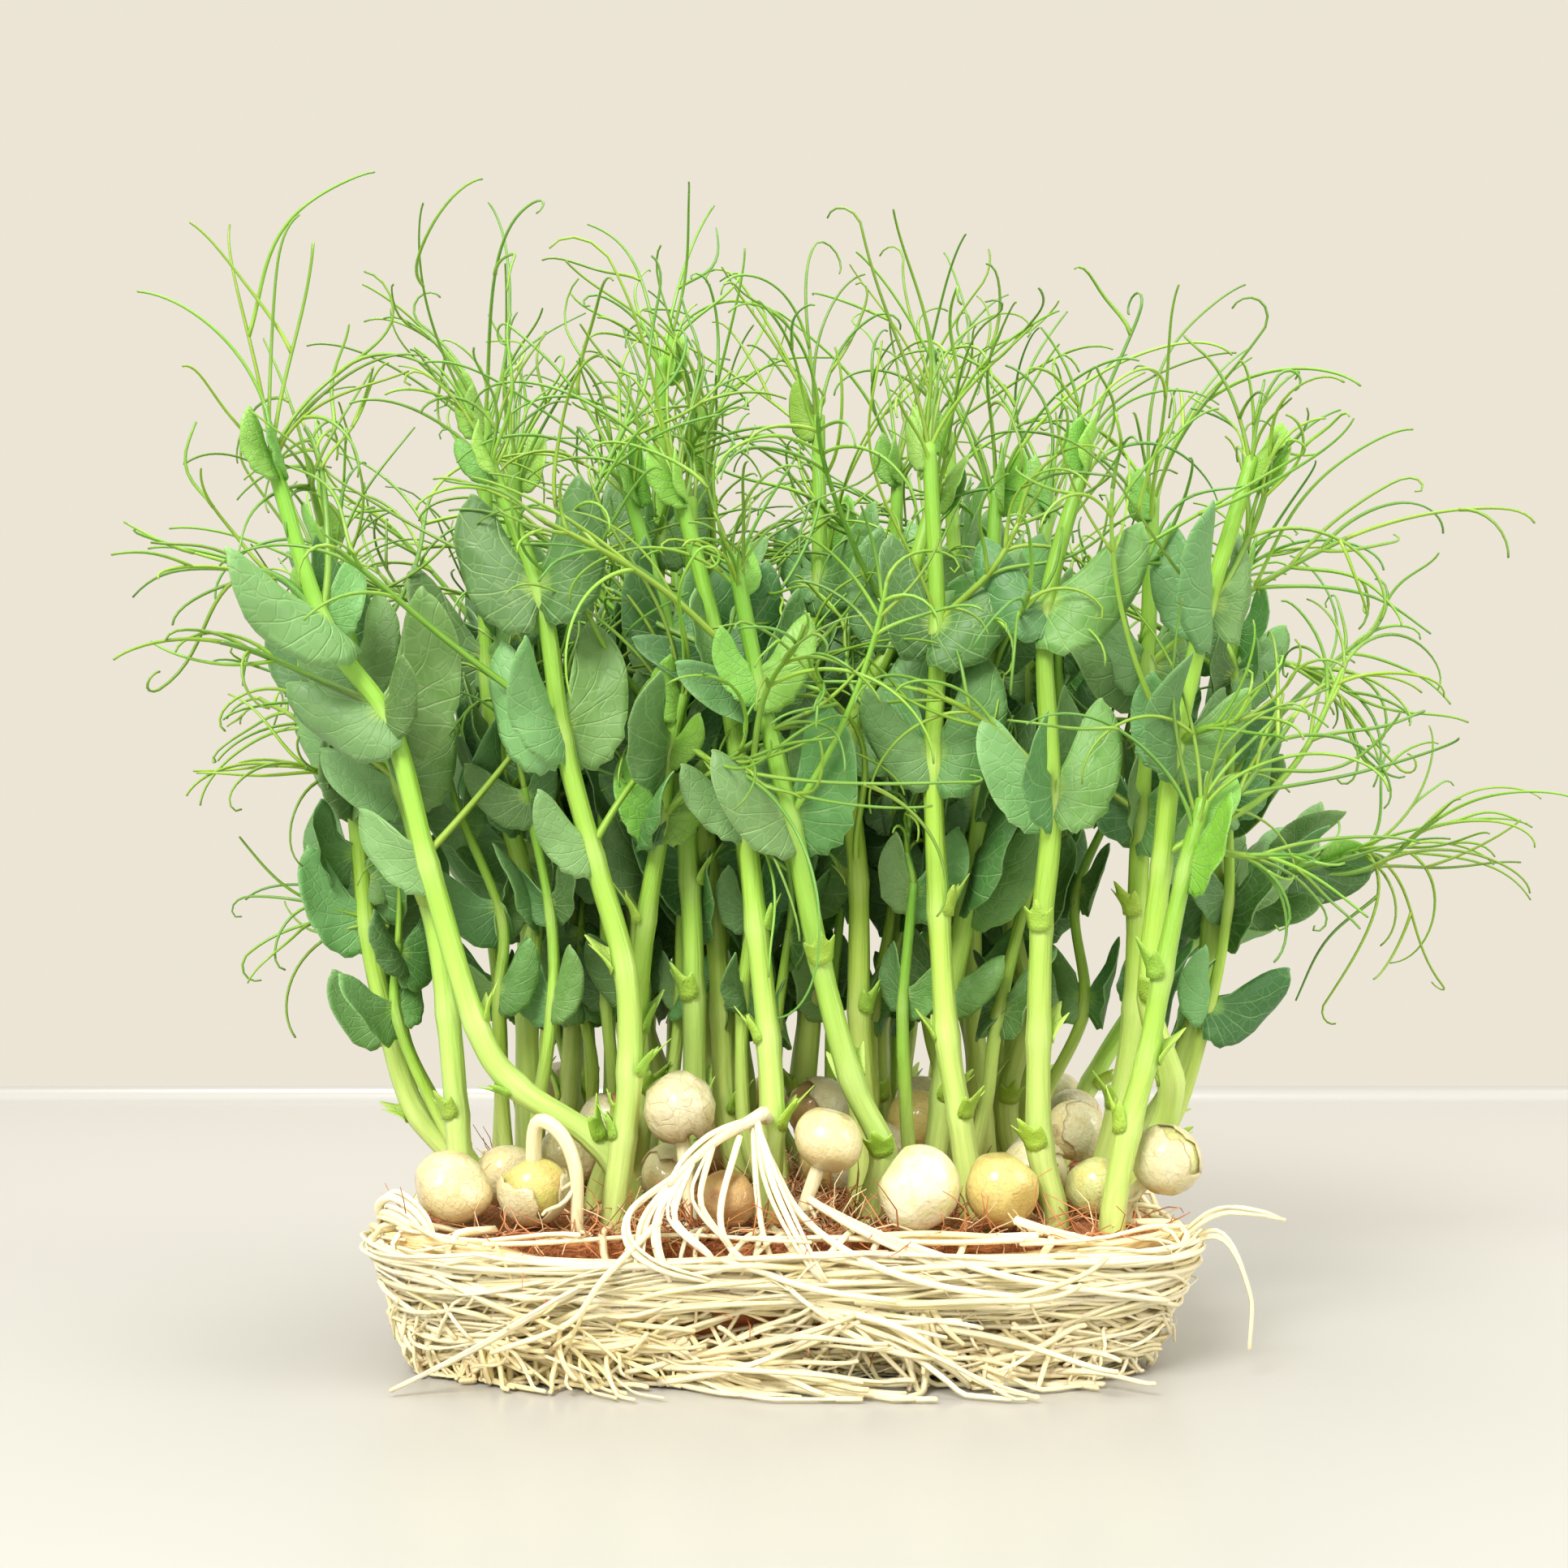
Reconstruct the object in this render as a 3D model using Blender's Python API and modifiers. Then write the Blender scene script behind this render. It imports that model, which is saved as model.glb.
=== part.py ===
"""Pea shoots on a mat of coir, held together by the block of roots that grew round it."""

import math
import random

import bmesh
import bpy
import numpy as np
from mathutils import Matrix, Vector

# Driving dimensions. Every length is in millimetres, and MM turns it into metres.
MM = 0.001
GAP = 0.3
SEED = "pea shoots"

# The root block is a tray-shaped cup that is wider at its rim than at its base.
BASE_HALF = (45.5, 39.0)
RIM_HALF = (51.0, 44.0)
CORNER = 15.0
RIM_HEIGHT = 16.0
WALL = 4.6
FLOOR = 3.0
ROOT_ROWS = 8
ROOT_COLUMNS = 40
ROOT_RELIEF = 0.6

# The coir mat lies in the roots.
COIR_TOP = 17.0
HOLE_DEPTH = 3.7
HOLE_SIDES = 4

# Shoots.
STEM_FOOT = 1.65
STEM_TIP = 0.9
STEM_SIDES = 4
BLADE_THICK = 0.65
PETIOLE_THICK = 0.62
TENDRIL_THICK = 0.5
TENDRIL_SIDES = 3
STRAND_STEPS = 3
TENDRIL_WANDER = 0.03

COLLECTION = "pea_shoot_root_block"

GREEN = (0.22, 0.46, 0.07, 1.0)
PEA_CREAM = (0.78, 0.72, 0.44, 1.0)
COIR_BROWN = (0.30, 0.12, 0.05, 1.0)
ROOT_CREAM = (0.85, 0.78, 0.52, 1.0)

# One row for each shoot that stands out: y at its foot and at its tip, then (x, z) up the stem. The first
# point is just above the coir, and the last is the growing tip.
LEADERS = (
    (-25.0, -34.0,
     ((-19.5, 19), (-24, 27), (-34, 34), (-39, 42), (-45, 62), (-50, 80), (-58, 92), (-65, 114))),
    (-25.5, -20.0, ((-41, 19), (-42, 30), (-43.5, 43), (-46, 57), (-50, 72), (-56, 86), (-62, 108))),
    (-4.0, -8.0, ((-43, 19), (-51, 28), (-55, 40), (-58, 54), (-60, 72), (-62, 87), (-64, 100))),
    (-31.0, -31.0,
     ((-21, 19), (-20, 28), (-19.3, 36), (-20, 49), (-24, 63), (-28, 78), (-31, 96), (-38, 114))),
    (-16.5, -28.0, ((-24.5, 19), (-21, 29), (-19.5, 41), (-18, 55), (-16, 67), (-15, 76), (-13, 84))),
    (-14.0, -22.0, ((-12, 19), (-12, 31), (-12, 45), (-12.5, 60), (-14, 78), (-15, 91), (-21, 113))),
    (-9.0, -12.0, ((-6, 19), (-8, 29), (-8.5, 42), (-9.5, 55), (-11, 70), (-12, 87), (-13, 113))),
    (-28.0, -27.0, ((-2, 19), (-1.5, 29), (-2, 40), (-3.5, 54), (-5, 68), (-8, 88), (-14, 112))),
    (-27.0, -33.0, ((11, 19), (12.5, 26), (8.5, 35), (4.5, 50), (1, 67), (-3, 84), (-6, 99))),
    (-17.0, -15.0, ((10, 19), (10.5, 30), (10, 43), (10, 60), (9, 79), (15, 94), (21, 114))),
    (-24.0, -26.0, ((24, 19), (22.5, 30), (21, 40), (20, 56), (19.3, 75), (20, 92), (19, 117))),
    (-10.0, -15.0, ((20, 19), (21.5, 31), (22.5, 44), (25, 58), (27, 72), (28, 92), (29, 114))),
    (-30.5, -30.0, ((33.8, 19), (32, 27), (32, 40), (32.5, 54), (34, 70), (33.5, 94), (39, 115))),
    (-20.5, -31.0, ((43.5, 19), (48, 26), (50, 34), (47, 45), (48.5, 62), (50, 76), (54, 94), (60, 114))),
    (-13.0, -17.0, ((42, 19), (45, 30), (47, 43), (47.5, 56), (48, 68), (49, 88), (50, 112))),
    (-5.0, -3.0, ((44, 19), (52, 28), (57, 40), (60, 54), (61, 70), (63, 88), (66, 106))),
    (-33.5, -33.0, ((40.5, 19), (42.5, 29), (45, 38), (47, 48), (50, 61), (52.5, 70))),
    (-1.0, -4.0, ((-21, 19), (-20, 31), (-20.5, 45), (-20, 60), (-19, 82), (-18, 108), (-17.5, 135))),
    (4.0, 0.0, ((4, 19), (3, 30), (4, 44), (4, 59), (3, 80), (5, 103), (5, 128))),
    (3.0, 2.0, ((29, 19), (28, 31), (27, 45), (27, 61), (26, 82), (25, 104), (24, 126))),
    (20.0, 27.0, ((42, 19), (47, 30), (55, 42), (65, 53), (76, 61), (87, 65))),
)

# Leaf pairs that stand out: shoot, point on its stem, azimuth of the leaf stalk, left and right length.
SHOWN_LEAVES = (
    (0, 5, -95, 0, 22), (0, 6, 100, 12, 12), (1, 4, -80, 15, 17), (1, 5, 110, 14, 14),
    (2, 3, 170, 11, 0), (2, 4, -150, 16, 15), (3, 5, 85, 20, 19), (3, 6, -120, 17, 0),
    (4, 4, -70, 13, 12), (4, 5, 75, 10, 14), (5, 4, -60, 14, 15), (5, 5, -20, 0, 15),
    (7, 4, 100, 15, 14), (7, 5, -40, 12, 12), (8, 4, -85, 0, 20), (8, 5, 80, 14, 13),
    (9, 4, 95, 21, 0), (9, 5, 40, 12, 14), (10, 4, 80, 17, 17), (10, 5, -40, 0, 15),
    (12, 4, 90, 18, 20), (12, 5, -30, 0, 12), (13, 5, 95, 15, 13), (13, 6, -95, 16, 0),
    (15, 4, 60, 0, 18), (15, 5, -60, 12, 12), (16, 4, 10, 14, 14), (20, 4, 60, 12, 12),
)

# Sprays of tendrils with a place of their own: shoot, point on its stem, fork, then the tips.
SHOWN_SPRAYS = (
    (0, 7, (-65, -34, 118), ((-71, -34, 144), (-60, -35, 139), (-49, -33, 132), (-48, -35, 124))),
    (0, 6, (-67, -34, 99), ((-83, -35, 105), (-82, -33, 96), (-77, -37, 83))),
    (1, 6, (-61, -29, 112), ((-68, -26, 131), (-54, -26, 127))),
    (2, 4, (-66, -10, 76), ((-80, -14, 75), (-77, -8, 86))),
    (2, 3, (-63, -6, 57), ((-74, -9, 50),)),
    (3, 7, (-38, -31, 116), ((-47, -33, 128), (-30, -33, 129))),
    (4, 5, (-9, -31, 74), ((22, -38, 71), (6, -37, 79))),
    (8, 6, (-7, -35, 102), ((-9, -38, 115), (1, -37, 112), (9, -37, 109))),
    (12, 6, (39, -30, 118), ((46, -33, 134), (33, -33, 131))),
    (13, 7, (60, -31, 117), ((53, -33, 128), (63, -33, 124), (70, -28, 116))),
    (13, 5, (57, -34, 80), ((68, -35, 84),)),
    (15, 6, (68, -4, 110), ((78, -6, 108), (66, -5, 124))),
    (15, 5, (74, -6, 90), ((86, -8, 76),)),
    (16, 4, (60, -35, 63), ((72, -36, 55),)),
    (17, 6, (-17.5, -4, 138), ((-30, -7, 144), (-28, -3, 156), (-10, -3, 159), (-7, -5, 146))),
    (18, 6, (4, 0, 132), ((-9, -4, 148), (5, 2, 154), (14, -3, 142))),
    (19, 6, (22, 2, 131), ((9, -3, 149), (17, 3, 152), (36, 0, 141))),
    (20, 5, (92, 27, 66), ((119, 29, 58), (104, 31, 44), (97, 30, 82), (84, 25, 42))),
)

# Peas at the front: x, y and radius, and the height of the centre where roots lift the pea off the coir.
SHOWN_PEAS = (
    (-41.0, -33.0, 4.9, 0), (-31.0, -32.5, 4.5, 0), (-14.5, -20.5, 4.4, 0), (-13.2, -29.5, 4.6, 31.5),
    (5.5, -33.5, 4.4, 28.0), (16.5, -35.6, 5.2, 0), (26.8, -33.8, 4.8, 0), (39.5, -25.5, 4.0, 0),
    (48.0, -29.5, 4.4, 25.0), (32.8, -19.3, 4.6, 0), (-7.0, -35.0, 3.7, 0), (-36.0, -20.5, 4.4, 0),
)
RADICLE_THICK = 0.9

# The other peas, in pairs: how many, the ranges of the two radii, how far one is pressed into the other, and
# the part of the bed that they lie in.
PAIRED_PEAS = 12
PEA_DRAWS = 4000
LOWER_PEA = (4.0, 4.8)
UPPER_PEA = (3.9, 4.6)
UPPER_CLIMB = (0.2, 0.9)
PRESSED = 0.9
PEA_FIELD_X = 41.0
PEA_FIELD_Y = (-26.0, 34.0)
PEA_LIMIT = (43.0, 36.0)
PEA_ACROSS = 7
PEA_TALL = 5
PEA_FLAT = 0.9

# Where the root under each lifted pea goes into the coir, by the pea's place in the list above.
LIFTED_FEET = {3: (-11.5, -31.0), 4: (2.0, -34.0), 8: (43.2, -27.5)}

# The second pea has a pale hooked root that arches over it and down into the coir, in steps from its centre.
HOOKED_PEA = 1
HOOK_STEPS = ((0.6, -2.4, 8.2), (3.6, -3.6, 7.4), (5.6, -3.8, 3.0), (5.8, -3.4, -3.4), (5.8, -3.4, -8.0))

# Owners of balls in the crowd, other than the shoots, which own theirs by number.
PEA_OWNER = 100
ROOT_OWNER = 900

# Loose roots, each a line of (x, y, z) and a radius. The first is an arm that ends in a fan of bent fingers,
# which hang over the front rim. The others cross the rim, stray at the right, or reach the ground.
LOOSE_ROOTS = (
    (((-3.5, -32.5, 30.5), (-8.0, -37.5, 28.5), (-12.5, -41.5, 25.0), (-13.6, -42.5, 23.8)), 0.95),
    (((-12.5, -41.5, 25.0), (-18.0, -43.6, 21.0), (-18.3, -45.2, 17.4), (-15.0, -45.8, 14.8),
      (-9.5, -45.0, 13.2), (-7.5, -42.0, 12.4)), 0.6),
    (((-12.5, -41.5, 25.0), (-16.6, -44.0, 20.0), (-17.4, -45.0, 14.5), (-19.0, -42.0, 12.0)), 0.55),
    (((-11.6, -40.7, 25.7), (-14.8, -44.2, 20.6), (-14.9, -45.4, 17.2), (-13.6, -45.2, 13.8),
      (-13.0, -42.0, 11.8)), 0.6),
    (((-11.0, -40.2, 26.2), (-12.9, -43.8, 20.8), (-11.6, -44.6, 18.2), (-8.6, -44.6, 15.8),
      (-7.6, -42.0, 13.8)), 0.6),
    (((-8.6, -38.1, 28.1), (-9.9, -42.6, 22.6), (-8.7, -43.6, 19.8), (-6.2, -43.6, 16.8),
      (-5.4, -41.6, 13.8)), 0.55),
    (((-3.5, -32.5, 30.5), (-1.5, -39.5, 24.0), (1.0, -44.0, 19.0), (4.0, -45.5, 14.0),
      (6.0, -42.0, 11.5)), 0.65),
    (((3.0, -38.5, 21.5), (8.5, -42.8, 18.8), (15.0, -44.6, 16.0), (22.0, -45.0, 13.0),
      (25.0, -42.0, 12.0)), 0.65),
    (((27.5, -41.0, 19.4), (34.0, -42.8, 17.6), (41.0, -40.8, 15.5), (46.0, -37.5, 13.0),
      (46.0, -33.0, 12.0)), 0.7),
    (((-46.0, -31.0, 14.0), (-50.0, -32.5, 19.0), (-47.5, -37.0, 21.5), (-43.0, -40.0, 19.0),
      (-41.0, -39.5, 13.5)), 0.8),
    (((-41.0, -38.0, 13.5), (-44.5, -40.0, 18.6), (-48.6, -36.5, 19.6), (-49.5, -29.0, 16.5),
      (-46.5, -27.0, 13.0)), 0.7),
    (((-18.0, -42.0, 15.0), (-27.0, -45.4, 10.6), (-36.0, -45.4, 5.4), (-45.5, -46.0, 0.8)), 0.6),
    (((46.0, -32.0, 13.0), (52.0, -36.0, 19.0), (57.0, -37.0, 19.5), (61.0, -36.0, 18.6)), 0.5),
    (((46.0, -30.0, 12.0), (53.0, -35.0, 16.5), (56.5, -36.0, 10.0), (56.0, -37.5, 3.5)), 0.5),
    (((18.0, -39.0, 4.0), (22.0, -42.5, 1.6), (25.5, -46.0, 0.8), (29.0, -49.0, 0.8)), 0.6),
)

# Strands wound round the wall: start and length as a share of the way round, height, and climb.
WOUND_ROOTS = (
    (0.86, 0.15, 13.0, 1.0), (0.02, 0.15, 12.5, 1.2), (0.90, 0.08, 3.0, 6.0),
)
WOUND_STEPS = 40
WOUND_THICK = 0.75
WOUND_OUT = (0.5, 0.9)
WOUND_SINK = -1.4

# Places of the shoots that fill the bed behind the leaders, the heights of the points up their stems, how
# tall they grow, how far they lean out, and how far each node strays.
FILL_SPOTS = (
    (-34, -7), (-31, 6), (-40, 16), (-18, 9), (-8, 4), (-28, 22), (-12, 20), (6, 17),
    (17, 9), (33, 3), (36, 17), (20, 24), (-20, 33),
)
STEM_LEVELS = (19.0, 29.0, 42.0, 56.0, 71.0, 89.0)
FILLER_TALL = (106.0, 126.0)
FILLER_LEAN = (0.10, 0.30)
FILLER_SWAY = 2.2
FILLER_SHIFT = 2.5
FILLER_ROOM = 1.0

# Outline of one clasping leaf in leaf lengths: (out from the stem, up along it), lower lobe first.
HALF_HEART = (
    (-0.04, 0.0), (0.10, -0.27), (0.16, -0.19), (0.26, -0.28), (0.30, -0.17), (0.39, -0.15), (0.44, 0.12),
    (0.38, 0.42), (0.17, 0.68), (0.07, 0.26),
)
PLAIN_HALF_HEART = (
    (-0.04, 0.0), (0.13, -0.27), (0.21, -0.18), (0.38, -0.19), (0.44, 0.22), (0.19, 0.67), (0.07, 0.26),
)
BLADE_MIDDLE = (0.20, 0.15)

# How a leaf grows off its node: above it, turned and flared, cupped across and bent along.
LEAF_ABOVE = 1.8
STALK_ABOVE = 1.2
LEAF_TURN = 0.35
LEAF_FLARE = (0.15, 0.65)
LEAF_CUP = (0.5, 1.1)
LEAF_BEND = (-0.8, 1.0)
RULE_LEAF = (12.0, 17.0)
FIRST_LEAFY = 5

# How far the tendrils that no table gives reach: one long arm off a node, or a fan off a growing tip.
ARM_REACH = (26.0, 38.0)
FAN_REACH = (19.0, 32.0)
FAN_STRANDS = 3
STALK_LEAST = 6.0

# Keeping clear: ball sizes for the pieces, how far a search reaches, and how near a root its own plant
# counts.
BLADE_BALL = 1.25
FAR_AWAY = 99.0
REACH = 9.0
OWN_SKIP = 5.0
TRIES = 40

# The rim: its dips, and the two front corners where it stands higher (turn, lift and width of each).
RIM_LOW = 0.6
RIM_WAVES = ((3, 0.5, 0.0), (7, 0.35, 1.0))
RIM_CORNERS = ((0.875, 2.6, 0.03), (0.13, 1.8, 0.035))

# The wall's fine swell, and the hollow low in the middle of its front.
WALL_WAVES = ((61.0, 1.7, 0.5), (23.0, -1.0, 0.4))
HOLLOW_DEEP = 2.4
HOLLOW_TURN, HOLLOW_WIDE = 0.012, 0.055
HOLLOW_ROW, HOLLOW_TALL = 3.2, 1.4
BASE_INSET = 1.2
RIM_DROP = 0.4
COIR_EDGE = 0.8
HOLE_SPARE = 0.05
SMOOTH_ANGLE = math.radians(40.0)
WELD = 0.00001


def unit(vector):
    """The vector at length one."""
    return vector / max(np.linalg.norm(vector), 1e-9)


def bezier(start, lead, trail, tip, steps):
    """Points along one cubic Bezier, ends included."""
    t = np.linspace(0.0, 1.0, steps + 1)[:, None]
    return (1 - t) ** 3 * start + 3 * t * (1 - t) ** 2 * lead + 3 * t ** 2 * (1 - t) * trail + t ** 3 * tip


def along(points, spacing):
    """Points about one spacing apart along a line of straight runs."""
    out = [points[:1]]
    for a, b in zip(points[:-1], points[1:]):
        count = max(1, int(math.ceil(np.linalg.norm(b - a) / spacing)))
        t = np.linspace(0.0, 1.0, count + 1)[1:, None]
        out.append(a + (b - a) * t)
    return np.vstack(out)


def least_gap(points, radius, centres, radii):
    """The smallest gap between two sets of balls."""
    if len(points) == 0 or len(centres) == 0:
        return FAR_AWAY
    reach = np.linalg.norm(points[:, None, :] - centres[None, :, :], axis=2)
    return float((reach - radii[None, :] - radius).min())


class Crowd:
    """Balls along everything that is already placed, so that the next piece can keep clear of it."""

    def __init__(self):
        self.centres = np.zeros((0, 3))
        self.radii = np.zeros(0)
        self.owners = np.zeros(0, dtype=int)
        self.stems = np.zeros(0, dtype=bool)

    def add(self, points, radius, owner, stem=False):
        self.centres = np.vstack([self.centres, points])
        self.radii = np.concatenate([self.radii, np.full(len(points), radius)])
        self.owners = np.concatenate([self.owners, np.full(len(points), owner)])
        self.stems = np.concatenate([self.stems, np.full(len(points), stem)])

    def room(self, points, radius, owner, root=None, clasps=False):
        """The space left round these balls. Below zero they touch another plant, or their own past a root."""
        low, high = points.min(axis=0) - REACH, points.max(axis=0) + REACH
        near = np.all((self.centres > low) & (self.centres < high), axis=1)
        others = near & (self.owners != owner)
        best = least_gap(points, radius, self.centres[others], self.radii[others])
        if root is not None:
            mine = near & (self.owners == owner) & (np.linalg.norm(self.centres - root, axis=1) > OWN_SKIP)
            if clasps:
                mine &= ~self.stems
            free = points[np.linalg.norm(points - root, axis=1) > OWN_SKIP]
            best = min(best, least_gap(free, radius, self.centres[mine], self.radii[mine]))
        return best


class Shoot:
    """One plant: the points up its stem, its leaves as outlines with a middle, and its tendrils as lines."""

    def __init__(self, index, path):
        self.index = index
        self.path = path
        self.blades = []
        self.strands = []

    def up(self, point):
        """The way the stem runs at one of its points."""
        return unit(self.path[min(point + 1, len(self.path) - 1)] - self.path[max(point - 1, 0)])

    def joint(self, point, above=STALK_ABOVE):
        """Where a leaf or stalk leaves the stem: just above a node's bend, or just inside the growing tip."""
        last = point == len(self.path) - 1
        return self.path[point] + self.up(point) * (-1.0 if last else above)


def stem_thick(path, point):
    """Stem radius at a height."""
    rise = (point[2] - path[0][2]) / (path[-1][2] - path[0][2])
    return STEM_FOOT + (STEM_TIP - STEM_FOOT) * min(max(rise, 0.0), 1.0)


def leader_path(row):
    """The points of a shoot from the table, from the foot of its hole to its tip."""
    y_foot, y_tip, profile = row
    last = len(profile) - 1
    points = [(profile[0][0], y_foot, COIR_TOP - HOLE_DEPTH + GAP)]
    for i, (x, z) in enumerate(profile):
        points.append((x, y_foot + (y_tip - y_foot) * i / last, z))
    return np.array(points, dtype=float)


def filler_path(rng, x, y):
    """A stem that leans out from the middle of the bed and bends a little at each of its nodes."""
    height = rng.uniform(*FILLER_TALL)
    spread = rng.uniform(*FILLER_LEAN)
    points = [(x, y, COIR_TOP - HOLE_DEPTH + GAP)]
    for i, z in enumerate(STEM_LEVELS + (height,)):
        lean = spread * ((z - STEM_LEVELS[0]) / 100.0) ** 1.3
        sway = 0.0 if i == 0 else FILLER_SWAY
        points.append((x + lean * x + rng.uniform(-sway, sway), y + lean * y + rng.uniform(-sway, sway), z))
    return np.array(points, dtype=float)


def blade_frame(up, azimuth, side, flare, turn):
    """Axes of a leaf at a node: out from the stem, up along the leaf, and off its face."""
    away = np.array([math.cos(azimuth), math.sin(azimuth), 0.0])
    away = unit(away - up * away.dot(up))
    across = np.cross(up, away) * side
    out = across * math.cos(turn) + away * math.sin(turn)
    rise = up * math.cos(flare) + out * math.sin(flare)
    out = unit(out - rise * out.dot(rise))
    return out, rise, np.cross(out, rise)


def blade_points(root, frame, length, cup, bend, outline):
    """The outline of a leaf, and its middle as the last point."""
    out, rise, face = frame
    points = []
    for u, v in outline + (BLADE_MIDDLE,):
        lift = cup * 1.4 * u * (0.5 - u) - bend * 0.35 * v * abs(v)
        points.append(root + length * (u * out + v * rise + lift * face))
    return np.array(points)


def blade_sample(points):
    """Points spread over a leaf, for keeping clear."""
    rim, middle = points[:-1], points[-1]
    following = np.roll(rim, -1, axis=0)
    out = [points]
    for a, b in ((0.5, 0.5), (0.75, 0.0), (0.5, 0.0), (0.25, 0.0), (0.4, 0.4)):
        out.append(rim * a + following * b + middle * (1 - a - b))
    return np.vstack(out)


def place_blade(crowd, shoot, point, azimuth, side, length, outline, tag):
    """Grow one leaf at a node, turned and flared until it hangs free of its neighbours."""
    rng = random.Random(f"{SEED} leaf {shoot.index} {point} {side} {tag}")
    root = shoot.joint(point, LEAF_ABOVE)
    best = None
    for attempt in range(TRIES):
        loose = attempt / TRIES
        turn = rng.uniform(-LEAF_TURN, LEAF_TURN) + rng.uniform(-1.0, 1.0) * loose
        flare = rng.uniform(*LEAF_FLARE) + rng.uniform(-0.2, 0.6) * loose
        swing = azimuth + rng.uniform(-0.7, 0.7) * loose
        size = length * (1.0 - 0.35 * loose)
        frame = blade_frame(shoot.up(point), swing, side, flare, turn)
        cup = rng.choice((-1, 1)) * rng.uniform(*LEAF_CUP)
        bend = rng.uniform(*LEAF_BEND)
        points = blade_points(root, frame, size, cup, bend, outline)
        sample = blade_sample(points)
        room = crowd.room(sample, BLADE_BALL, shoot.index, root, clasps=True)
        if best is None or room > best[0]:
            best = (room, points, sample)
        if room > GAP:
            break
    if best[0] > GAP - 0.25:
        shoot.blades.append(best[1])
        crowd.add(best[2], BLADE_BALL, shoot.index)
    return best[0]


def place_strand(crowd, shoot, start, tip, lead, thick, wander, tag):
    """Grow one tendril from a point to a tip, bent until it hangs free. Gives back its points, or None."""
    rng = random.Random(f"{SEED} strand {shoot.index} {tag}")
    span = np.linalg.norm(tip - start)
    best = None
    for attempt in range(TRIES):
        loose = attempt / TRIES
        drift = np.array([rng.uniform(-1, 1), rng.uniform(-1, 1), rng.uniform(-1, 1)])
        sideways = np.array([rng.uniform(-1, 1), rng.uniform(-1, 1), rng.uniform(-0.6, 1)])
        end = tip + drift * span * (wander + 0.45 * loose)
        near = start + unit(lead + sideways * 0.25 * loose) * span * rng.uniform(0.35, 0.5)
        far = end - unit(end - start) * span * 0.3 + sideways * span * (0.18 + 0.2 * loose)
        points = bezier(start, near, far, end, STRAND_STEPS)
        sample = along(points, 1.0)
        room = crowd.room(sample, thick, shoot.index, start)
        if best is None or room > best[0]:
            best = (room, points, sample)
        if room > GAP:
            break
    if best[0] < GAP - 0.1:
        return None
    shoot.strands.append((best[1], thick))
    crowd.add(best[2], thick, shoot.index)
    return best[1]


def place_spray(crowd, shoot, point, fork, tips, tag):
    """A leaf stalk that forks into tendrils."""
    start = shoot.joint(point)
    stalk = start
    lead = unit(fork - start)
    if np.linalg.norm(fork - start) > STALK_LEAST:
        lead = unit(lead + shoot.up(point) * 0.8)
        stalk_points = place_strand(crowd, shoot, start, fork, lead, PETIOLE_THICK, 0.0, f"{tag} stalk")
        if stalk_points is None:
            return
        lead = unit(stalk_points[-1] - stalk_points[-2])
        stalk = stalk_points[-1] - lead * 0.6
    for i, tip in enumerate(tips):
        tip = np.array(tip, dtype=float)
        way = unit(lead + unit(tip - stalk) * 0.9)
        place_strand(crowd, shoot, stalk, tip, way, TENDRIL_THICK, TENDRIL_WANDER, f"{tag} {i}")


def spray_rule(rng, shoot, point, azimuth, count):
    """Tips for the tendrils that no table gives: a fan off a growing tip, or one long arm off a node."""
    up = shoot.up(point)
    away = np.array([math.cos(azimuth), math.sin(azimuth), 0.0])
    start = shoot.joint(point)
    if count == 1:
        return start, [start + unit(up * rng.uniform(0.5, 1.2) + away) * rng.uniform(*ARM_REACH)]
    tips = []
    for i in range(count):
        bearing = azimuth + math.tau * (i + rng.uniform(-0.3, 0.3)) / count
        side = np.array([math.cos(bearing), math.sin(bearing), 0.0])
        tips.append(start + unit(up + side * rng.uniform(0.4, 1.1)) * rng.uniform(*FAN_REACH))
    return start + up * 3.0, tips


def lay_out_stems(crowd):
    """Every stem, leaders first, then the fillers bent until they pass between the others."""
    shoots = []
    for i, row in enumerate(LEADERS):
        shoots.append(Shoot(i, leader_path(row)))
    for shoot in shoots:
        crowd.add(along(shoot.path, 1.0), STEM_FOOT, shoot.index, stem=True)
    for k, (x, y) in enumerate(FILL_SPOTS):
        index = len(LEADERS) + k
        rng = random.Random(f"{SEED} filler {index}")
        best = None
        for _ in range(TRIES):
            shift = [rng.uniform(-FILLER_SHIFT, FILLER_SHIFT) for _ in range(2)]
            path = filler_path(rng, x + shift[0], y + shift[1])
            sample = along(path, 1.0)
            room = crowd.room(sample, STEM_FOOT, index)
            if best is None or room > best[0]:
                best = (room, path, sample)
            if room > FILLER_ROOM:
                break
        shoots.append(Shoot(index, best[1]))
        crowd.add(best[2], STEM_FOOT, index, stem=True)
    return shoots


def lay_out_leaves(crowd, shoots):
    """Leaf pairs at the upper nodes of every stem."""
    shown = {}
    for index, node, azimuth, left, right in SHOWN_LEAVES:
        shown[(index, node)] = (math.radians(azimuth), left, right)
    for index, node in shown:
        azimuth, left, right = shown[(index, node)]
        for side, length in ((-1, left), (1, right)):
            if length:
                place_blade(crowd, shoots[index], node + 1, azimuth, side, length, HALF_HEART, "shown")
    for shoot in shoots:
        rng = random.Random(f"{SEED} leaves {shoot.index}")
        azimuth = rng.uniform(0.0, math.tau)
        for point in range(FIRST_LEAFY, len(shoot.path) - 1):
            azimuth += math.pi + rng.uniform(-0.6, 0.6)
            if (shoot.index, point - 1) in shown:
                continue
            for side in (-1, 1):
                length = rng.uniform(*RULE_LEAF)
                if point > FIRST_LEAFY or side > 0:
                    place_blade(crowd, shoot, point, azimuth, side, length, PLAIN_HALF_HEART, "rule")


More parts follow.
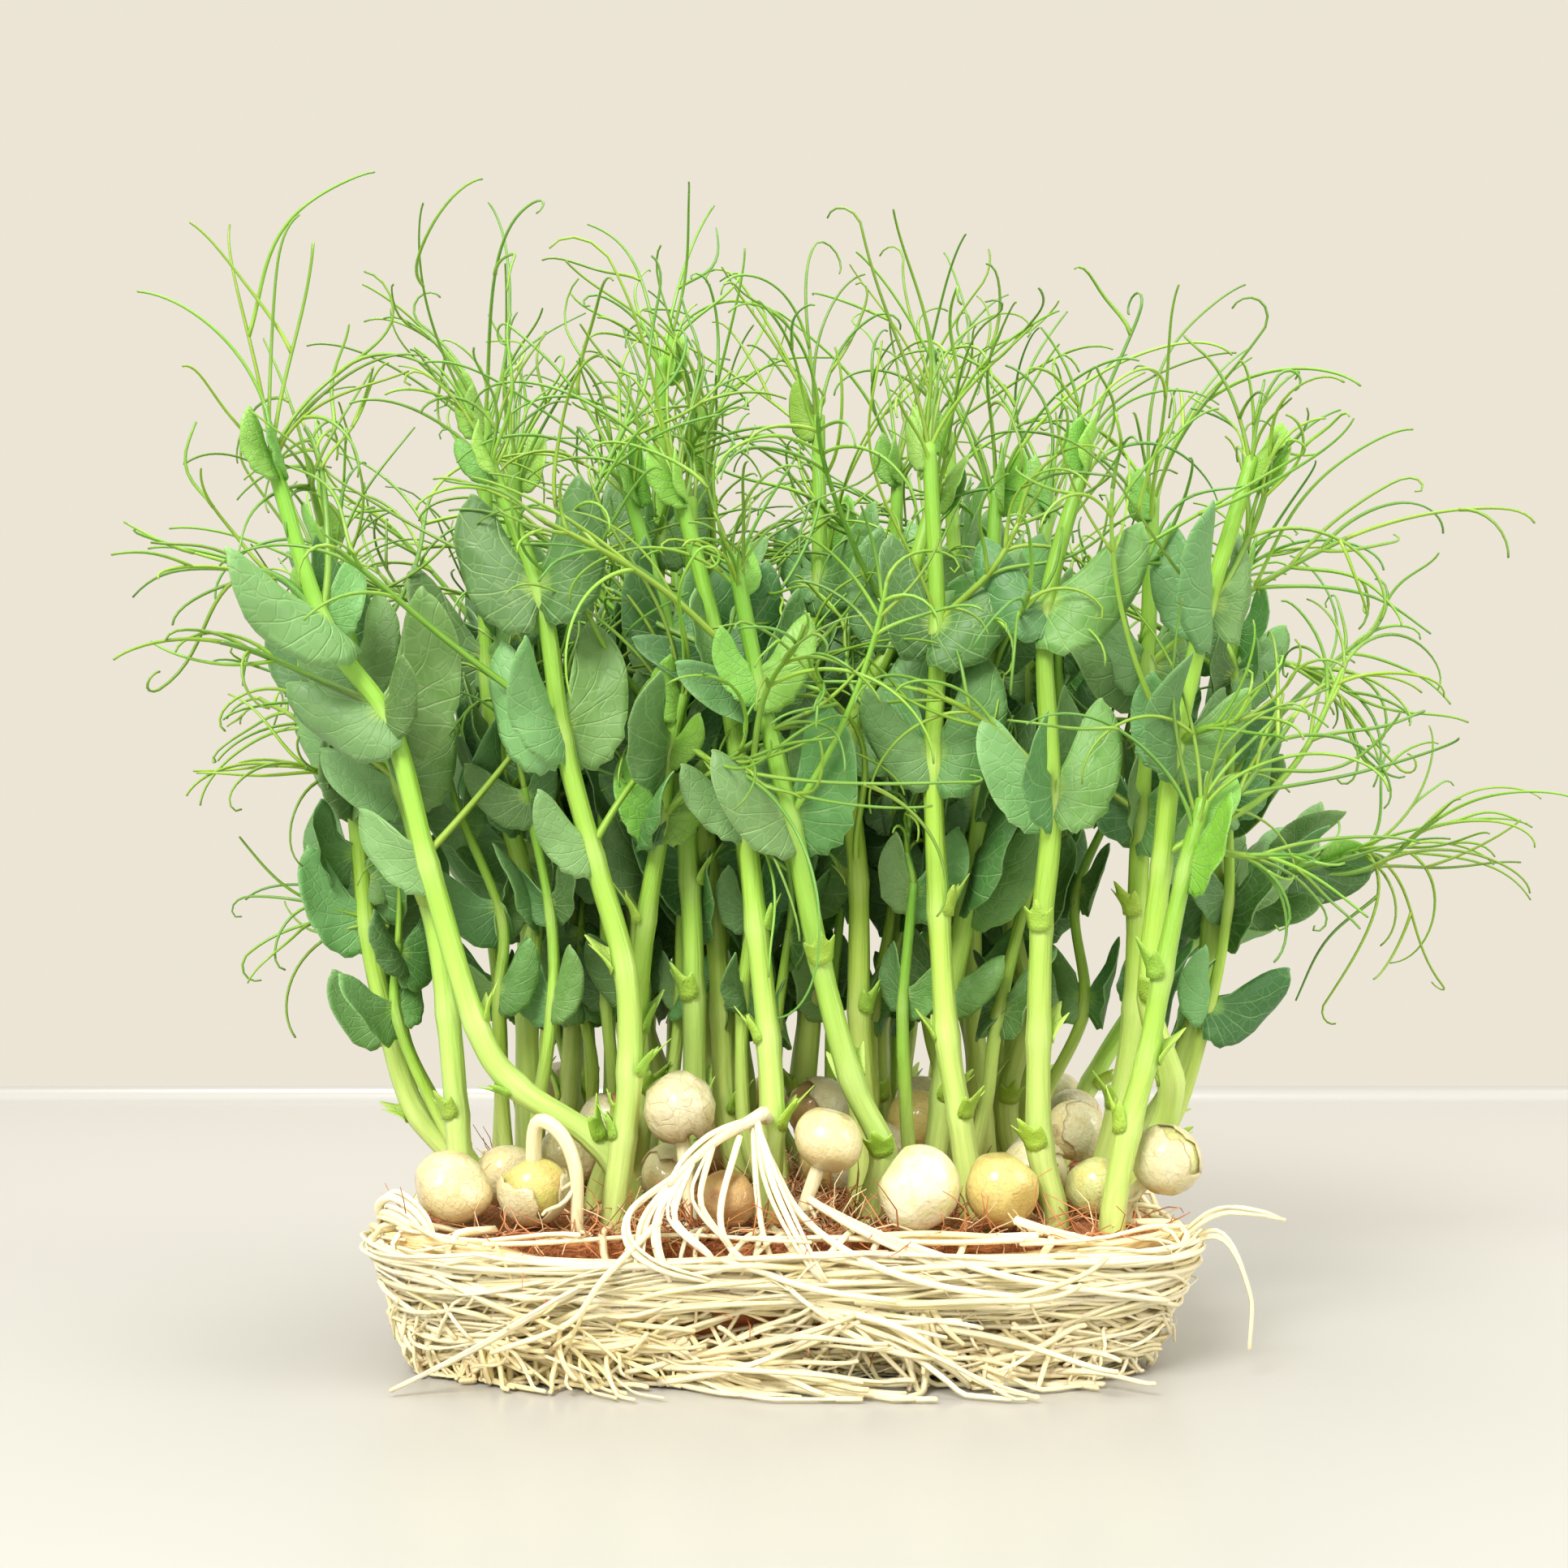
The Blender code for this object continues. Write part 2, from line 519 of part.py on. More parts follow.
def lay_out_tendrils(crowd, shoots):
    """The sprays from the table, then one at each growing tip and at the highest leaf pair."""
    shown = set()
    for index, node, fork, tips in SHOWN_SPRAYS:
        shown.add((index, node + 1))
        place_spray(crowd, shoots[index], node + 1, np.array(fork, dtype=float), tips, f"shown {node}")
    for shoot in shoots:
        rng = random.Random(f"{SEED} sprays {shoot.index}")
        tip = len(shoot.path) - 1
        azimuth = rng.uniform(0.0, math.tau)
        for point, count in ((tip, FAN_STRANDS), (tip - 1, 1)):
            azimuth += math.pi + rng.uniform(-0.8, 0.8)
            fork, tips = spray_rule(rng, shoot, point, azimuth, count)
            if (shoot.index, point) not in shown:
                place_spray(crowd, shoot, point, fork, tips, f"rule {point}")


class Pea:
    """One or two peas pressed together: (centre, radius) pairs, and the pale root that some stand on."""

    def __init__(self):
        self.balls = []
        self.foot = None


def lay_out_shown_peas(crowd):
    """The front peas. One that the roots have lifted gets a short root down into the coir."""
    peas = []
    bed = COIR_TOP + GAP
    for k, (x, y, radius, lifted) in enumerate(SHOWN_PEAS):
        pea = Pea()
        centre = np.array([x, y, lifted or bed + radius])
        pea.balls.append((centre, radius))
        if lifted:
            foot_x, foot_y = LIFTED_FEET[k]
            pea.foot = [centre, (foot_x * 0.8 + x * 0.2, foot_y * 0.8 + y * 0.2, COIR_TOP + 3.5)]
            pea.foot += [(foot_x, foot_y, COIR_TOP + 1.0), (foot_x, foot_y, COIR_TOP - HOLE_DEPTH + GAP)]
            pea.foot = np.array(pea.foot)
        elif k == HOOKED_PEA:
            pea.foot = np.array([centre] + [centre + np.array(step) for step in HOOK_STEPS])
            pea.foot[-1][2] = COIR_TOP - HOLE_DEPTH + GAP
        peas.append(pea)
        owner = PEA_OWNER + k
        crowd.add(centre[None, :], radius, owner)
        if pea.foot is not None:
            crowd.add(along(pea.foot, 0.8), RADICLE_THICK, owner)
    return peas


def lay_out_paired_peas(crowd, peas):
    """Peas over the rest of the bed, each with a second one pressed on top of it at a slant."""
    rng = random.Random(f"{SEED} peas")
    bed = COIR_TOP + GAP
    made = 0
    for _ in range(PEA_DRAWS):
        if made == PAIRED_PEAS:
            break
        radius = rng.uniform(*LOWER_PEA)
        x, y = rng.uniform(-PEA_FIELD_X, PEA_FIELD_X), rng.uniform(*PEA_FIELD_Y)
        low = np.array([x, y, bed + radius])
        heading, climb = rng.uniform(0.0, math.tau), rng.uniform(*UPPER_CLIMB)
        second = rng.uniform(*UPPER_PEA)
        level = math.cos(climb)
        way = np.array([math.cos(heading) * level, math.sin(heading) * level, math.sin(climb)])
        high = low + way * (radius + second) * PRESSED
        high[2] = max(high[2], bed + second)
        owner = PEA_OWNER + len(peas)
        inside = abs(high[0]) < PEA_LIMIT[0] and abs(high[1]) < PEA_LIMIT[1]
        room = min(crowd.room(low[None, :], radius, owner), crowd.room(high[None, :], second, owner))
        if not inside or room < GAP:
            continue
        pea = Pea()
        pea.balls = [(low, radius), (high, second)]
        peas.append(pea)
        crowd.add(low[None, :], radius, owner)
        crowd.add(high[None, :], second, owner)
        made += 1


def lay_out_root_fan(crowd):
    """The loose roots stand among the shoots too."""
    for points, thick in LOOSE_ROOTS:
        crowd.add(along(np.array(points, dtype=float), 1.0), thick, ROOT_OWNER)


def lay_out():
    """The whole bed: front peas, stems, other peas, leaves, tendrils."""
    crowd = Crowd()
    peas = lay_out_shown_peas(crowd)
    shoots = lay_out_stems(crowd)
    lay_out_paired_peas(crowd, peas)
    lay_out_root_fan(crowd)
    lay_out_leaves(crowd, shoots)
    lay_out_tendrils(crowd, shoots)
    return peas, shoots


def quadrant(half, corner, t):
    """A quarter of a rounded rectangle, from the middle of its front side to the middle of its right side."""
    flat, arc, side = half[0] - corner, math.pi / 2 * corner, half[1] - corner
    run = t * (flat + arc + side)
    if run < flat:
        return run, -half[1]
    if run < flat + arc:
        turn = (run - flat) / corner
        return flat + corner * math.sin(turn), -side - corner * math.cos(turn)
    return half[0], -side + run - flat - arc


def outline(half, corner, turn):
    """A point of a rounded rectangle. turn runs from 0 to 1, anticlockwise from the middle of the front."""
    quarter, t = divmod(turn % 1.0 * 4.0, 1.0)
    x, y = quadrant(half, corner, t if quarter in (0, 2) else 1.0 - t)
    return {0: (x, y), 1: (x, -y), 2: (-x, -y), 3: (-x, y)}[int(quarter)]


def wall_point(turn, z, out=0.0):
    """A point on the tray-shaped outside of the roots, moved out by a distance."""
    rise = z / RIM_HEIGHT
    half = [BASE_HALF[i] + (RIM_HALF[i] - BASE_HALF[i]) * rise + out for i in range(2)]
    x, y = outline(half, CORNER + out, turn)
    return np.array([x, y, z])


def rim_height(turn):
    """The rim stands higher at the front corners and sags between them."""
    height = RIM_HEIGHT - RIM_LOW
    for count, size, phase in RIM_WAVES:
        height += size * math.sin(count * turn * math.tau + phase)
    for corner, lift, width in RIM_CORNERS:
        height += lift * math.exp(-((turn - corner) / width) ** 2)
    return height


def root_relief(turn, row):
    """How far the wound roots stand out from the tray shape, and the hollow low in the front."""
    wind = ROOT_RELIEF * (1 if (row + int(turn * 5)) % 2 else -1)
    wave = sum(size * math.sin(turn * beat + row * climb) for beat, climb, size in WALL_WAVES)
    off_middle = (turn + 0.5) % 1.0 - 0.5 - HOLLOW_TURN
    off_row = row - HOLLOW_ROW
    hollow = HOLLOW_DEEP * math.exp(-(off_middle / HOLLOW_WIDE) ** 2 - (off_row / HOLLOW_TALL) ** 2)
    return wind + wave - hollow


# Blender objects


def clear_scene():
    for obj in list(bpy.data.objects):
        bpy.data.objects.remove(obj, do_unlink=True)


def new_collection(name, parent):
    collection = bpy.data.collections.new(name)
    parent.children.link(collection)
    return collection


def material(name, colour, roughness):
    """A plain Principled material."""
    made = bpy.data.materials.new(name)
    made.use_nodes = True
    shader = made.node_tree.nodes["Principled BSDF"]
    shader.inputs["Base Color"].default_value = colour
    shader.inputs["Roughness"].default_value = roughness
    shader.inputs["Metallic"].default_value = 0.0
    made.diffuse_color = colour
    return made


def closed_mesh(mesh):
    """Weld the seams of a mesh and turn its faces out."""
    grid = bmesh.new()
    grid.from_mesh(mesh)
    bmesh.ops.remove_doubles(grid, verts=grid.verts, dist=WELD)
    bmesh.ops.recalc_face_normals(grid, faces=grid.faces)
    grid.to_mesh(mesh)
    grid.free()
    return mesh


def section(name, sides, collection):
    """A closed curve of a few sides and 1 mm radius, which tubes are drawn along."""
    data = bpy.data.curves.new(name, "CURVE")
    data.dimensions = "2D"
    spline = data.splines.new("POLY")
    spline.points.add(sides - 1)
    for i in range(sides):
        angle = math.tau * i / sides
        spline.points[i].co = (MM * math.cos(angle), MM * math.sin(angle), 0.0, 1.0)
    spline.use_cyclic_u = True
    obj = bpy.data.objects.new(name, data)
    obj.hide_render = True
    obj.display_type = "WIRE"
    collection.objects.link(obj)
    return obj


def tube_curve(name, points, thick, profile, collection):
    """A curve along points, drawn with a section. thick is a radius, or one for each point."""
    data = bpy.data.curves.new(name, "CURVE")
    data.dimensions = "3D"
    data.bevel_mode = "OBJECT"
    data.bevel_object = profile
    data.use_fill_caps = True
    spline = data.splines.new("POLY")
    spline.points.add(len(points) - 1)
    for i, point in enumerate(points):
        spline.points[i].co = (*(point * MM), 1.0)
        spline.points[i].radius = thick[i] if isinstance(thick, (list, tuple)) else thick
    obj = bpy.data.objects.new(name, data)
    collection.objects.link(obj)
    return obj


def to_meshes(curves, collection):
    """Each curve as a closed mesh object in the same place, with the curve removed."""
    bpy.context.view_layer.update()
    depsgraph = bpy.context.evaluated_depsgraph_get()
    made = []
    for curve in curves:
        evaluated = curve.evaluated_get(depsgraph)
        mesh = closed_mesh(bpy.data.meshes.new_from_object(evaluated, depsgraph=depsgraph))
        obj = bpy.data.objects.new(curve.name + "_mesh", mesh)
        obj.matrix_world = curve.matrix_world
        collection.objects.link(obj)
        made.append(obj)
    for curve in curves:
        bpy.data.objects.remove(curve, do_unlink=True)
    return made


def blade_object(name, points, collection):
    """A leaf: a fan of triangles from its middle, made a sheet by Solidify."""
    grid = bmesh.new()
    verts = [grid.verts.new(Vector(point * MM)) for point in points]
    middle = verts.pop()
    for i, vert in enumerate(verts):
        grid.faces.new((middle, vert, verts[(i + 1) % len(verts)]))
    mesh = bpy.data.meshes.new(name)
    grid.to_mesh(mesh)
    grid.free()
    obj = bpy.data.objects.new(name, mesh)
    solid = obj.modifiers.new("leaf thickness", "SOLIDIFY")
    solid.thickness = BLADE_THICK * MM
    solid.offset = 0.0
    collection.objects.link(obj)
    return obj


def islands(grid):
    """The connected pieces of a mesh, largest first, as lists of faces."""
    left = set(grid.faces)
    found = []
    while left:
        queue = [left.pop()]
        piece = list(queue)
        while queue:
            for edge in queue.pop().edges:
                for face in edge.link_faces:
                    if face in left:
                        left.remove(face)
                        queue.append(face)
                        piece.append(face)
        found.append(piece)
    return sorted(found, key=len, reverse=True)


def join(body, collection, operation="UNION"):
    """Join or cut the body with a collection's objects, keep the largest piece, and remove those objects."""
    boolean = body.modifiers.new("joined pieces", "BOOLEAN")
    boolean.operation = operation
    boolean.operand_type = "COLLECTION"
    boolean.collection = collection
    boolean.solver = "EXACT"
    bpy.context.view_layer.update()
    depsgraph = bpy.context.evaluated_depsgraph_get()
    mesh = bpy.data.meshes.new_from_object(body.evaluated_get(depsgraph), depsgraph=depsgraph)
    body.modifiers.clear()
    grid = bmesh.new()
    grid.from_mesh(mesh)
    for scrap in islands(grid)[1:]:
        bmesh.ops.delete(grid, geom=scrap, context="FACES")
    bmesh.ops.triangulate(grid, faces=grid.faces)
    grid.to_mesh(mesh)
    grid.free()
    mesh.name = body.name
    body.data = mesh
    for obj in list(collection.objects):
        bpy.data.objects.remove(obj, do_unlink=True)


def finish(obj, look):
    """Give a piece its material, shade it smooth except at sharp edges, and name its mesh."""
    obj.data.materials.clear()
    obj.data.materials.append(look)
    obj.data.shade_smooth()
    obj.data.set_sharp_from_angle(angle=SMOOTH_ANGLE)
    obj.data.name = obj.name


def make_shoot(shoot, home, spare, sections, look):
    """Stem, leaves and tendrils of one plant, joined."""
    name = f"shoot_{shoot.index + 1:02d}"
    thick = [stem_thick(shoot.path, point) for point in shoot.path]
    stem = tube_curve(name + "_stem", shoot.path, thick, sections[STEM_SIDES], home)
    curves = []
    for k, (points, radius) in enumerate(shoot.strands):
        curves.append(tube_curve(f"{name}_strand{k}", points, radius, sections[TENDRIL_SIDES], spare))
    body = to_meshes([stem], home)[0]
    body.name = name
    to_meshes(curves, spare)
    for k, points in enumerate(shoot.blades):
        blade_object(f"{name}_leaf{k}", points, spare)
    join(body, spare)
    finish(body, look)


def pea_ball(name, centre, radius, collection):
    """One swollen pea, a little flattened where it split from its neighbour."""
    grid = bmesh.new()
    bmesh.ops.create_uvsphere(grid, u_segments=PEA_ACROSS, v_segments=PEA_TALL, radius=radius * MM)
    rng = random.Random(f"{SEED} {name}")
    roll, pitch = rng.uniform(0, math.pi), rng.uniform(0, math.pi)
    tilt = Matrix.Rotation(roll, 4, "X") @ Matrix.Rotation(pitch, 4, "Y")
    for vert in grid.verts:
        if vert.co.z > radius * MM * PEA_FLAT:
            vert.co.z *= PEA_FLAT
    bmesh.ops.transform(grid, matrix=Matrix.Translation(Vector(centre * MM)) @ tilt, verts=grid.verts)
    mesh = bpy.data.meshes.new(name)
    grid.to_mesh(mesh)
    grid.free()
    obj = bpy.data.objects.new(name, mesh)
    collection.objects.link(obj)
    return obj


def make_pea(index, pea, home, spare, sections, look):
    """A pea, with the one pressed to it or with its root."""
    name = f"pea_{index + 1:02d}"
    body = pea_ball(name, *pea.balls[0], home)
    for k, (centre, radius) in enumerate(pea.balls[1:]):
        pea_ball(f"{name}_more{k}", centre, radius, spare)
    if pea.foot is not None:
        root = tube_curve(name + "_root", pea.foot, RADICLE_THICK, sections[TENDRIL_SIDES], spare)
        to_meshes([root], spare)
    if spare.objects:
        join(body, spare)
    finish(body, look)


def bridge(grid, lower, upper):
    """Faces between two rings of the same count."""
    count = len(lower)
    for i in range(count):
        j = (i + 1) % count
        grid.faces.new((lower[i], lower[j], upper[j], upper[i]))


def ring(grid, points):
    return [grid.verts.new(Vector(point * MM)) for point in points]


def solid_from(grid, name, home):
    """An object from a grid of faces, all made triangles."""
    bmesh.ops.triangulate(grid, faces=grid.faces)
    mesh = bpy.data.meshes.new(name)
    grid.to_mesh(mesh)
    grid.free()
    body = bpy.data.objects.new(name, mesh)
    home.objects.link(body)
    return body


def hole(name, foot, radius, collection):
    """A cutter for one plain hole, with a gap round what stands in it."""
    wide = (radius + GAP + HOLE_SPARE) / math.cos(math.pi / HOLE_SIDES) * MM
    grid = bmesh.new()
    bmesh.ops.create_cone(grid, cap_ends=True, segments=HOLE_SIDES, radius1=wide, radius2=wide,
                          depth=2 * HOLE_DEPTH * MM)
    middle = Vector((foot[0] * MM, foot[1] * MM, COIR_TOP * MM))
    bmesh.ops.translate(grid, verts=grid.verts, vec=middle)
    mesh = bpy.data.meshes.new(name)
    grid.to_mesh(mesh)
    grid.free()
    obj = bpy.data.objects.new(name, mesh)
    obj.hide_render = True
    obj.display_type = "WIRE"
    collection.objects.link(obj)


def make_coir(shoots, peas, home, spare, look):
    """The mat: a loft with a chamfered top edge, and a plain hole for each stem and lifted root."""
    grid = bmesh.new()
    turns = [i / ROOT_COLUMNS for i in range(ROOT_COLUMNS)]
    low = ring(grid, [wall_point(t, FLOOR + GAP, -WALL) for t in turns])
    edge = ring(grid, [wall_point(t, COIR_TOP - COIR_EDGE, -WALL) for t in turns])
    bridge(grid, low, edge)
    grid.faces.new(list(reversed(low)))
    top = ring(grid, [wall_point(t, COIR_TOP, -WALL - COIR_EDGE) for t in turns])
    bridge(grid, edge, top)
    grid.faces.new(top)
    body = solid_from(grid, "coir_mat", home)
    feet = [(shoot.path[0], STEM_FOOT) for shoot in shoots]
    feet += [(pea.foot[-1], RADICLE_THICK) for pea in peas if pea.foot is not None]
    for k, (foot, radius) in enumerate(feet):
        hole(f"hole{k}", foot, radius, spare)
    join(body, spare, operation="DIFFERENCE")
    finish(body, look)


def wound_roots():
    """Long strands half sunk in the wall, one row of WOUND_ROOTS each."""
    rng = random.Random(f"{SEED} wound roots")
    found = []
    for start, length, z, climb in WOUND_ROOTS:
        count = max(3, int(length * WOUND_STEPS))
        points = []
        for i in range(count + 1):
            t = i / count
            sink = WOUND_SINK if i in (0, count) else rng.uniform(*WOUND_OUT)
            height = z + climb * t + rng.uniform(-0.4, 0.4)
            points.append(wall_point(start + length * t, height, sink))
        found.append((tuple(points), WOUND_THICK))
    return tuple(found)


def make_roots(home, spare, sections, look):
    """The roots: a cup lofted through rows of wound strands, with the loose roots joined to it."""
    grid = bmesh.new()
    turns = [i / ROOT_COLUMNS for i in range(ROOT_COLUMNS)]
    last = ring(grid, [wall_point(t, 0.0, -BASE_INSET) for t in turns])
    grid.faces.new(list(reversed(last)))
    for row in range(1, ROOT_ROWS + 1):
        share = row / ROOT_ROWS
        now = ring(grid, [wall_point(t, rim_height(t) * share, root_relief(t, row)) for t in turns])
        bridge(grid, last, now)
        last = now
    inner = ring(grid, [wall_point(t, rim_height(t) - RIM_DROP, GAP - WALL) for t in turns])
    bridge(grid, last, inner)
    floor = ring(grid, [wall_point(t, FLOOR, GAP - WALL) for t in turns])
    bridge(grid, inner, floor)
    grid.faces.new(floor)
    body = solid_from(grid, "root_mat", home)
    profile = sections[TENDRIL_SIDES]
    curves = []
    for k, (points, thick) in enumerate(LOOSE_ROOTS + wound_roots()):
        curves.append(tube_curve(f"root{k}", np.array(points, dtype=float), thick, profile, spare))
    to_meshes(curves, spare)
    join(body, spare)
    finish(body, look)


def main():
    clear_scene()
    root = bpy.context.scene.collection
    home = new_collection(COLLECTION, root)
    spare = new_collection("joining pieces", root)
    guides = new_collection("tube sections", root)
    sections = {}
    for sides in (STEM_SIDES, TENDRIL_SIDES):
        sections[sides] = section(f"section{sides}", sides, guides)
    peas, shoots = lay_out()
    green = material("shoot green", GREEN, 0.5)
    cream = material("pea skin", PEA_CREAM, 0.35)
    brown = material("coir", COIR_BROWN, 0.95)
    pale = material("roots", ROOT_CREAM, 0.6)
    for shoot in shoots:
        make_shoot(shoot, home, spare, sections, green)
    for index, pea in enumerate(peas):
        make_pea(index, pea, home, spare, sections, cream)
    make_coir(shoots, peas, home, spare, brown)
    make_roots(home, spare, sections, pale)
    for obj in list(guides.objects):
        bpy.data.objects.remove(obj, do_unlink=True)


main()
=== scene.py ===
# %% [markdown]
# # Pea shoots on their own block of roots
# A bed of pea shoots was lifted out of its tray. What is left is a mat of coir, the swollen peas on it, the
# shoots that grew from them, and a felt of pale roots that kept the shape of the tray.
# The CAD model holds the plain solids. This script builds the finer pieces that stand for them, at the same
# places, and gives every surface its finish.

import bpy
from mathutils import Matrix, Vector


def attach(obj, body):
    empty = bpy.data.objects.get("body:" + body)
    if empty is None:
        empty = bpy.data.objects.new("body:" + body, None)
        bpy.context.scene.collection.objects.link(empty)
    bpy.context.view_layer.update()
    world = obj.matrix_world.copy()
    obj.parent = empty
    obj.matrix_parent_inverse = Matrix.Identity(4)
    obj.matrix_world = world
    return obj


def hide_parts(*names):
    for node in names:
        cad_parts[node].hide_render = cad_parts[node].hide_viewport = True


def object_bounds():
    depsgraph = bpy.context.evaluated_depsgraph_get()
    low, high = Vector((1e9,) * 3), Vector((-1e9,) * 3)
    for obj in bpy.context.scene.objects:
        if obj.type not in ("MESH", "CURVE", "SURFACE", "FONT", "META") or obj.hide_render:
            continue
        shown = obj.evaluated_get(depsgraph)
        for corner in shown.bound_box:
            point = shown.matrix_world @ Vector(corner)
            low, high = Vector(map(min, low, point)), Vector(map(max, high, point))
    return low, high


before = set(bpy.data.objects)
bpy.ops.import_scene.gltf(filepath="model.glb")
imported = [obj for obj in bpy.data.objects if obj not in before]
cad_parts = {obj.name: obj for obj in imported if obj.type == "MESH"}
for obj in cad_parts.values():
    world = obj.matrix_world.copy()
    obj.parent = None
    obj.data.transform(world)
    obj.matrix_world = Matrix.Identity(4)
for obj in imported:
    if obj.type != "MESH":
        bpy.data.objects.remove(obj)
CAD_LOW, CAD_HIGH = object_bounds()
print("CAD box in metres:", [round(v, 4) for v in (*CAD_LOW, *CAD_HIGH)])

# %% [markdown]
# The root block and the stems are worked out from a few sizes in millimetres. They are the same ones as in
# the solids, so that everything drawn here lands in the same place.

# %% Imports, units and driving dimensions
import math
import random

import bpy
import numpy as np
from mathutils import Euler

# Lengths are in millimetres until a mesh is made, where MM turns them into metres.
MM = 0.001
GAP = 0.3
SEED = "pea shoots"
BOX_LOW = np.array(CAD_LOW) / MM
BOX_HIGH = np.array(CAD_HIGH) / MM

BASE_HALF = (45.5, 39.0)
RIM_HALF = (51.0, 44.0)
CORNER = 15.0
RIM_HEIGHT = 16.0
WALL = 4.6
FLOOR = 3.0
COIR_TOP = 17.0
HOLE_DEPTH = 3.7
STEM_FOOT = 1.65
STEM_TIP = 0.9
print("root block in mm:", [2 * half for half in RIM_HALF], "and", RIM_HEIGHT, "high")

# %% [markdown]
# ## The layout
# A bed of shoots is a crowd: stems pass between stems, leaves hang where there is room, and tendrils reach
# out through the gaps. The shoots at the front are listed, one row of numbers each. The rest follow a
# rule with a seeded draw. Either way a piece is only kept where it clears what is already there, so the
# layout has to be made in the same order, with the same draws, as it was for the solids.

# %% The shoots and peas that stand out
# One row for each shoot: y at its foot and at its tip, then (x, z) up the stem.
LEADERS = (
    (-25.0, -34.0, ((-19.5, 19), (-24, 27), (-34, 34), (-39, 42), (-45, 62), (-50, 80), (-58, 92),
                    (-65, 114))),
    (-25.5, -20.0, ((-41, 19), (-42, 30), (-43.5, 43), (-46, 57), (-50, 72), (-56, 86), (-62, 108))),
    (-4.0, -8.0, ((-43, 19), (-51, 28), (-55, 40), (-58, 54), (-60, 72), (-62, 87), (-64, 100))),
    (-31.0, -31.0, ((-21, 19), (-20, 28), (-19.3, 36), (-20, 49), (-24, 63), (-28, 78), (-31, 96),
                    (-38, 114))),
    (-16.5, -28.0, ((-24.5, 19), (-21, 29), (-19.5, 41), (-18, 55), (-16, 67), (-15, 76), (-13, 84))),
    (-14.0, -22.0, ((-12, 19), (-12, 31), (-12, 45), (-12.5, 60), (-14, 78), (-15, 91), (-21, 113))),
    (-9.0, -12.0, ((-6, 19), (-8, 29), (-8.5, 42), (-9.5, 55), (-11, 70), (-12, 87), (-13, 113))),
    (-28.0, -27.0, ((-2, 19), (-1.5, 29), (-2, 40), (-3.5, 54), (-5, 68), (-8, 88), (-14, 112))),
    (-27.0, -33.0, ((11, 19), (12.5, 26), (8.5, 35), (4.5, 50), (1, 67), (-3, 84), (-6, 99))),
    (-17.0, -15.0, ((10, 19), (10.5, 30), (10, 43), (10, 60), (9, 79), (15, 94), (21, 114))),
    (-24.0, -26.0, ((24, 19), (22.5, 30), (21, 40), (20, 56), (19.3, 75), (20, 92), (19, 117))),
    (-10.0, -15.0, ((20, 19), (21.5, 31), (22.5, 44), (25, 58), (27, 72), (28, 92), (29, 114))),
    (-30.5, -30.0, ((33.8, 19), (32, 27), (32, 40), (32.5, 54), (34, 70), (33.5, 94), (39, 115))),
    (-20.5, -31.0, ((43.5, 19), (48, 26), (50, 34), (47, 45), (48.5, 62), (50, 76), (54, 94), (60, 114))),
    (-13.0, -17.0, ((42, 19), (45, 30), (47, 43), (47.5, 56), (48, 68), (49, 88), (50, 112))),
    (-5.0, -3.0, ((44, 19), (52, 28), (57, 40), (60, 54), (61, 70), (63, 88), (66, 106))),
    (-33.5, -33.0, ((40.5, 19), (42.5, 29), (45, 38), (47, 48), (50, 61), (52.5, 70))),
    (-1.0, -4.0, ((-21, 19), (-20, 31), (-20.5, 45), (-20, 60), (-19, 82), (-18, 108), (-17.5, 135))),
    (4.0, 0.0, ((4, 19), (3, 30), (4, 44), (4, 59), (3, 80), (5, 103), (5, 128))),
    (3.0, 2.0, ((29, 19), (28, 31), (27, 45), (27, 61), (26, 82), (25, 104), (24, 126))),
    (20.0, 27.0, ((42, 19), (47, 30), (55, 42), (65, 53), (76, 61), (87, 65))),
)
FILL_SPOTS = (
    (-34, -7), (-31, 6), (-40, 16), (-18, 9), (-8, 4), (-28, 22), (-12, 20), (6, 17),
    (17, 9), (33, 3), (36, 17), (20, 24), (-20, 33),
)
STEM_LEVELS = (19.0, 29.0, 42.0, 56.0, 71.0, 89.0)

# Leaf pairs that stand out: shoot, point on its stem, azimuth of the leaf stalk, left and right length.
SHOWN_LEAVES = (
    (0, 5, -95, 0, 22), (0, 6, 100, 12, 12), (1, 4, -80, 15, 17), (1, 5, 110, 14, 14),
    (2, 3, 170, 11, 0), (2, 4, -150, 16, 15), (3, 5, 85, 20, 19), (3, 6, -120, 17, 0),
    (4, 4, -70, 13, 12), (4, 5, 75, 10, 14), (5, 4, -60, 14, 15), (5, 5, -20, 0, 15),
    (7, 4, 100, 15, 14), (7, 5, -40, 12, 12), (8, 4, -85, 0, 20), (8, 5, 80, 14, 13),
    (9, 4, 95, 21, 0), (9, 5, 40, 12, 14), (10, 4, 80, 17, 17), (10, 5, -40, 0, 15),
    (12, 4, 90, 18, 20), (12, 5, -30, 0, 12), (13, 5, 95, 15, 13), (13, 6, -95, 16, 0),
    (15, 4, 60, 0, 18), (15, 5, -60, 12, 12), (16, 4, 10, 14, 14), (20, 4, 60, 12, 12),
)

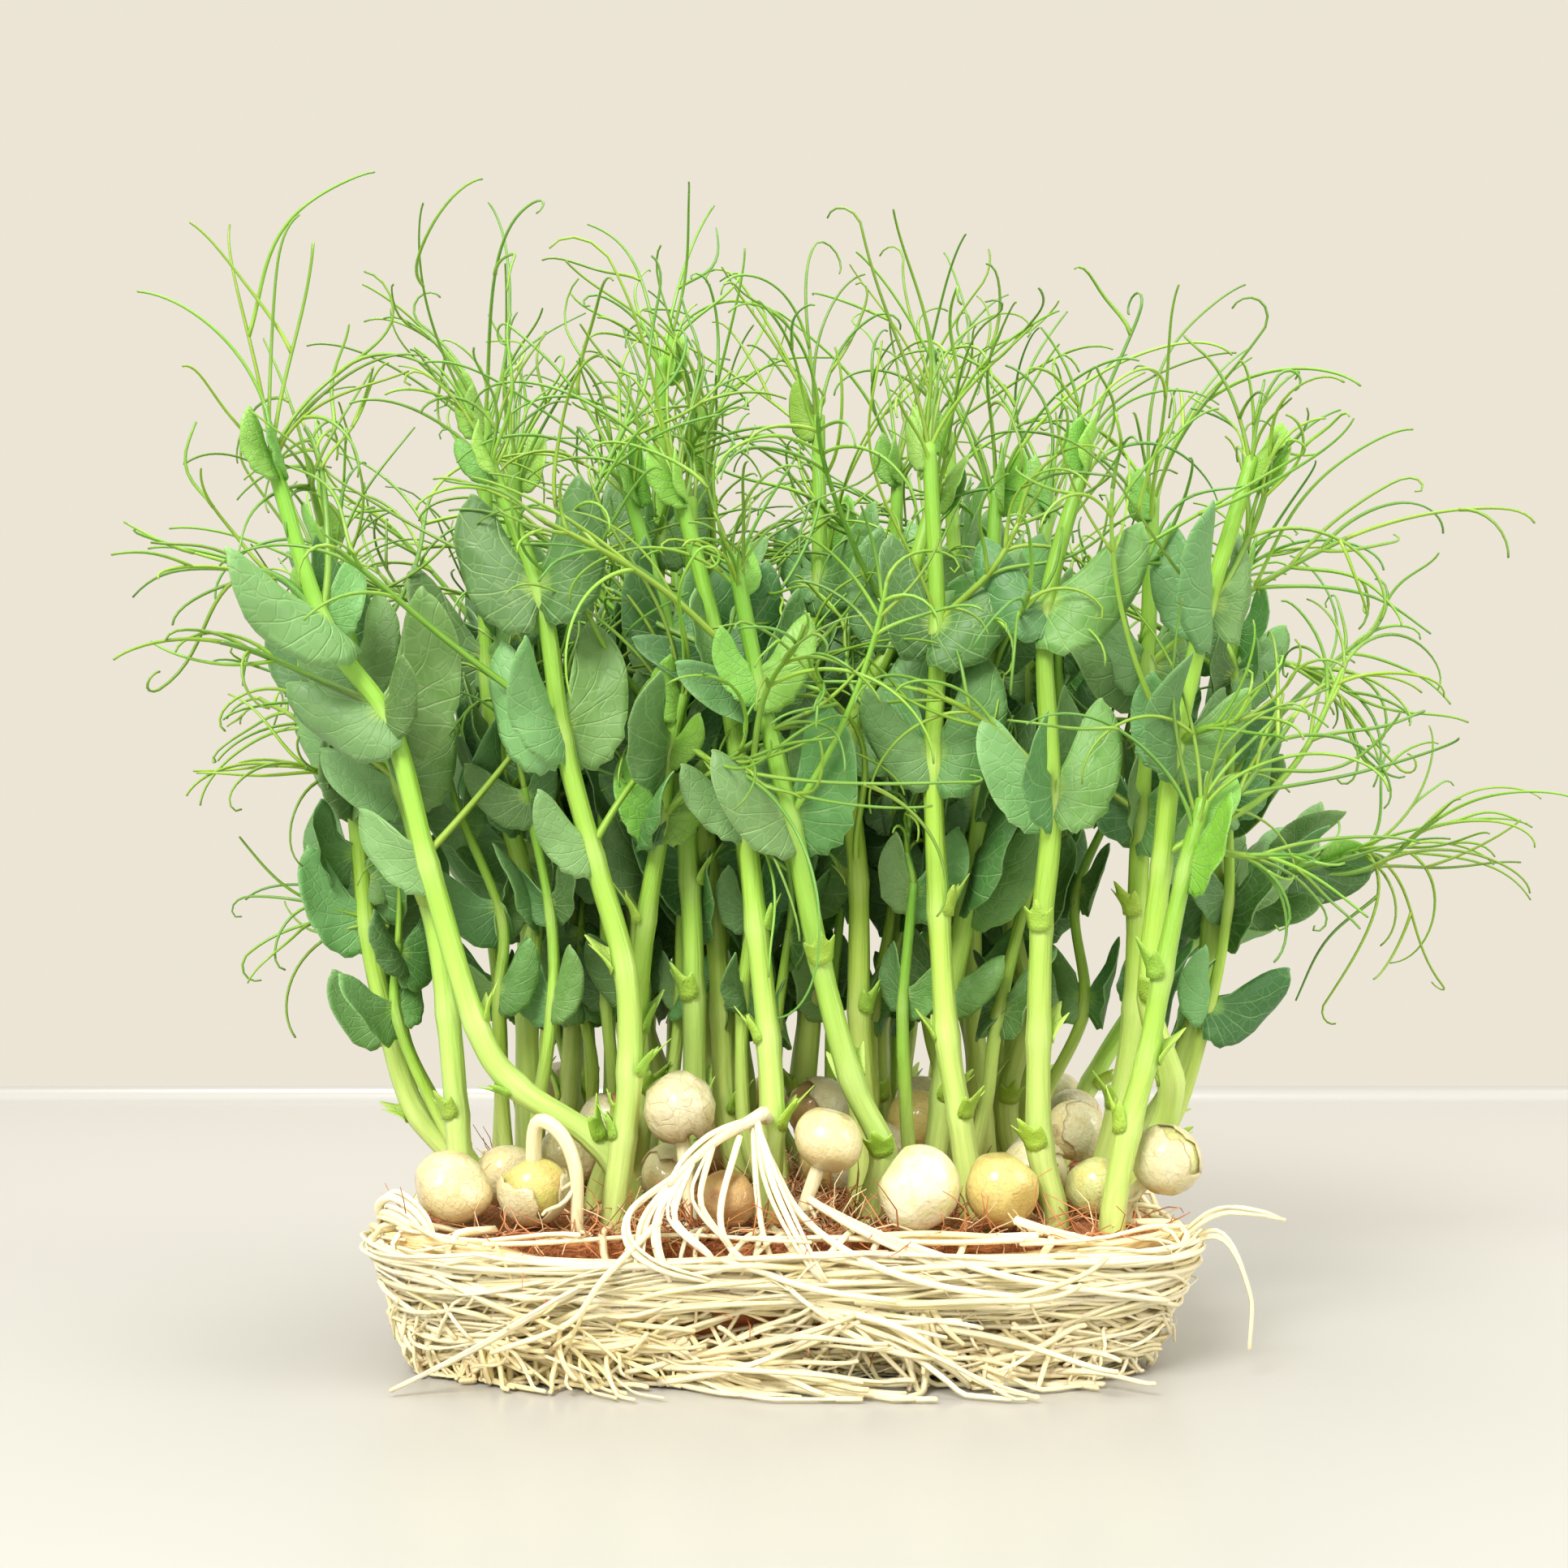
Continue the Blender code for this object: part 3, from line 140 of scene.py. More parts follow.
# Sprays of tendrils with a place of their own: shoot, point on its stem, fork, then the tips.
SHOWN_SPRAYS = (
    (0, 7, (-65, -34, 118), ((-71, -34, 144), (-60, -35, 139), (-49, -33, 132), (-48, -35, 124))),
    (0, 6, (-67, -34, 99), ((-83, -35, 105), (-82, -33, 96), (-77, -37, 83))),
    (1, 6, (-61, -29, 112), ((-68, -26, 131), (-54, -26, 127))),
    (2, 4, (-66, -10, 76), ((-80, -14, 75), (-77, -8, 86))),
    (2, 3, (-63, -6, 57), ((-74, -9, 50),)),
    (3, 7, (-38, -31, 116), ((-47, -33, 128), (-30, -33, 129))),
    (4, 5, (-9, -31, 74), ((22, -38, 71), (6, -37, 79))),
    (8, 6, (-7, -35, 102), ((-9, -38, 115), (1, -37, 112), (9, -37, 109))),
    (12, 6, (39, -30, 118), ((46, -33, 134), (33, -33, 131))),
    (13, 7, (60, -31, 117), ((53, -33, 128), (63, -33, 124), (70, -28, 116))),
    (13, 5, (57, -34, 80), ((68, -35, 84),)),
    (15, 6, (68, -4, 110), ((78, -6, 108), (66, -5, 124))),
    (15, 5, (74, -6, 90), ((86, -8, 76),)),
    (16, 4, (60, -35, 63), ((72, -36, 55),)),
    (17, 6, (-17.5, -4, 138), ((-30, -7, 144), (-28, -3, 156), (-10, -3, 159), (-7, -5, 146))),
    (18, 6, (4, 0, 132), ((-9, -4, 148), (5, 2, 154), (14, -3, 142))),
    (19, 6, (22, 2, 131), ((9, -3, 149), (17, 3, 152), (36, 0, 141))),
    (20, 5, (92, 27, 66), ((119, 29, 58), (104, 31, 44), (97, 30, 82), (84, 25, 42))),
)

# Peas at the front: x, y and radius, and the height of the centre where roots lift the pea off the coir.
SHOWN_PEAS = (
    (-41.0, -33.0, 4.9, 0), (-31.0, -32.5, 4.5, 0), (-14.5, -20.5, 4.4, 0), (-13.2, -29.5, 4.6, 31.5),
    (5.5, -33.5, 4.4, 28.0), (16.5, -35.6, 5.2, 0), (26.8, -33.8, 4.8, 0), (39.5, -25.5, 4.0, 0),
    (48.0, -29.5, 4.4, 25.0), (32.8, -19.3, 4.6, 0), (-7.0, -35.0, 3.7, 0), (-36.0, -20.5, 4.4, 0),
)
LIFTED_FEET = {3: (-11.5, -31.0), 4: (2.0, -34.0), 8: (43.2, -27.5)}
HOOKED_PEA = 1
HOOK_STEPS = ((0.6, -2.4, 8.2), (3.6, -3.6, 7.4), (5.6, -3.8, 3.0), (5.8, -3.4, -3.4), (5.8, -3.4, -8.0))
PAIRED_PEAS = 12
PEA_DRAWS = 4000
PEA_SPAN = (43.0, 36.0)
RADICLE_THICK = 0.9
print("by hand:", len(LEADERS), "shoots,", len(SHOWN_LEAVES), "leaf pairs,", len(SHOWN_PEAS), "peas")

# %% [markdown]
# A few roots stand clear of the block and catch the eye, so their lines are given one by one.

# %% The loose roots
# Each is a line of (x, y, z) and a radius. The first is an arm that ends in a fan of bent fingers, which hang
# over the front rim. The others cross the rim, stray at the right, or reach the ground.
LOOSE_ROOTS = (
    (((-3.5, -32.5, 30.5), (-8.0, -37.5, 28.5), (-12.5, -41.5, 25.0), (-13.6, -42.5, 23.8)), 0.95),
    (((-12.5, -41.5, 25.0), (-18.0, -43.6, 21.0), (-18.3, -45.2, 17.4), (-15.0, -45.8, 14.8),
      (-9.5, -45.0, 13.2), (-7.5, -42.0, 12.4)), 0.6),
    (((-12.5, -41.5, 25.0), (-16.6, -44.0, 20.0), (-17.4, -45.0, 14.5), (-19.0, -42.0, 12.0)), 0.55),
    (((-11.6, -40.7, 25.7), (-14.8, -44.2, 20.6), (-14.9, -45.4, 17.2), (-13.6, -45.2, 13.8),
      (-13.0, -42.0, 11.8)), 0.6),
    (((-11.0, -40.2, 26.2), (-12.9, -43.8, 20.8), (-11.6, -44.6, 18.2), (-8.6, -44.6, 15.8),
      (-7.6, -42.0, 13.8)), 0.6),
    (((-8.6, -38.1, 28.1), (-9.9, -42.6, 22.6), (-8.7, -43.6, 19.8), (-6.2, -43.6, 16.8),
      (-5.4, -41.6, 13.8)), 0.55),
    (((-3.5, -32.5, 30.5), (-1.5, -39.5, 24.0), (1.0, -44.0, 19.0), (4.0, -45.5, 14.0),
      (6.0, -42.0, 11.5)), 0.65),
    (((3.0, -38.5, 21.5), (8.5, -42.8, 18.8), (15.0, -44.6, 16.0), (22.0, -45.0, 13.0),
      (25.0, -42.0, 12.0)), 0.65),
    (((27.5, -41.0, 19.4), (34.0, -42.8, 17.6), (41.0, -40.8, 15.5), (46.0, -37.5, 13.0),
      (46.0, -33.0, 12.0)), 0.7),
    (((-46.0, -31.0, 14.0), (-50.0, -32.5, 19.0), (-47.5, -37.0, 21.5), (-43.0, -40.0, 19.0),
      (-41.0, -39.5, 13.5)), 0.8),
    (((-41.0, -38.0, 13.5), (-44.5, -40.0, 18.6), (-48.6, -36.5, 19.6), (-49.5, -29.0, 16.5),
      (-46.5, -27.0, 13.0)), 0.7),
    (((-18.0, -42.0, 15.0), (-27.0, -45.4, 10.6), (-36.0, -45.4, 5.4), (-45.5, -46.0, 0.8)), 0.6),
    (((46.0, -32.0, 13.0), (52.0, -36.0, 19.0), (57.0, -37.0, 19.5), (61.0, -36.0, 18.6)), 0.5),
    (((46.0, -30.0, 12.0), (53.0, -35.0, 16.5), (56.5, -36.0, 10.0), (56.0, -37.5, 3.5)), 0.5),
    (((18.0, -39.0, 4.0), (22.0, -42.5, 1.6), (25.5, -46.0, 0.8), (29.0, -49.0, 0.8)), 0.6),
)
print("loose roots:", len(LOOSE_ROOTS))

# %% [markdown]
# A crowd of balls is the simplest way to ask "is there room here?". Each placed piece leaves balls along
# itself, and the next piece measures its distance to all of them at once with numpy.

# %% Keeping clear
PETIOLE_THICK = 0.62
TENDRIL_THICK = 0.5
STRAND_STEPS = 3
PEA_OWNER = 100
ROOT_OWNER = 900
BLADE_BALL = 1.25
REACH = 9.0
OWN_SKIP = 5.0
TRIES = 40


def draws(words):
    """A stream of random numbers of its own for each thing that is named, the same in every run."""
    return random.Random(f"{SEED} {words}")


def any_turn(rng):
    return rng.uniform(0.0, math.tau)


def scattered(rng, *spans):
    """A vector whose coordinates are each drawn from their own span."""
    return np.array([rng.uniform(*span) for span in spans])


def level(azimuth):
    """The level direction at an angle, anticlockwise from x."""
    return np.array([math.cos(azimuth), math.sin(azimuth), 0.0])


def unit(vector):
    """The vector at length one."""
    return vector / max(np.linalg.norm(vector), 1e-9)


def bezier(start, lead, trail, tip, steps):
    """Points along one cubic Bezier, ends included."""
    t = np.linspace(0.0, 1.0, steps + 1)[:, None]
    return (1 - t) ** 3 * start + 3 * t * (1 - t) ** 2 * lead + 3 * t ** 2 * (1 - t) * trail + t ** 3 * tip


def along(points, spacing):
    """Points about one spacing apart along a line of straight runs."""
    out = [points[:1]]
    for a, b in zip(points[:-1], points[1:]):
        count = max(1, int(math.ceil(np.linalg.norm(b - a) / spacing)))
        t = np.linspace(0.0, 1.0, count + 1)[1:, None]
        out.append(a + (b - a) * t)
    return np.vstack(out)


def least_gap(points, radius, centres, radii):
    """The smallest gap between two sets of balls."""
    if len(points) == 0 or len(centres) == 0:
        return 99.0
    reach = np.linalg.norm(points[:, None, :] - centres[None, :, :], axis=2)
    return float((reach - radii[None, :] - radius).min())


class Crowd:
    """Balls along everything that is already placed, so that the next piece can keep clear of it."""

    def __init__(self):
        self.centres = np.zeros((0, 3))
        self.radii = np.zeros(0)
        self.owners = np.zeros(0, dtype=int)
        self.stems = np.zeros(0, dtype=bool)

    def add(self, points, radius, owner, stem=False):
        self.centres = np.vstack([self.centres, points])
        self.radii = np.concatenate([self.radii, np.full(len(points), radius)])
        self.owners = np.concatenate([self.owners, np.full(len(points), owner)])
        self.stems = np.concatenate([self.stems, np.full(len(points), stem)])

    def room(self, points, radius, owner, root=None, clasps=False):
        """The space left round these balls. Below zero they touch a plant, their own only past the root."""
        low, high = points.min(axis=0) - REACH, points.max(axis=0) + REACH
        near = np.all((self.centres > low) & (self.centres < high), axis=1)
        others = near & (self.owners != owner)
        best = least_gap(points, radius, self.centres[others], self.radii[others])
        if root is not None:
            mine = near & (self.owners == owner) & (np.linalg.norm(self.centres - root, axis=1) > OWN_SKIP)
            if clasps:
                mine &= ~self.stems
            free = points[np.linalg.norm(points - root, axis=1) > OWN_SKIP]
            best = min(best, least_gap(free, radius, self.centres[mine], self.radii[mine]))
        return best


print("room in an empty bed:", Crowd().room(np.zeros((1, 3)), STEM_FOOT, 0))

# %% [markdown]
# A plant is a line of points, with a pair of half-heart leaves at each node. Each leaf is tried again and
# again, a little looser each time, and the first one with room round it is kept.

# %% A shoot, its stem and its leaves
# Outline of one clasping leaf in leaf lengths: (out from the stem, up along it), lower lobe first.
HALF_HEART = (
    (-0.04, 0.0), (0.10, -0.27), (0.16, -0.19), (0.26, -0.28), (0.30, -0.17), (0.39, -0.15), (0.44, 0.12),
    (0.38, 0.42), (0.17, 0.68), (0.07, 0.26),
)
PLAIN_HALF_HEART = (
    (-0.04, 0.0), (0.13, -0.27), (0.21, -0.18), (0.38, -0.19), (0.44, 0.22), (0.19, 0.67), (0.07, 0.26),
)
BLADE_MIDDLE = (0.20, 0.15)

# Leaf pairs that are still young and bright, by shoot and point, with an age between 0 and 1.
GROWN = 0.72
YOUNG_NODES = {(4, 4): 0.15, (4, 5): 0.1, (8, 5): 0.2, (16, 4): 0.0, (3, 6): 0.3, (2, 3): 0.6, (10, 5): 0.5}


class Shoot:
    """One plant: the points up its stem, and what it takes to draw its leaves and tendrils."""

    def __init__(self, index, path):
        self.index = index
        self.path = path
        self.leaves = []
        self.strands = []
        self.forks = []
        self.stalks = []
        self.leafy = set()
        self.stout = 1.0
        self.side_stems = []

    def up(self, point):
        """The way the stem runs at one of its points."""
        return unit(self.path[min(point + 1, len(self.path) - 1)] - self.path[max(point - 1, 0)])

    def joint(self, point, above=1.2):
        """Where a leaf or stalk leaves the stem: just above a node's bend, or just inside the growing tip."""
        last = point == len(self.path) - 1
        return self.path[point] + self.up(point) * (-1.0 if last else above)


def leader_path(row):
    """The points of a shoot from the table, from the foot of its hole to its tip."""
    y_foot, y_tip, profile = row
    last = len(profile) - 1
    points = [(profile[0][0], y_foot, COIR_TOP - HOLE_DEPTH + GAP)]
    for i, (x, z) in enumerate(profile):
        points.append((x, y_foot + (y_tip - y_foot) * i / last, z))
    return np.array(points, dtype=float)


def filler_path(rng, x, y):
    """A stem that leans out from the middle of the bed and bends a little at each of its nodes."""
    height = rng.uniform(106.0, 126.0)
    spread = rng.uniform(0.10, 0.30)
    points = [(x, y, COIR_TOP - HOLE_DEPTH + GAP)]
    for i, z in enumerate(STEM_LEVELS + (height,)):
        lean = spread * ((z - STEM_LEVELS[0]) / 100.0) ** 1.3
        sway = 0.0 if i == 0 else 2.2
        points.append((x + lean * x + rng.uniform(-sway, sway), y + lean * y + rng.uniform(-sway, sway), z))
    return np.array(points, dtype=float)


def blade_frame(up, azimuth, side, flare, turn):
    """Axes of a leaf at a node: out from the stem, up along the leaf, and off its face."""
    away = level(azimuth)
    away = unit(away - up * away.dot(up))
    across = np.cross(up, away) * side
    out = across * math.cos(turn) + away * math.sin(turn)
    rise = up * math.cos(flare) + out * math.sin(flare)
    out = unit(out - rise * out.dot(rise))
    return out, rise, np.cross(out, rise)


def blade_points(root, frame_axes, length, cup, bend, outline_points):
    """The coarse outline of a leaf, and its middle as the last point."""
    out, rise, face = frame_axes
    points = []
    for u, v in outline_points + (BLADE_MIDDLE,):
        lift = cup * 1.4 * u * (0.5 - u) - bend * 0.35 * v * abs(v)
        points.append(root + length * (u * out + v * rise + lift * face))
    return np.array(points)


def blade_sample(points):
    """Points spread over a leaf, for keeping clear."""
    rim, middle = points[:-1], points[-1]
    following = np.roll(rim, -1, axis=0)
    out = [points]
    for a, b in ((0.5, 0.5), (0.75, 0.0), (0.5, 0.0), (0.25, 0.0), (0.4, 0.4)):
        out.append(rim * a + following * b + middle * (1 - a - b))
    return np.vstack(out)


def place_blade(crowd, shoot, point, azimuth, side, length, outline_points, tag):
    """Grow one leaf at a node, turned and flared until it hangs free of its neighbours."""
    rng = draws(f"leaf {shoot.index} {point} {side} {tag}")
    root = shoot.joint(point, 1.8)
    best = None
    for attempt in range(TRIES):
        loose = attempt / TRIES
        turn = rng.uniform(-0.35, 0.35) + rng.uniform(-1.0, 1.0) * loose
        flare = rng.uniform(0.15, 0.65) + rng.uniform(-0.2, 0.6) * loose
        swing = azimuth + rng.uniform(-0.7, 0.7) * loose
        size = length * (1.0 - 0.35 * loose)
        axes = blade_frame(shoot.up(point), swing, side, flare, turn)
        cup = rng.choice((-1, 1)) * rng.uniform(0.5, 1.1)
        bend = rng.uniform(-0.8, 1.0)
        sample = blade_sample(blade_points(root, axes, size, cup, bend, outline_points))
        room = crowd.room(sample, BLADE_BALL, shoot.index, root, clasps=True)
        if best is None or room > best[0]:
            age_and_shade = YOUNG_NODES.get((shoot.index, point - 1), GROWN)
            best = (room, (root, axes, size, cup, bend, age_and_shade, True), sample)
        if room > GAP:
            break
    if best[0] > GAP - 0.25:
        shoot.leaves.append(best[1])
        shoot.leafy.add(point)
        crowd.add(best[2], BLADE_BALL, shoot.index)


print("points up the first stem:", len(leader_path(LEADERS[0])))

# %% [markdown]
# The true leaves of this pea are bare stalks that fork into tendrils. A Bezier curve is enough for one: it
# leaves the stalk in the stalk's own direction and then bends away.

# %% Tendrils
def place_strand(crowd, shoot, start, tip, lead, thick, steps, wander, tag):
    """Grow one tendril from a point to a tip, bent until it hangs free. Gives back its points, or None."""
    rng = draws(f"strand {shoot.index} {tag}")
    span = np.linalg.norm(tip - start)
    best = None
    for attempt in range(TRIES):
        loose = attempt / TRIES
        drift = scattered(rng, (-1, 1), (-1, 1), (-1, 1))
        sideways = scattered(rng, (-1, 1), (-1, 1), (-0.6, 1))
        end = tip + drift * span * (wander + 0.45 * loose)
        near = start + unit(lead + sideways * 0.25 * loose) * span * rng.uniform(0.35, 0.5)
        far = end - unit(end - start) * span * 0.3 + sideways * span * (0.18 + 0.2 * loose)
        points = bezier(start, near, far, end, steps)
        sample = along(points, 1.0)
        room = crowd.room(sample, thick, shoot.index, start)
        if best is None or room > best[0]:
            best = (room, points, sample, (start, near, far, end))
        if room > GAP:
            break
    if best[0] < GAP - 0.1:
        return None
    shoot.strands.append((best[3], thick))
    crowd.add(best[2], thick, shoot.index)
    return best[1]


def place_spray(crowd, shoot, point, fork, tips, tag):
    """A leaf stalk that forks into tendrils."""
    start = shoot.joint(point)
    stalk = start
    lead = unit(fork - start)
    if np.linalg.norm(fork - start) > 6.0:
        lead = unit(lead + shoot.up(point) * 0.8)
        stalk_points = place_strand(crowd, shoot, start, fork, lead, PETIOLE_THICK, 3, 0.0, f"{tag} stalk")
        if stalk_points is None:
            return
        lead = unit(stalk_points[-1] - stalk_points[-2])
        stalk = stalk_points[-1] - lead * 0.6
    shoot.forks.append((stalk, lead, tips))
    for i, tip in enumerate(tips):
        tip = np.array(tip, dtype=float)
        way = unit(lead + unit(tip - stalk) * 0.9)
        place_strand(crowd, shoot, stalk, tip, way, TENDRIL_THICK, STRAND_STEPS, 0.03, f"{tag} {i}")


def spray_rule(rng, shoot, point, azimuth, count):
    """Tips for the tendrils that no table gives: a fan off a growing tip, or one long arm off a node."""
    up = shoot.up(point)
    away = level(azimuth)
    start = shoot.joint(point)
    if count == 1:
        return start, [start + unit(up * rng.uniform(0.5, 1.2) + away) * rng.uniform(26.0, 38.0)]
    tips = []
    for i in range(count):
        bearing = azimuth + math.tau * (i + rng.uniform(-0.3, 0.3)) / count
        side = level(bearing)
        tips.append(start + unit(up + side * rng.uniform(0.4, 1.1)) * rng.uniform(19.0, 32.0))
    return start + up * 3.0, tips


print("steps of one tendril:", STRAND_STEPS)

# %% [markdown]
# Stems come before leaves, since they are less free: each one starts in its own hole in the mat.

# %% Lay out the stems
def lay_out_stems(crowd):
    """Every stem, leaders first, then the fillers bent until they pass between the others."""
    shoots = []
    for i, row in enumerate(LEADERS):
        shoots.append(Shoot(i, leader_path(row)))
    for shoot in shoots:
        crowd.add(along(shoot.path, 1.0), STEM_FOOT, shoot.index, stem=True)
    for k, (x, y) in enumerate(FILL_SPOTS):
        index = len(LEADERS) + k
        rng = draws(f"filler {index}")
        best = None
        for _ in range(TRIES):
            path = filler_path(rng, x + rng.uniform(-2.5, 2.5), y + rng.uniform(-2.5, 2.5))
            sample = along(path, 1.0)
            room = crowd.room(sample, STEM_FOOT, index)
            if best is None or room > best[0]:
                best = (room, path, sample)
            if room > 1.0:
                break
        shoots.append(Shoot(index, best[1]))
        crowd.add(best[2], STEM_FOOT, index, stem=True)
    return shoots


print("stems by hand and by rule:", len(LEADERS), len(FILL_SPOTS))

# %% [markdown]
# Leaves take the room that the stems leave, those from the table first. Tendrils reach through what is left.

# %% Lay out the leaves and tendrils
def lay_out_leaves(crowd, shoots):
    """Leaf pairs at the upper nodes of every stem."""
    shown = {}
    for index, node, azimuth, left, right in SHOWN_LEAVES:
        shown[(index, node)] = (math.radians(azimuth), left, right)
    for index, node in shown:
        azimuth, left, right = shown[(index, node)]
        for side, length in ((-1, left), (1, right)):
            if length:
                place_blade(crowd, shoots[index], node + 1, azimuth, side, length, HALF_HEART, "shown")
    for shoot in shoots:
        rng = draws(f"leaves {shoot.index}")
        azimuth = any_turn(rng)
        for point in range(5, len(shoot.path) - 1):
            azimuth += math.pi + rng.uniform(-0.6, 0.6)
            if (shoot.index, point - 1) in shown:
                continue
            for side in (-1, 1):
                length = rng.uniform(12.0, 17.0)
                if point > 5 or side > 0:
                    place_blade(crowd, shoot, point, azimuth, side, length, PLAIN_HALF_HEART, "rule")


def lay_out_tendrils(crowd, shoots):
    """The sprays from the table, then one at each growing tip and at the highest leaf pair."""
    shown = set()
    for index, node, fork, tips in SHOWN_SPRAYS:
        shown.add((index, node + 1))
        place_spray(crowd, shoots[index], node + 1, np.array(fork, dtype=float), tips, f"shown {node}")
    for shoot in shoots:
        rng = draws(f"sprays {shoot.index}")
        tip = len(shoot.path) - 1
        azimuth = any_turn(rng)
        for point, count in ((tip, 3), (tip - 1, 1)):
            azimuth += math.pi + rng.uniform(-0.8, 0.8)
            fork, tips = spray_rule(rng, shoot, point, azimuth, count)
            if (shoot.index, point) not in shown:
                place_spray(crowd, shoot, point, fork, tips, f"rule {point}")


print("sprays by hand:", len(SHOWN_SPRAYS))

# %% [markdown]
# The swollen peas lie on the mat, and a few have been lifted by their roots. Those behind are pressed
# together in pairs.

# %% Lay out the peas
class Pea:
    """One or two peas pressed together: (centre, radius) pairs, and the pale root that some stand on."""

    def __init__(self):
        self.balls = []
        self.foot = None


def lay_out_shown_peas(crowd):
    """The front peas. One that the roots have lifted gets a short root down into the coir."""
    peas = []
    bed = COIR_TOP + GAP
    for k, (x, y, radius, lifted) in enumerate(SHOWN_PEAS):
        pea = Pea()
        centre = np.array([x, y, lifted or bed + radius])
        pea.balls.append((centre, radius))
        if lifted:
            foot_x, foot_y = LIFTED_FEET[k]
            pea.foot = [centre, (foot_x * 0.8 + x * 0.2, foot_y * 0.8 + y * 0.2, COIR_TOP + 3.5)]
            pea.foot += [(foot_x, foot_y, COIR_TOP + 1.0), (foot_x, foot_y, COIR_TOP - HOLE_DEPTH + GAP)]
            pea.foot = np.array(pea.foot)
        elif k == HOOKED_PEA:
            pea.foot = np.array([centre] + [centre + np.array(step) for step in HOOK_STEPS])
            pea.foot[-1][2] = COIR_TOP - HOLE_DEPTH + GAP
        peas.append(pea)
        crowd.add(centre[None, :], radius, PEA_OWNER + k)
        if pea.foot is not None:
            crowd.add(along(pea.foot, 0.8), RADICLE_THICK, PEA_OWNER + k)
    return peas


def lay_out_paired_peas(crowd, peas):
    """Peas over the rest of the bed, each with a second one pressed on top of it at a slant."""
    rng = draws("peas")
    bed = COIR_TOP + GAP
    made = 0
    for _ in range(PEA_DRAWS):
        if made == PAIRED_PEAS:
            break
        radius = rng.uniform(4.0, 4.8)
        x, y = rng.uniform(-41.0, 41.0), rng.uniform(-26.0, 34.0)
        low = np.array([x, y, bed + radius])
        heading, climb = any_turn(rng), rng.uniform(0.2, 0.9)
        second = rng.uniform(3.9, 4.6)
        way = level(heading) * math.cos(climb)
        way[2] = math.sin(climb)
        high = low + way * (radius + second) * 0.9
        high[2] = max(high[2], bed + second)
        owner = PEA_OWNER + len(peas)
        inside = abs(high[0]) < PEA_SPAN[0] and abs(high[1]) < PEA_SPAN[1]
        room = min(crowd.room(low[None, :], radius, owner), crowd.room(high[None, :], second, owner))
        if not inside or room < GAP:
            continue
        pea = Pea()
        pea.balls = [(low, radius), (high, second)]
        peas.append(pea)
        crowd.add(low[None, :], radius, owner)
        crowd.add(high[None, :], second, owner)
        made += 1


print("pairs of peas behind:", PAIRED_PEAS)

# %% [markdown]
# Now the layout is made once, in the order of the solids.

# %% Lay out the whole bed
crowd = Crowd()
peas = lay_out_shown_peas(crowd)
shoots = lay_out_stems(crowd)
lay_out_paired_peas(crowd, peas)
for root_points, root_thick in LOOSE_ROOTS:
    crowd.add(along(np.array(root_points, dtype=float), 1.0), root_thick, ROOT_OWNER)
lay_out_leaves(crowd, shoots)
lay_out_tendrils(crowd, shoots)
print("shoots", len(shoots), "peas", len(peas), "leaves", sum(len(s.leaves) for s in shoots),
      "tendrils", sum(len(s.strands) for s in shoots))

# %% [markdown]
# The solids hold the leaves and tendrils that give the bed its form. The real bed is denser: nearly every
# node has its pair of leaves and its own leaf stalk with tendrils. These are added now, once all that the
# solids have is in place, so that they only take the room that is left.

# %% Fill the bed with more leaves and sprays
MORE_BALL = 0.35
MORE_TRIES = 14
ROOM_ENOUGH, MOST_OVERLAP = 0.1, 0.25


def add_leaf(crowd, shoot, point, azimuth, side, length, rng, along_by=0.0):
    """One more leaf, kept only where it hangs free. along_by moves its root up the stem."""
    root = shoot.joint(point, 1.8) + shoot.up(point) * along_by
    best = None
    for attempt in range(MORE_TRIES):
        loose = attempt / MORE_TRIES
        axes = blade_frame(shoot.up(point), azimuth + rng.uniform(-0.9, 0.9) * loose, side,
                           rng.uniform(0.1, 0.7) + rng.uniform(-0.3, 0.7) * loose,
                           rng.uniform(-0.35, 0.35) + rng.uniform(-1.0, 1.0) * loose)
        size = length * (1.0 - 0.3 * loose)
        cup, bend = rng.choice((-1, 1)) * rng.uniform(0.5, 2.2), rng.uniform(-1.0, 1.7)
        sample = blade_sample(blade_points(root, axes, size, cup, bend, PLAIN_HALF_HEART))
        if np.any(sample < BOX_LOW + 1.0) or np.any(sample > BOX_HIGH - 1.0):
            continue
        room = crowd.room(sample, MORE_BALL, shoot.index, root, clasps=True)
        if best is None or room > best[0]:
            # Filling leaves get an age of 0.7 to 1: past GROWN their finish paints them darker, as shade in
            # the bed.
            best = (room, (root, axes, size, cup, bend, rng.uniform(0.7, 1.0), False), sample)
        if room > ROOM_ENOUGH:
            break
    if best is None or best[0] < -MOST_OVERLAP:
        return 0
    shoot.leaves.append(best[1])
    shoot.leafy.add(point)
    crowd.add(best[2], MORE_BALL, shoot.index)
    return 1


# Stems of the front rows stay bare up to a height. Behind them the leaves are thickest between two heights.
FRONT_ROWS_Y = -12.0
BARE_BELOW = 66.0
BUSHY = (50.0, 100.0)
STALKS_FROM = 58.0
BACKWARDS = math.pi / 2


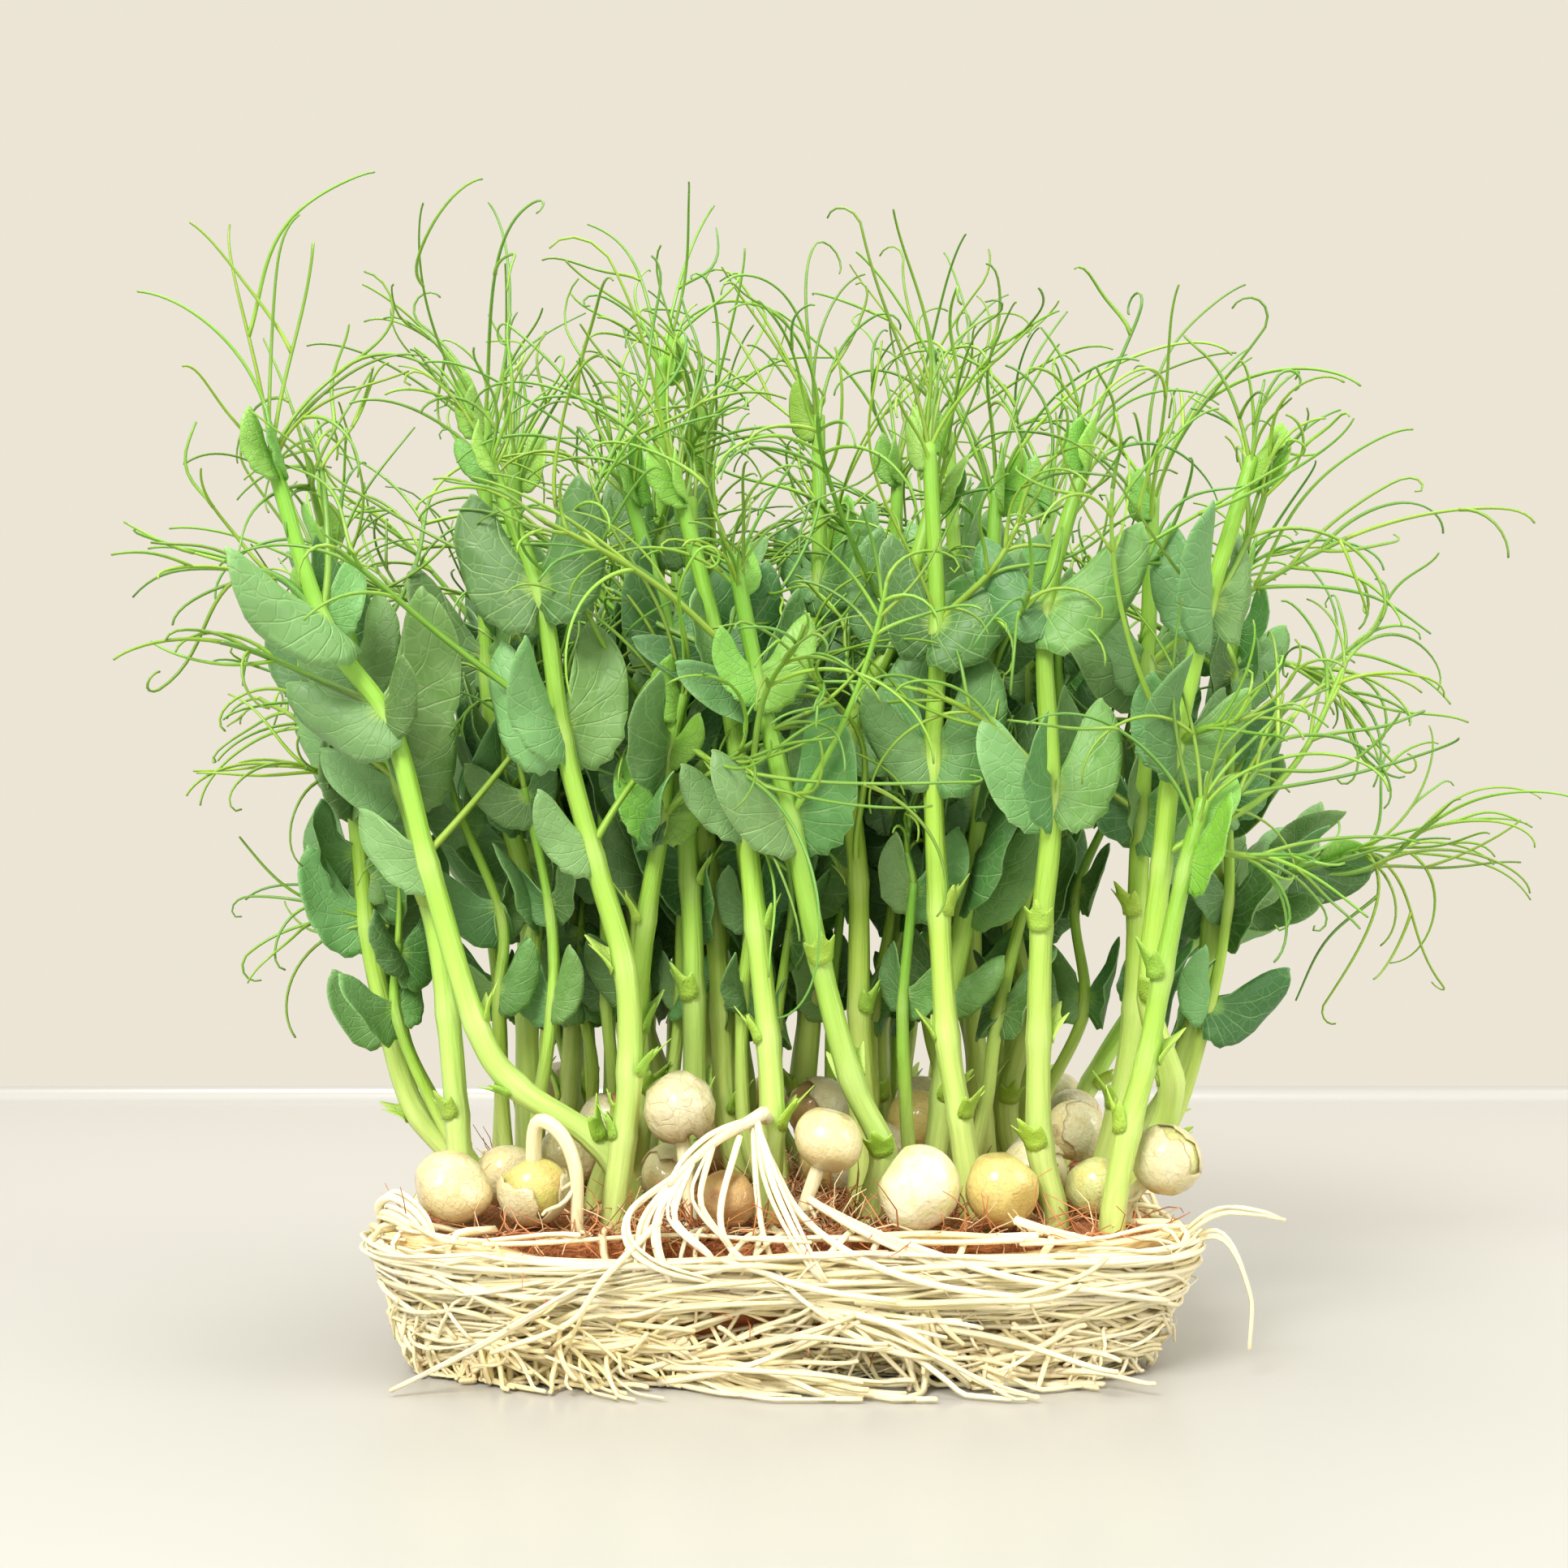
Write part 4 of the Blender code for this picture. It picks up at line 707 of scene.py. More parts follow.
def fill_shoot(crowd, shoot):
    """Leaf pairs where the bed is dense, and a leaf stalk with tendrils at each high node."""
    rng = draws(f"more {shoot.index}")
    made = 0
    front = shoot.index < len(LEADERS) and shoot.path[0][1] < FRONT_ROWS_Y
    azimuth = any_turn(rng)
    for point in range(3, len(shoot.path) - 1):
        azimuth += math.pi + rng.uniform(-0.6, 0.6)
        z = shoot.path[point][2]
        heading = BACKWARDS + rng.uniform(-0.8, 0.8) if front else azimuth
        pairs = int(z > BARE_BELOW) if front else 3 if BUSHY[0] < z < BUSHY[1] else 1
        for pair in range(pairs):
            for side in (-1, 1):
                length = rng.uniform(15.0, 22.0) if z > BUSHY[0] else rng.uniform(9.0, 14.0)
                made += add_leaf(crowd, shoot, point, heading + pair * 1.9, side, length, rng,
                                 pair * rng.uniform(2.0, 6.0))
        if z > STALKS_FROM:
            away = level(azimuth)
            lead = unit(shoot.up(point) * rng.uniform(0.6, 1.6) + away)
            stalk, reach = rng.uniform(10.0, 28.0), rng.uniform(20.0, 38.0)
            shoot.stalks.append((shoot.joint(point), lead, stalk, reach))
    return made


SIDE_STEMS = 2
SIDE_STOUT = 0.62
SIDE_TOPS = (58.0, 100.0)
SIDE_SPAN = (44.0, 37.0)
SIDE_LEAVES_FROM = 38.0


def add_side_stem(crowd, shoot, rng):
    """A thinner second stem from the same seed, which rises beside the first and keeps clear of the rest."""
    for _ in range(MORE_TRIES):
        bearing = any_turn(rng)
        away = level(bearing) * rng.uniform(3.5, 9.0)
        rows = shoot.path[1:][shoot.path[1:, 2] < rng.uniform(*SIDE_TOPS)]
        sway = np.array([scattered(rng, (-1.6, 1.6), (-1.6, 1.6), (-3.0, 3.0)) for _ in rows])
        line = rows + away * np.linspace(0.7, 1.3, len(rows))[:, None] + sway
        line[0, 2] = COIR_TOP - 0.2
        room = crowd.room(along(line, 1.0), STEM_FOOT * SIDE_STOUT, -1)
        if len(line) > 3 and room > ROOM_ENOUGH and np.all(np.abs(line[0, :2]) < SIDE_SPAN):
            side = Shoot(shoot.index, line)
            side.stout = SIDE_STOUT
            crowd.add(along(line, 1.0), STEM_FOOT * SIDE_STOUT, shoot.index, stem=True)
            shoot.side_stems.append(side)
            return


def fill_side(crowd, side, rng):
    """A leaf pair at each high node of a side stem, and tendrils at its tip."""
    azimuth = any_turn(rng)
    for point in range(2, len(side.path)):
        azimuth += math.pi + rng.uniform(-0.6, 0.6)
        for hand in (-1, 1):
            if side.path[point][2] > SIDE_LEAVES_FROM:
                add_leaf(crowd, side, point, azimuth, hand, rng.uniform(9.0, 16.0), rng)
    stalk, reach = rng.uniform(4.0, 12.0), rng.uniform(14.0, 24.0)
    side.stalks.append((side.path[-1], side.up(len(side.path) - 1), stalk, reach))


for shoot in shoots:
    if shoot.index >= len(LEADERS) or shoot.path[0][1] > FRONT_ROWS_Y:
        rng = draws(f"side {shoot.index}")
        for _ in range(SIDE_STEMS):
            add_side_stem(crowd, shoot, rng)
        for side in shoot.side_stems:
            fill_side(crowd, side, rng)
print("side stems:", sum(len(shoot.side_stems) for shoot in shoots))
more = sum(fill_shoot(crowd, shoot) for shoot in shoots)
print("more leaves", more, "more stalks", sum(len(s.stalks) for s in shoots))

# %% [markdown]
# ## From lines and outlines to surfaces
# Nearly everything here is a tube that follows a line, or a thin sheet inside an outline. A curve object
# could draw each tube, but there are thousands of them, so they are gathered as plain arrays and turned into
# one mesh for each plant. Two sets of three numbers travel with every vertex: `place`, where it sits on its
# own leaf or stem, and `tone`, what its material needs to know, such as its age.

# %% A surface collector
class Surface:
    """Gathers points, faces and paint values in millimetres, and makes one mesh of them."""

    def __init__(self):
        self.points, self.places, self.tones = [], [], []
        self.quads, self.tris, self.quad_looks, self.tri_looks = [], [], [], []
        self.count = 0

    def add(self, points, quads, tris, look, place, tone):
        """Faces index these points. look is the number of the material slot."""
        count = len(points)
        self.points.append(points)
        self.places.append(np.broadcast_to(place, (count, 3)))
        self.tones.append(np.broadcast_to(tone, (count, 3)))
        if len(quads):
            self.quads.append(np.asarray(quads) + self.count)
            self.quad_looks.append(np.full(len(quads), look))
        if len(tris):
            self.tris.append(np.asarray(tris) + self.count)
            self.tri_looks.append(np.full(len(tris), look))
        self.count += count

    def triangles(self):
        return 2 * sum(len(q) for q in self.quads) + sum(len(t) for t in self.tris)


def stack(arrays, width):
    return np.vstack(arrays) if arrays else np.zeros((0, width), dtype=int)


def make_piece(name, surface, looks, nodes):
    """One mesh object from a surface, riding on the frame and standing for its CAD nodes."""
    quads, tris = stack(surface.quads, 4), stack(surface.tris, 3)
    mesh = bpy.data.meshes.new(name)
    points = np.vstack(surface.points) * MM
    mesh.vertices.add(len(points))
    mesh.vertices.foreach_set("co", points.astype(np.float32).ravel())
    corners = np.concatenate([quads.ravel(), tris.ravel()]).astype(np.int32)
    starts = np.concatenate([np.arange(len(quads)) * 4, len(quads) * 4 + np.arange(len(tris)) * 3])
    mesh.loops.add(len(corners))
    mesh.loops.foreach_set("vertex_index", corners)
    mesh.polygons.add(len(starts))
    mesh.polygons.foreach_set("loop_start", starts.astype(np.int32))
    used = np.concatenate(surface.quad_looks + surface.tri_looks).astype(np.int32)
    for look in looks:
        mesh.materials.append(look)
    mesh.polygons.foreach_set("material_index", used)
    for label, values in (("place", surface.places), ("tone", surface.tones)):
        layer = mesh.attributes.new(label, "FLOAT_VECTOR", "POINT")
        layer.data.foreach_set("vector", np.vstack(values).astype(np.float32).ravel())
    mesh.update(calc_edges=True)
    mesh.validate()
    mesh.shade_smooth()
    piece = bpy.data.objects.new(name, mesh)
    bpy.context.scene.collection.objects.link(piece)
    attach(piece, "root")
    if nodes:
        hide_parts(*nodes)
    return piece


print("triangles of an empty surface:", Surface().triangles())

# %% Tubes that follow a line
def rounded_off(a, b, c, d, t):
    """Points on a Catmull-Rom curve between b and c, at shares t of the way."""
    return 0.5 * (2 * b + (c - a) * t + (2 * a - 5 * b + 4 * c - d) * t ** 2
                  + (3 * b - a - 3 * c + d) * t ** 3)


def smooth_line(points, spacing):
    """A Catmull-Rom curve through points, with a new point about every spacing."""
    points = np.asarray(points, dtype=float)
    padded = np.vstack([2 * points[0] - points[1], points, 2 * points[-1] - points[-2]])
    out = [points[:1]]
    for a, b, c, d in zip(padded[:-3], padded[1:-2], padded[2:-1], padded[3:]):
        count = max(1, int(round(np.linalg.norm(c - b) / spacing)))
        t = np.linspace(0.0, 1.0, count + 1)[1:, None]
        out.append(rounded_off(a, b, c, d, t))
    return np.vstack(out)


def carried_sides(points):
    """For each point of a line, the way it runs and two directions across it, without twist."""
    ways = np.gradient(points, axis=0)
    ways /= np.maximum(np.linalg.norm(ways, axis=1), 1e-9)[:, None]
    first = np.cross(ways[0], (0.0, 0.0, 1.0) if abs(ways[0][2]) < 0.9 else (1.0, 0.0, 0.0))
    side = unit(first)
    sides = np.empty_like(points)
    for i, way in enumerate(ways):
        side = side - way * (side @ way)
        side = side / max(math.sqrt(side @ side), 1e-9)
        sides[i] = side
    return ways, sides, np.cross(ways, sides)


def tube_faces(rings, sides):
    """Quads of a tube of rings, and the triangles that close its two ends with a point each."""
    i, j = np.meshgrid(np.arange(rings - 1), np.arange(sides), indexing="ij")
    after = (j + 1) % sides
    low, high = i * sides, (i + 1) * sides
    quads = np.stack([low + j, low + after, high + after, high + j], axis=-1)
    k = np.arange(sides)
    low, high, last = rings * sides, rings * sides + 1, (rings - 1) * sides
    tris = np.vstack([
        np.stack([np.full(sides, low), (k + 1) % sides, k], axis=1),
        np.stack([np.full(sides, high), last + k, last + (k + 1) % sides], axis=1),
    ])
    return quads.reshape(-1, 4), tris


def tube(surface, points, radii, sides, look, tone, ridges=0.0, ridge_count=4):
    """A round or ridged tube. place holds the share along it, the turn round it, and its radius."""
    points = np.asarray(points, dtype=float)
    count = len(points)
    radii = np.broadcast_to(np.asarray(radii, dtype=float), (count,))
    ways, across, over = carried_sides(points)
    turn = np.arange(sides) * math.tau / sides
    swell = 1.0 + ridges * np.cos(turn * ridge_count)
    ring = np.cos(turn)[None, :, None] * across[:, None, :] + np.sin(turn)[None, :, None] * over[:, None, :]
    skin = points[:, None, :] + ring * (radii[:, None] * swell[None, :])[:, :, None]
    ends = np.stack([points[0] - ways[0] * radii[0] * 0.5, points[-1] + ways[-1] * radii[-1] * 0.8])
    share = np.linspace(0.0, 1.0, count)
    place = np.zeros((count * sides + 2, 3))
    place[:-2, 0] = np.repeat(share, sides)
    place[:-2, 1] = np.tile(turn / math.tau, count)
    place[:-2, 2] = np.repeat(radii, sides)
    place[-2:, 0] = (0.0, 1.0)
    place[-2:, 2] = (radii[0], radii[-1])
    quads, tris = tube_faces(count, sides)
    surface.add(np.vstack([skin.reshape(-1, 3), ends]), quads, tris, look, place, tone)


def taper(count, foot, tip, power=1.0):
    """Radii from the foot of a tube to its tip."""
    return foot + (tip - foot) * np.linspace(0.0, 1.0, count) ** power


print("quads of a tube with ten rings of eight:", len(tube_faces(10, 8)[0]))

# %% [markdown]
# A leaf is a thin sheet with two faces and a rim, so it has a real thickness from every side. Its points lie
# on rings that shrink from the outline to the middle. That keeps triangles small at the toothed edge, where
# the eye looks, and large in the plain middle.

# %% Thin sheets inside an outline
SHEET_RINGS = (0.0, 0.34, 0.62, 0.84, 1.0)


def sheet(surface, outline_uv, middle, shape, thick, look, tone, rings=SHEET_RINGS):
    """A closed sheet. shape(u, v, s) gives points and face directions for arrays of outline coordinates."""
    outline_uv = np.asarray(outline_uv)
    count = len(outline_uv)
    u, v, s = [np.array([middle[0]])], [np.array([middle[1]])], [np.array([0.0])]
    for ring in rings[1:]:
        u.append(middle[0] + (outline_uv[:, 0] - middle[0]) * ring)
        v.append(middle[1] + (outline_uv[:, 1] - middle[1]) * ring)
        s.append(np.full(count, ring))
    u, v, s = np.concatenate(u), np.concatenate(v), np.concatenate(s)
    points, facing = shape(u, v, s)
    half = (thick * 0.5 * (1.0 - 0.55 * s ** 4))[:, None]
    place = np.stack([u, v, s], axis=1)
    tris, quads = [], []
    k = np.arange(count)
    after = (k + 1) % count
    size = len(u)
    for offset, flip in ((0, False), (size, True)):
        fan = np.stack([np.full(count, offset), offset + 1 + k, offset + 1 + after], axis=1)
        tris.append(fan[:, ::-1] if flip else fan)
        for ring in range(len(rings) - 2):
            low, high = offset + 1 + ring * count, offset + 1 + (ring + 1) * count
            band = np.stack([low + k, high + k, high + after, low + after], axis=1)
            quads.append(band[:, ::-1] if flip else band)
    rim = size - count
    quads.append(np.stack([rim + k, size + rim + k, size + rim + after, rim + after], axis=1))
    both_tone = np.tile(np.asarray(tone, dtype=float), (2 * size, 1))
    both_tone[size:, 2] = 1.0
    both_sides = np.vstack([points + facing * half, points - facing * half])
    surface.add(both_sides, np.vstack(quads), np.vstack(tris), look, np.vstack([place, place]), both_tone)


def closed_curve(points, samples):
    """A smooth closed outline through a few points, evenly stepped between them."""
    points = np.asarray(points, dtype=float)
    count = len(points)
    out = []
    for step in np.linspace(0.0, count, samples, endpoint=False):
        i, t = int(step), step - int(step)
        out.append(rounded_off(*(points[(i + k) % count] for k in (-1, 0, 1, 2)), t))
    return np.array(out)


print("drawing tools ready")

# %% [markdown]
# ## Leaves
# What looks like a leaf on this kind of pea is a stipule, half of a pair that clasps the stem. It is half a
# heart: straight along the stem, round on the outside, with a few sharp teeth low on its edge and a tiny
# point at its top. The true leaf above it has turned into tendrils.

# %% The outline of a clasping leaf
LEAF_CURVE = (
    (-0.035, 0.02), (-0.01, -0.08), (0.045, -0.20), (0.12, -0.275), (0.215, -0.275), (0.31, -0.215),
    (0.385, -0.10), (0.425, 0.06), (0.43, 0.22), (0.41, 0.40), (0.355, 0.54), (0.275, 0.645), (0.215, 0.685),
    (0.19, 0.715), (0.15, 0.675), (0.10, 0.56), (0.07, 0.38), (0.035, 0.17),
)
TOOTH_DEEP = 0.016
TOOTH_SHARES = (0.14, 0.40)


def toothed_leaf(rng, samples):
    """The outline with teeth on the lower, outer edge: two slow steps out and one sharp step back."""
    curve = closed_curve(LEAF_CURVE, samples)
    ways = np.roll(curve, -1, axis=0) - np.roll(curve, 1, axis=0)
    outward = np.stack([ways[:, 1], -ways[:, 0]], axis=1)
    outward /= np.linalg.norm(outward, axis=1)[:, None]
    first, last = (int(samples * share) for share in TOOTH_SHARES)
    for i in range(first, last):
        out = (-0.8, 0.1, 1.0)[(i - first) % 3] * TOOTH_DEEP * rng.uniform(0.5, 1.5)
        curve[i] += outward[i] * out
    return curve


# Leaves in the open get a fine outline and more rings. Those deep in the bed get by with fewer.
FINE_SAMPLES, PLAIN_SAMPLES = 52, 34
PLAIN_RINGS = (0.0, 0.5, 0.85, 1.0)
LEAF_OUTLINES = {}
for fine, samples in ((True, FINE_SAMPLES), (False, PLAIN_SAMPLES)):
    LEAF_OUTLINES[fine] = [toothed_leaf(draws(f"outline {k}"), samples) for k in range(6)]
print("leaf outlines:", {fine: len(outlines[0]) for fine, outlines in LEAF_OUTLINES.items()})


# %% [markdown]
# Each leaf is cupped, bent along its length and waved at its edge. All three are small heights added to the
# flat sheet, so one function of the leaf's own coordinates holds them.

# %% One leaf on its frame
LEAF_THICK = 0.34
STEM_LOOK, LEAF_LOOK, TENDRIL_LOOK = 0, 1, 2


def draw_leaf(surface, rng, root, axes, length, cup, bend, age_and_shade, fine, curl=0.0):
    """A leaf with the cup and bend of its solid, and a waved edge. Age 0 is young; past GROWN it paints
    shade.
    """
    out, rise, face = axes
    wave, phase = rng.uniform(0.012, 0.03), any_turn(rng)
    waves = rng.choice((3, 4, 5))

    def shape(u, v, s):
        angle = np.arctan2(v - BLADE_MIDDLE[1], u - BLADE_MIDDLE[0])
        crease = np.exp(-((v - 1.3 * (u - 0.02)) / 0.05) ** 2)
        lift = cup * 1.4 * u * (0.5 - u) - bend * 0.35 * v * np.abs(v)
        lift = lift + wave * np.sin(waves * angle + phase) * s ** 3 - 0.008 * crease + curl * u * u
        points = root + length * (u[:, None] * out + v[:, None] * rise + lift[:, None] * face)
        slope_u = (cup * 1.4 * (0.5 - 2 * u) + 2 * curl * u)[:, None]
        slope_v = (-bend * 0.7 * np.abs(v))[:, None]
        facing = face - slope_u * out - slope_v * rise
        return points, facing / np.linalg.norm(facing, axis=1)[:, None]

    rings = SHEET_RINGS if fine else PLAIN_RINGS
    sheet(surface, rng.choice(LEAF_OUTLINES[fine]), BLADE_MIDDLE, shape, LEAF_THICK, LEAF_LOOK,
          (age_and_shade, rng.random(), 0.0), rings)


print("leaf thickness in mm:", LEAF_THICK)

# %% [markdown]
# Low on each stem the first leaves stay tiny. They are bracts with three teeth that wrap the stem like a
# collar. They are drawn flat and rolled round the stem: a step sideways on the sheet becomes an angle.

# %% Bracts rolled round the stem
BRACT_CURVE = (
    (-0.50, -0.02), (0.0, -0.14), (0.50, -0.02), (0.60, 0.40), (0.62, 0.84), (0.40, 0.66), (0.22, 0.78),
    (0.0, 1.15), (-0.22, 0.78), (-0.40, 0.66), (-0.62, 0.84), (-0.60, 0.40),
)
BRACT_SAMPLES = 32
BRACT_RINGS = (0.0, 0.5, 1.0)
BRACT_MIDDLE, BRACT_THICK = (0.0, 0.3), 0.3
BRACT_OUTLINE = closed_curve(BRACT_CURVE, BRACT_SAMPLES)


def draw_bract(surface, rng, root, up, azimuth, radius, size):
    """A three-toothed bract that hugs a stem and stands off it towards its teeth."""
    away = level(azimuth)
    away = unit(away - up * (away @ up))
    across = np.cross(up, away)
    flare = rng.uniform(0.25, 0.8)

    def shape(u, v, s):
        reach = radius + 0.12 + np.maximum(v, 0.0) ** 1.5 * size * flare
        angle = u * size / reach
        facing = np.cos(angle)[:, None] * away + np.sin(angle)[:, None] * across
        return root + facing * reach[:, None] + up * (v * size)[:, None], facing

    tone = (0.5, rng.random(), 0.0)
    sheet(surface, BRACT_OUTLINE, BRACT_MIDDLE, shape, BRACT_THICK, STEM_LOOK, tone, BRACT_RINGS)


print("bract outline:", len(BRACT_OUTLINE))

# %% [markdown]
# ## Stems
# The stem swells a little at each node, bends there, and is very faintly ribbed where the leaf stalks run
# down into it. The radius along the tube carries the swelling, so no extra pieces are needed.

# %% Stems with swollen nodes
STEM_SIDES = 8
STEM_SPACING = 1.5
NODE_SWELL = 0.14
NODE_REACH = 1.6
STEM_RIBS = 0.05


def draw_stem(surface, rng, shoot):
    """The stem as a smooth ribbed tube through the points of its path."""
    line = smooth_line(shoot.path, STEM_SPACING)
    low, high = shoot.path[0][2], shoot.path[-1][2]
    rise = np.clip((line[:, 2] - low) / (high - low), 0.0, 1.0)
    radii = (STEM_FOOT + (STEM_TIP - STEM_FOOT) * rise) * shoot.stout
    nodes = shoot.path[2:-1]
    nearest = np.linalg.norm(line[:, None, :] - nodes[None, :, :], axis=2).min(axis=1)
    radii = radii * (1.0 + NODE_SWELL * np.exp(-(nearest / NODE_REACH) ** 2))
    radii *= 1.0 + 0.03 * np.sin(line[:, 2] * 0.35 + rng.uniform(0, 6))
    count = len(line)
    tone = np.zeros((count * STEM_SIDES + 2, 3))
    tone[:-2, 0] = np.repeat(rise, STEM_SIDES)
    tone[-1, 0] = 1.0
    tone[:, 1] = rng.random()
    tone[:-2, 2] = np.repeat(np.exp(-(nearest / (NODE_REACH * 1.4)) ** 2), STEM_SIDES)
    tube(surface, line, radii, STEM_SIDES, STEM_LOOK, tone, STEM_RIBS)


print("stem sides:", STEM_SIDES)

# %% [markdown]
# ## Tendrils
# A tendril is a wire that slowly turns as it grows and curls hard at its tip once it has nothing to hold. The
# same idea draws it: walk forward in small steps, turn the heading a little at each step, and turn it more
# and more towards the end.

# %% Walking a tendril
TENDRIL_SIDES = 4
TENDRIL_FOOT, TENDRIL_END = 0.3, 0.15
PETIOLE_END = 0.42
RIB_FOOT, RIB_END = 0.52, 0.34
WALK_STEP = 1.3
SWAY = 3.0


def turned(vector, axis, angle):
    """A vector turned about an axis of length one."""
    return (vector * math.cos(angle) + np.cross(axis, vector) * math.sin(angle)
            + axis * (axis @ vector) * (1 - math.cos(angle)))


def walk(start, heading, length, bow, curl, axis, rng):
    """Points of a strand that bows all along and curls by `curl` radians over its last third."""
    steps = max(6, int(length / WALK_STEP))
    size = length / steps
    heading = unit(heading)
    axis = unit(axis - heading * (axis @ heading))
    lean = unit(np.cross(heading, axis))
    tilt, sway = rng.uniform(-0.35, 0.35), rng.uniform(-SWAY, SWAY)
    points = [start]
    for i in range(steps):
        t = (i + 0.5) / steps
        tight = max(0.0, (t - 0.66) / 0.34)
        heading = turned(heading, axis, bow / steps + curl * 3.0 * tight ** 1.5 / steps)
        heading = turned(heading, lean, (tilt + sway * math.cos(math.tau * t)) / steps)
        points.append(points[-1] + unit(heading) * size * (1.0 - 0.45 * tight))
    return np.array(points)


def inside_box(points, spare=0.4):
    return bool(np.all(points > BOX_LOW + spare) and np.all(points < BOX_HIGH - spare))


def draw_strand(surface, rng, points, thick_foot, thick_tip):
    tube(surface, points, taper(len(points), thick_foot, thick_tip, 0.8), TENDRIL_SIDES, TENDRIL_LOOK,
         (rng.random(), rng.random(), 0.0))


def curl_end(points, curl, size, rng):
    """Carry a line on past its end into a hook or a small coil."""
    heading = unit(points[-1] - points[-2])
    axis = unit(np.cross(heading, (rng.uniform(-1, 1), rng.uniform(-1, 1), rng.uniform(-0.4, 0.4))))
    steps = max(4, int(abs(curl) / 0.42))
    more = [points[-1]]
    for i in range(steps):
        heading = turned(heading, axis, curl / steps)
        more.append(more[-1] + unit(heading) * size / steps * (1.3 - 0.6 * i / steps))
    return np.vstack([points, more[1:]])


print("tendril radius in mm:", TENDRIL_FOOT, "to", TENDRIL_END)

# %% [markdown]
# A leaf stalk carries its tendrils in pairs and ends in one, like the rib of a feather.

# %% One strand, a fork, and a whole frond
HOOKED, COILED = 0.45, 0.52
FORKED = 0.22
DROOPING = 0.4
UPWARD = np.array([0.0, 0.0, 1.0])


def across(rng, heading):
    """A direction at right angles to a heading, at random round it."""
    heading = unit(heading)
    return turned(unit(np.cross(heading, (0.31, 0.9, 0.11))), heading, any_turn(rng))


def draw_wisp(surface, rng, start, heading, length, thick=TENDRIL_FOOT, forks=True):
    """One slender strand. It bows or droops, may hook or coil at its tip, and may fork once."""
    spin, bow = across(rng, heading), rng.choice((-1, 1)) * rng.uniform(0.3, 2.0)
    if rng.random() < DROOPING:
        spin, bow = unit(np.cross(heading, UPWARD) + 1e-6), -abs(bow) * 1.3
    kind = rng.random()
    curl = rng.uniform(0.5, 2.2) if kind < HOOKED else rng.uniform(5.0, 9.0) if kind < COILED else 0.2
    for _ in range(6):
        line = walk(start, heading, length, bow, math.copysign(curl, bow), spin, rng)
        if inside_box(line):
            break
        length *= 0.75
    else:
        return
    draw_strand(surface, rng, line, thick, TENDRIL_END)
    if forks and rng.random() < FORKED:
        k = int(len(line) * rng.uniform(0.3, 0.6))
        way = unit(line[k + 1] - line[k])
        draw_wisp(surface, rng, line[k], way + across(rng, way) * rng.uniform(0.35, 0.7),
                  length * rng.uniform(0.4, 0.65), thick * 0.9, forks=False)


def draw_frond(surface, rng, start, lead, stalk, reach, pairs):
    """A leaf stalk that bears strands in pairs beyond its bare part and ends in one."""
    spin, bow = across(rng, lead), rng.uniform(-0.9, 0.9)
    for _ in range(5):
        rib = walk(start, lead, stalk + reach * 0.4, bow, 0.0, spin, rng)
        if inside_box(rib):
            break
        stalk, reach = stalk * 0.75, reach * 0.75
    else:
        return
    draw_strand(surface, rng, rib, RIB_FOOT, RIB_END)
    bare = stalk / (stalk + reach * 0.4)
    for pair in range(pairs):
        k = min(int((bare + (1.0 - bare) * pair / pairs) * (len(rib) - 1)), len(rib) - 2)
        way = unit(rib[k + 1] - rib[k])
        side = unit(np.cross(way, spin))
        for hand in (-1, 1):
            draw_wisp(surface, rng, rib[k], way + side * hand * rng.uniform(0.35, 0.95),
                      reach * rng.uniform(0.6, 1.0) * (1.0 - 0.35 * pair / pairs))
    draw_wisp(surface, rng, rib[-1], unit(rib[-1] - rib[-2]), reach * 0.7)


print("share of strands that fork:", FORKED)

# %% Tendrils of one shoot
CURL_SHARE = 0.55


def draw_tendrils(surface, rng, shoot):
    """The strands that the solids have, finer, then a brush at each fork and a frond at each stalk."""
    for (start, near, far, end), thick in shoot.strands:
        span = np.linalg.norm(end - start)
        line = bezier(start, near, far, end, max(6, int(span / WALK_STEP)))
        if thick == PETIOLE_THICK:
            draw_strand(surface, rng, line, PETIOLE_THICK, PETIOLE_END)
            continue
        if rng.random() < CURL_SHARE:
            curled = curl_end(line, rng.choice((-1, 1)) * rng.uniform(1.0, 4.5), rng.uniform(4.0, 9.0), rng)
            if inside_box(curled, 0.0):
                line = curled
        draw_strand(surface, rng, line, TENDRIL_FOOT, TENDRIL_END)
        for _ in range(rng.choice((0, 1, 1))):
            k = int(len(line) * rng.uniform(0.2, 0.5))
            way = unit(line[k + 1] - line[k])
            draw_wisp(surface, rng, line[k], way + across(rng, way) * rng.uniform(0.3, 0.8),
                      span * rng.uniform(0.6, 1.0), forks=False)
    for fork, lead, tips in shoot.forks:
        reach = max(np.linalg.norm(np.array(tip) - fork) for tip in tips)
        for _ in range(rng.choice((4, 5, 6))):
            draw_wisp(surface, rng, fork - lead * rng.uniform(0.0, 4.0),
                      lead + across(rng, lead) * rng.uniform(0.1, 0.6), reach * rng.uniform(0.7, 1.6))
    for start, lead, length, reach in shoot.stalks:
        draw_frond(surface, rng, start, lead, length, reach, rng.choice((2, 3, 3)))


print("shoot tools ready")

# %% [markdown]
# ## Finishes
# Each finish is a tree of nodes that ends in one Principled shader. Effects that several finishes need, such
# as cloudy mottling, a change of tint from piece to piece, or fine streaks, are node groups. A group only
# hands out masks and colours. The shader itself stays in the material.

# %% Node helpers
def fill(tree, made, inputs):
    """Give the inputs of a node their values, or links to other nodes."""
    for key, value in inputs.items():
        if isinstance(value, bpy.types.NodeSocket):
            tree.links.new(value, made.inputs[key])
        else:
            made.inputs[key].default_value = value
    return made


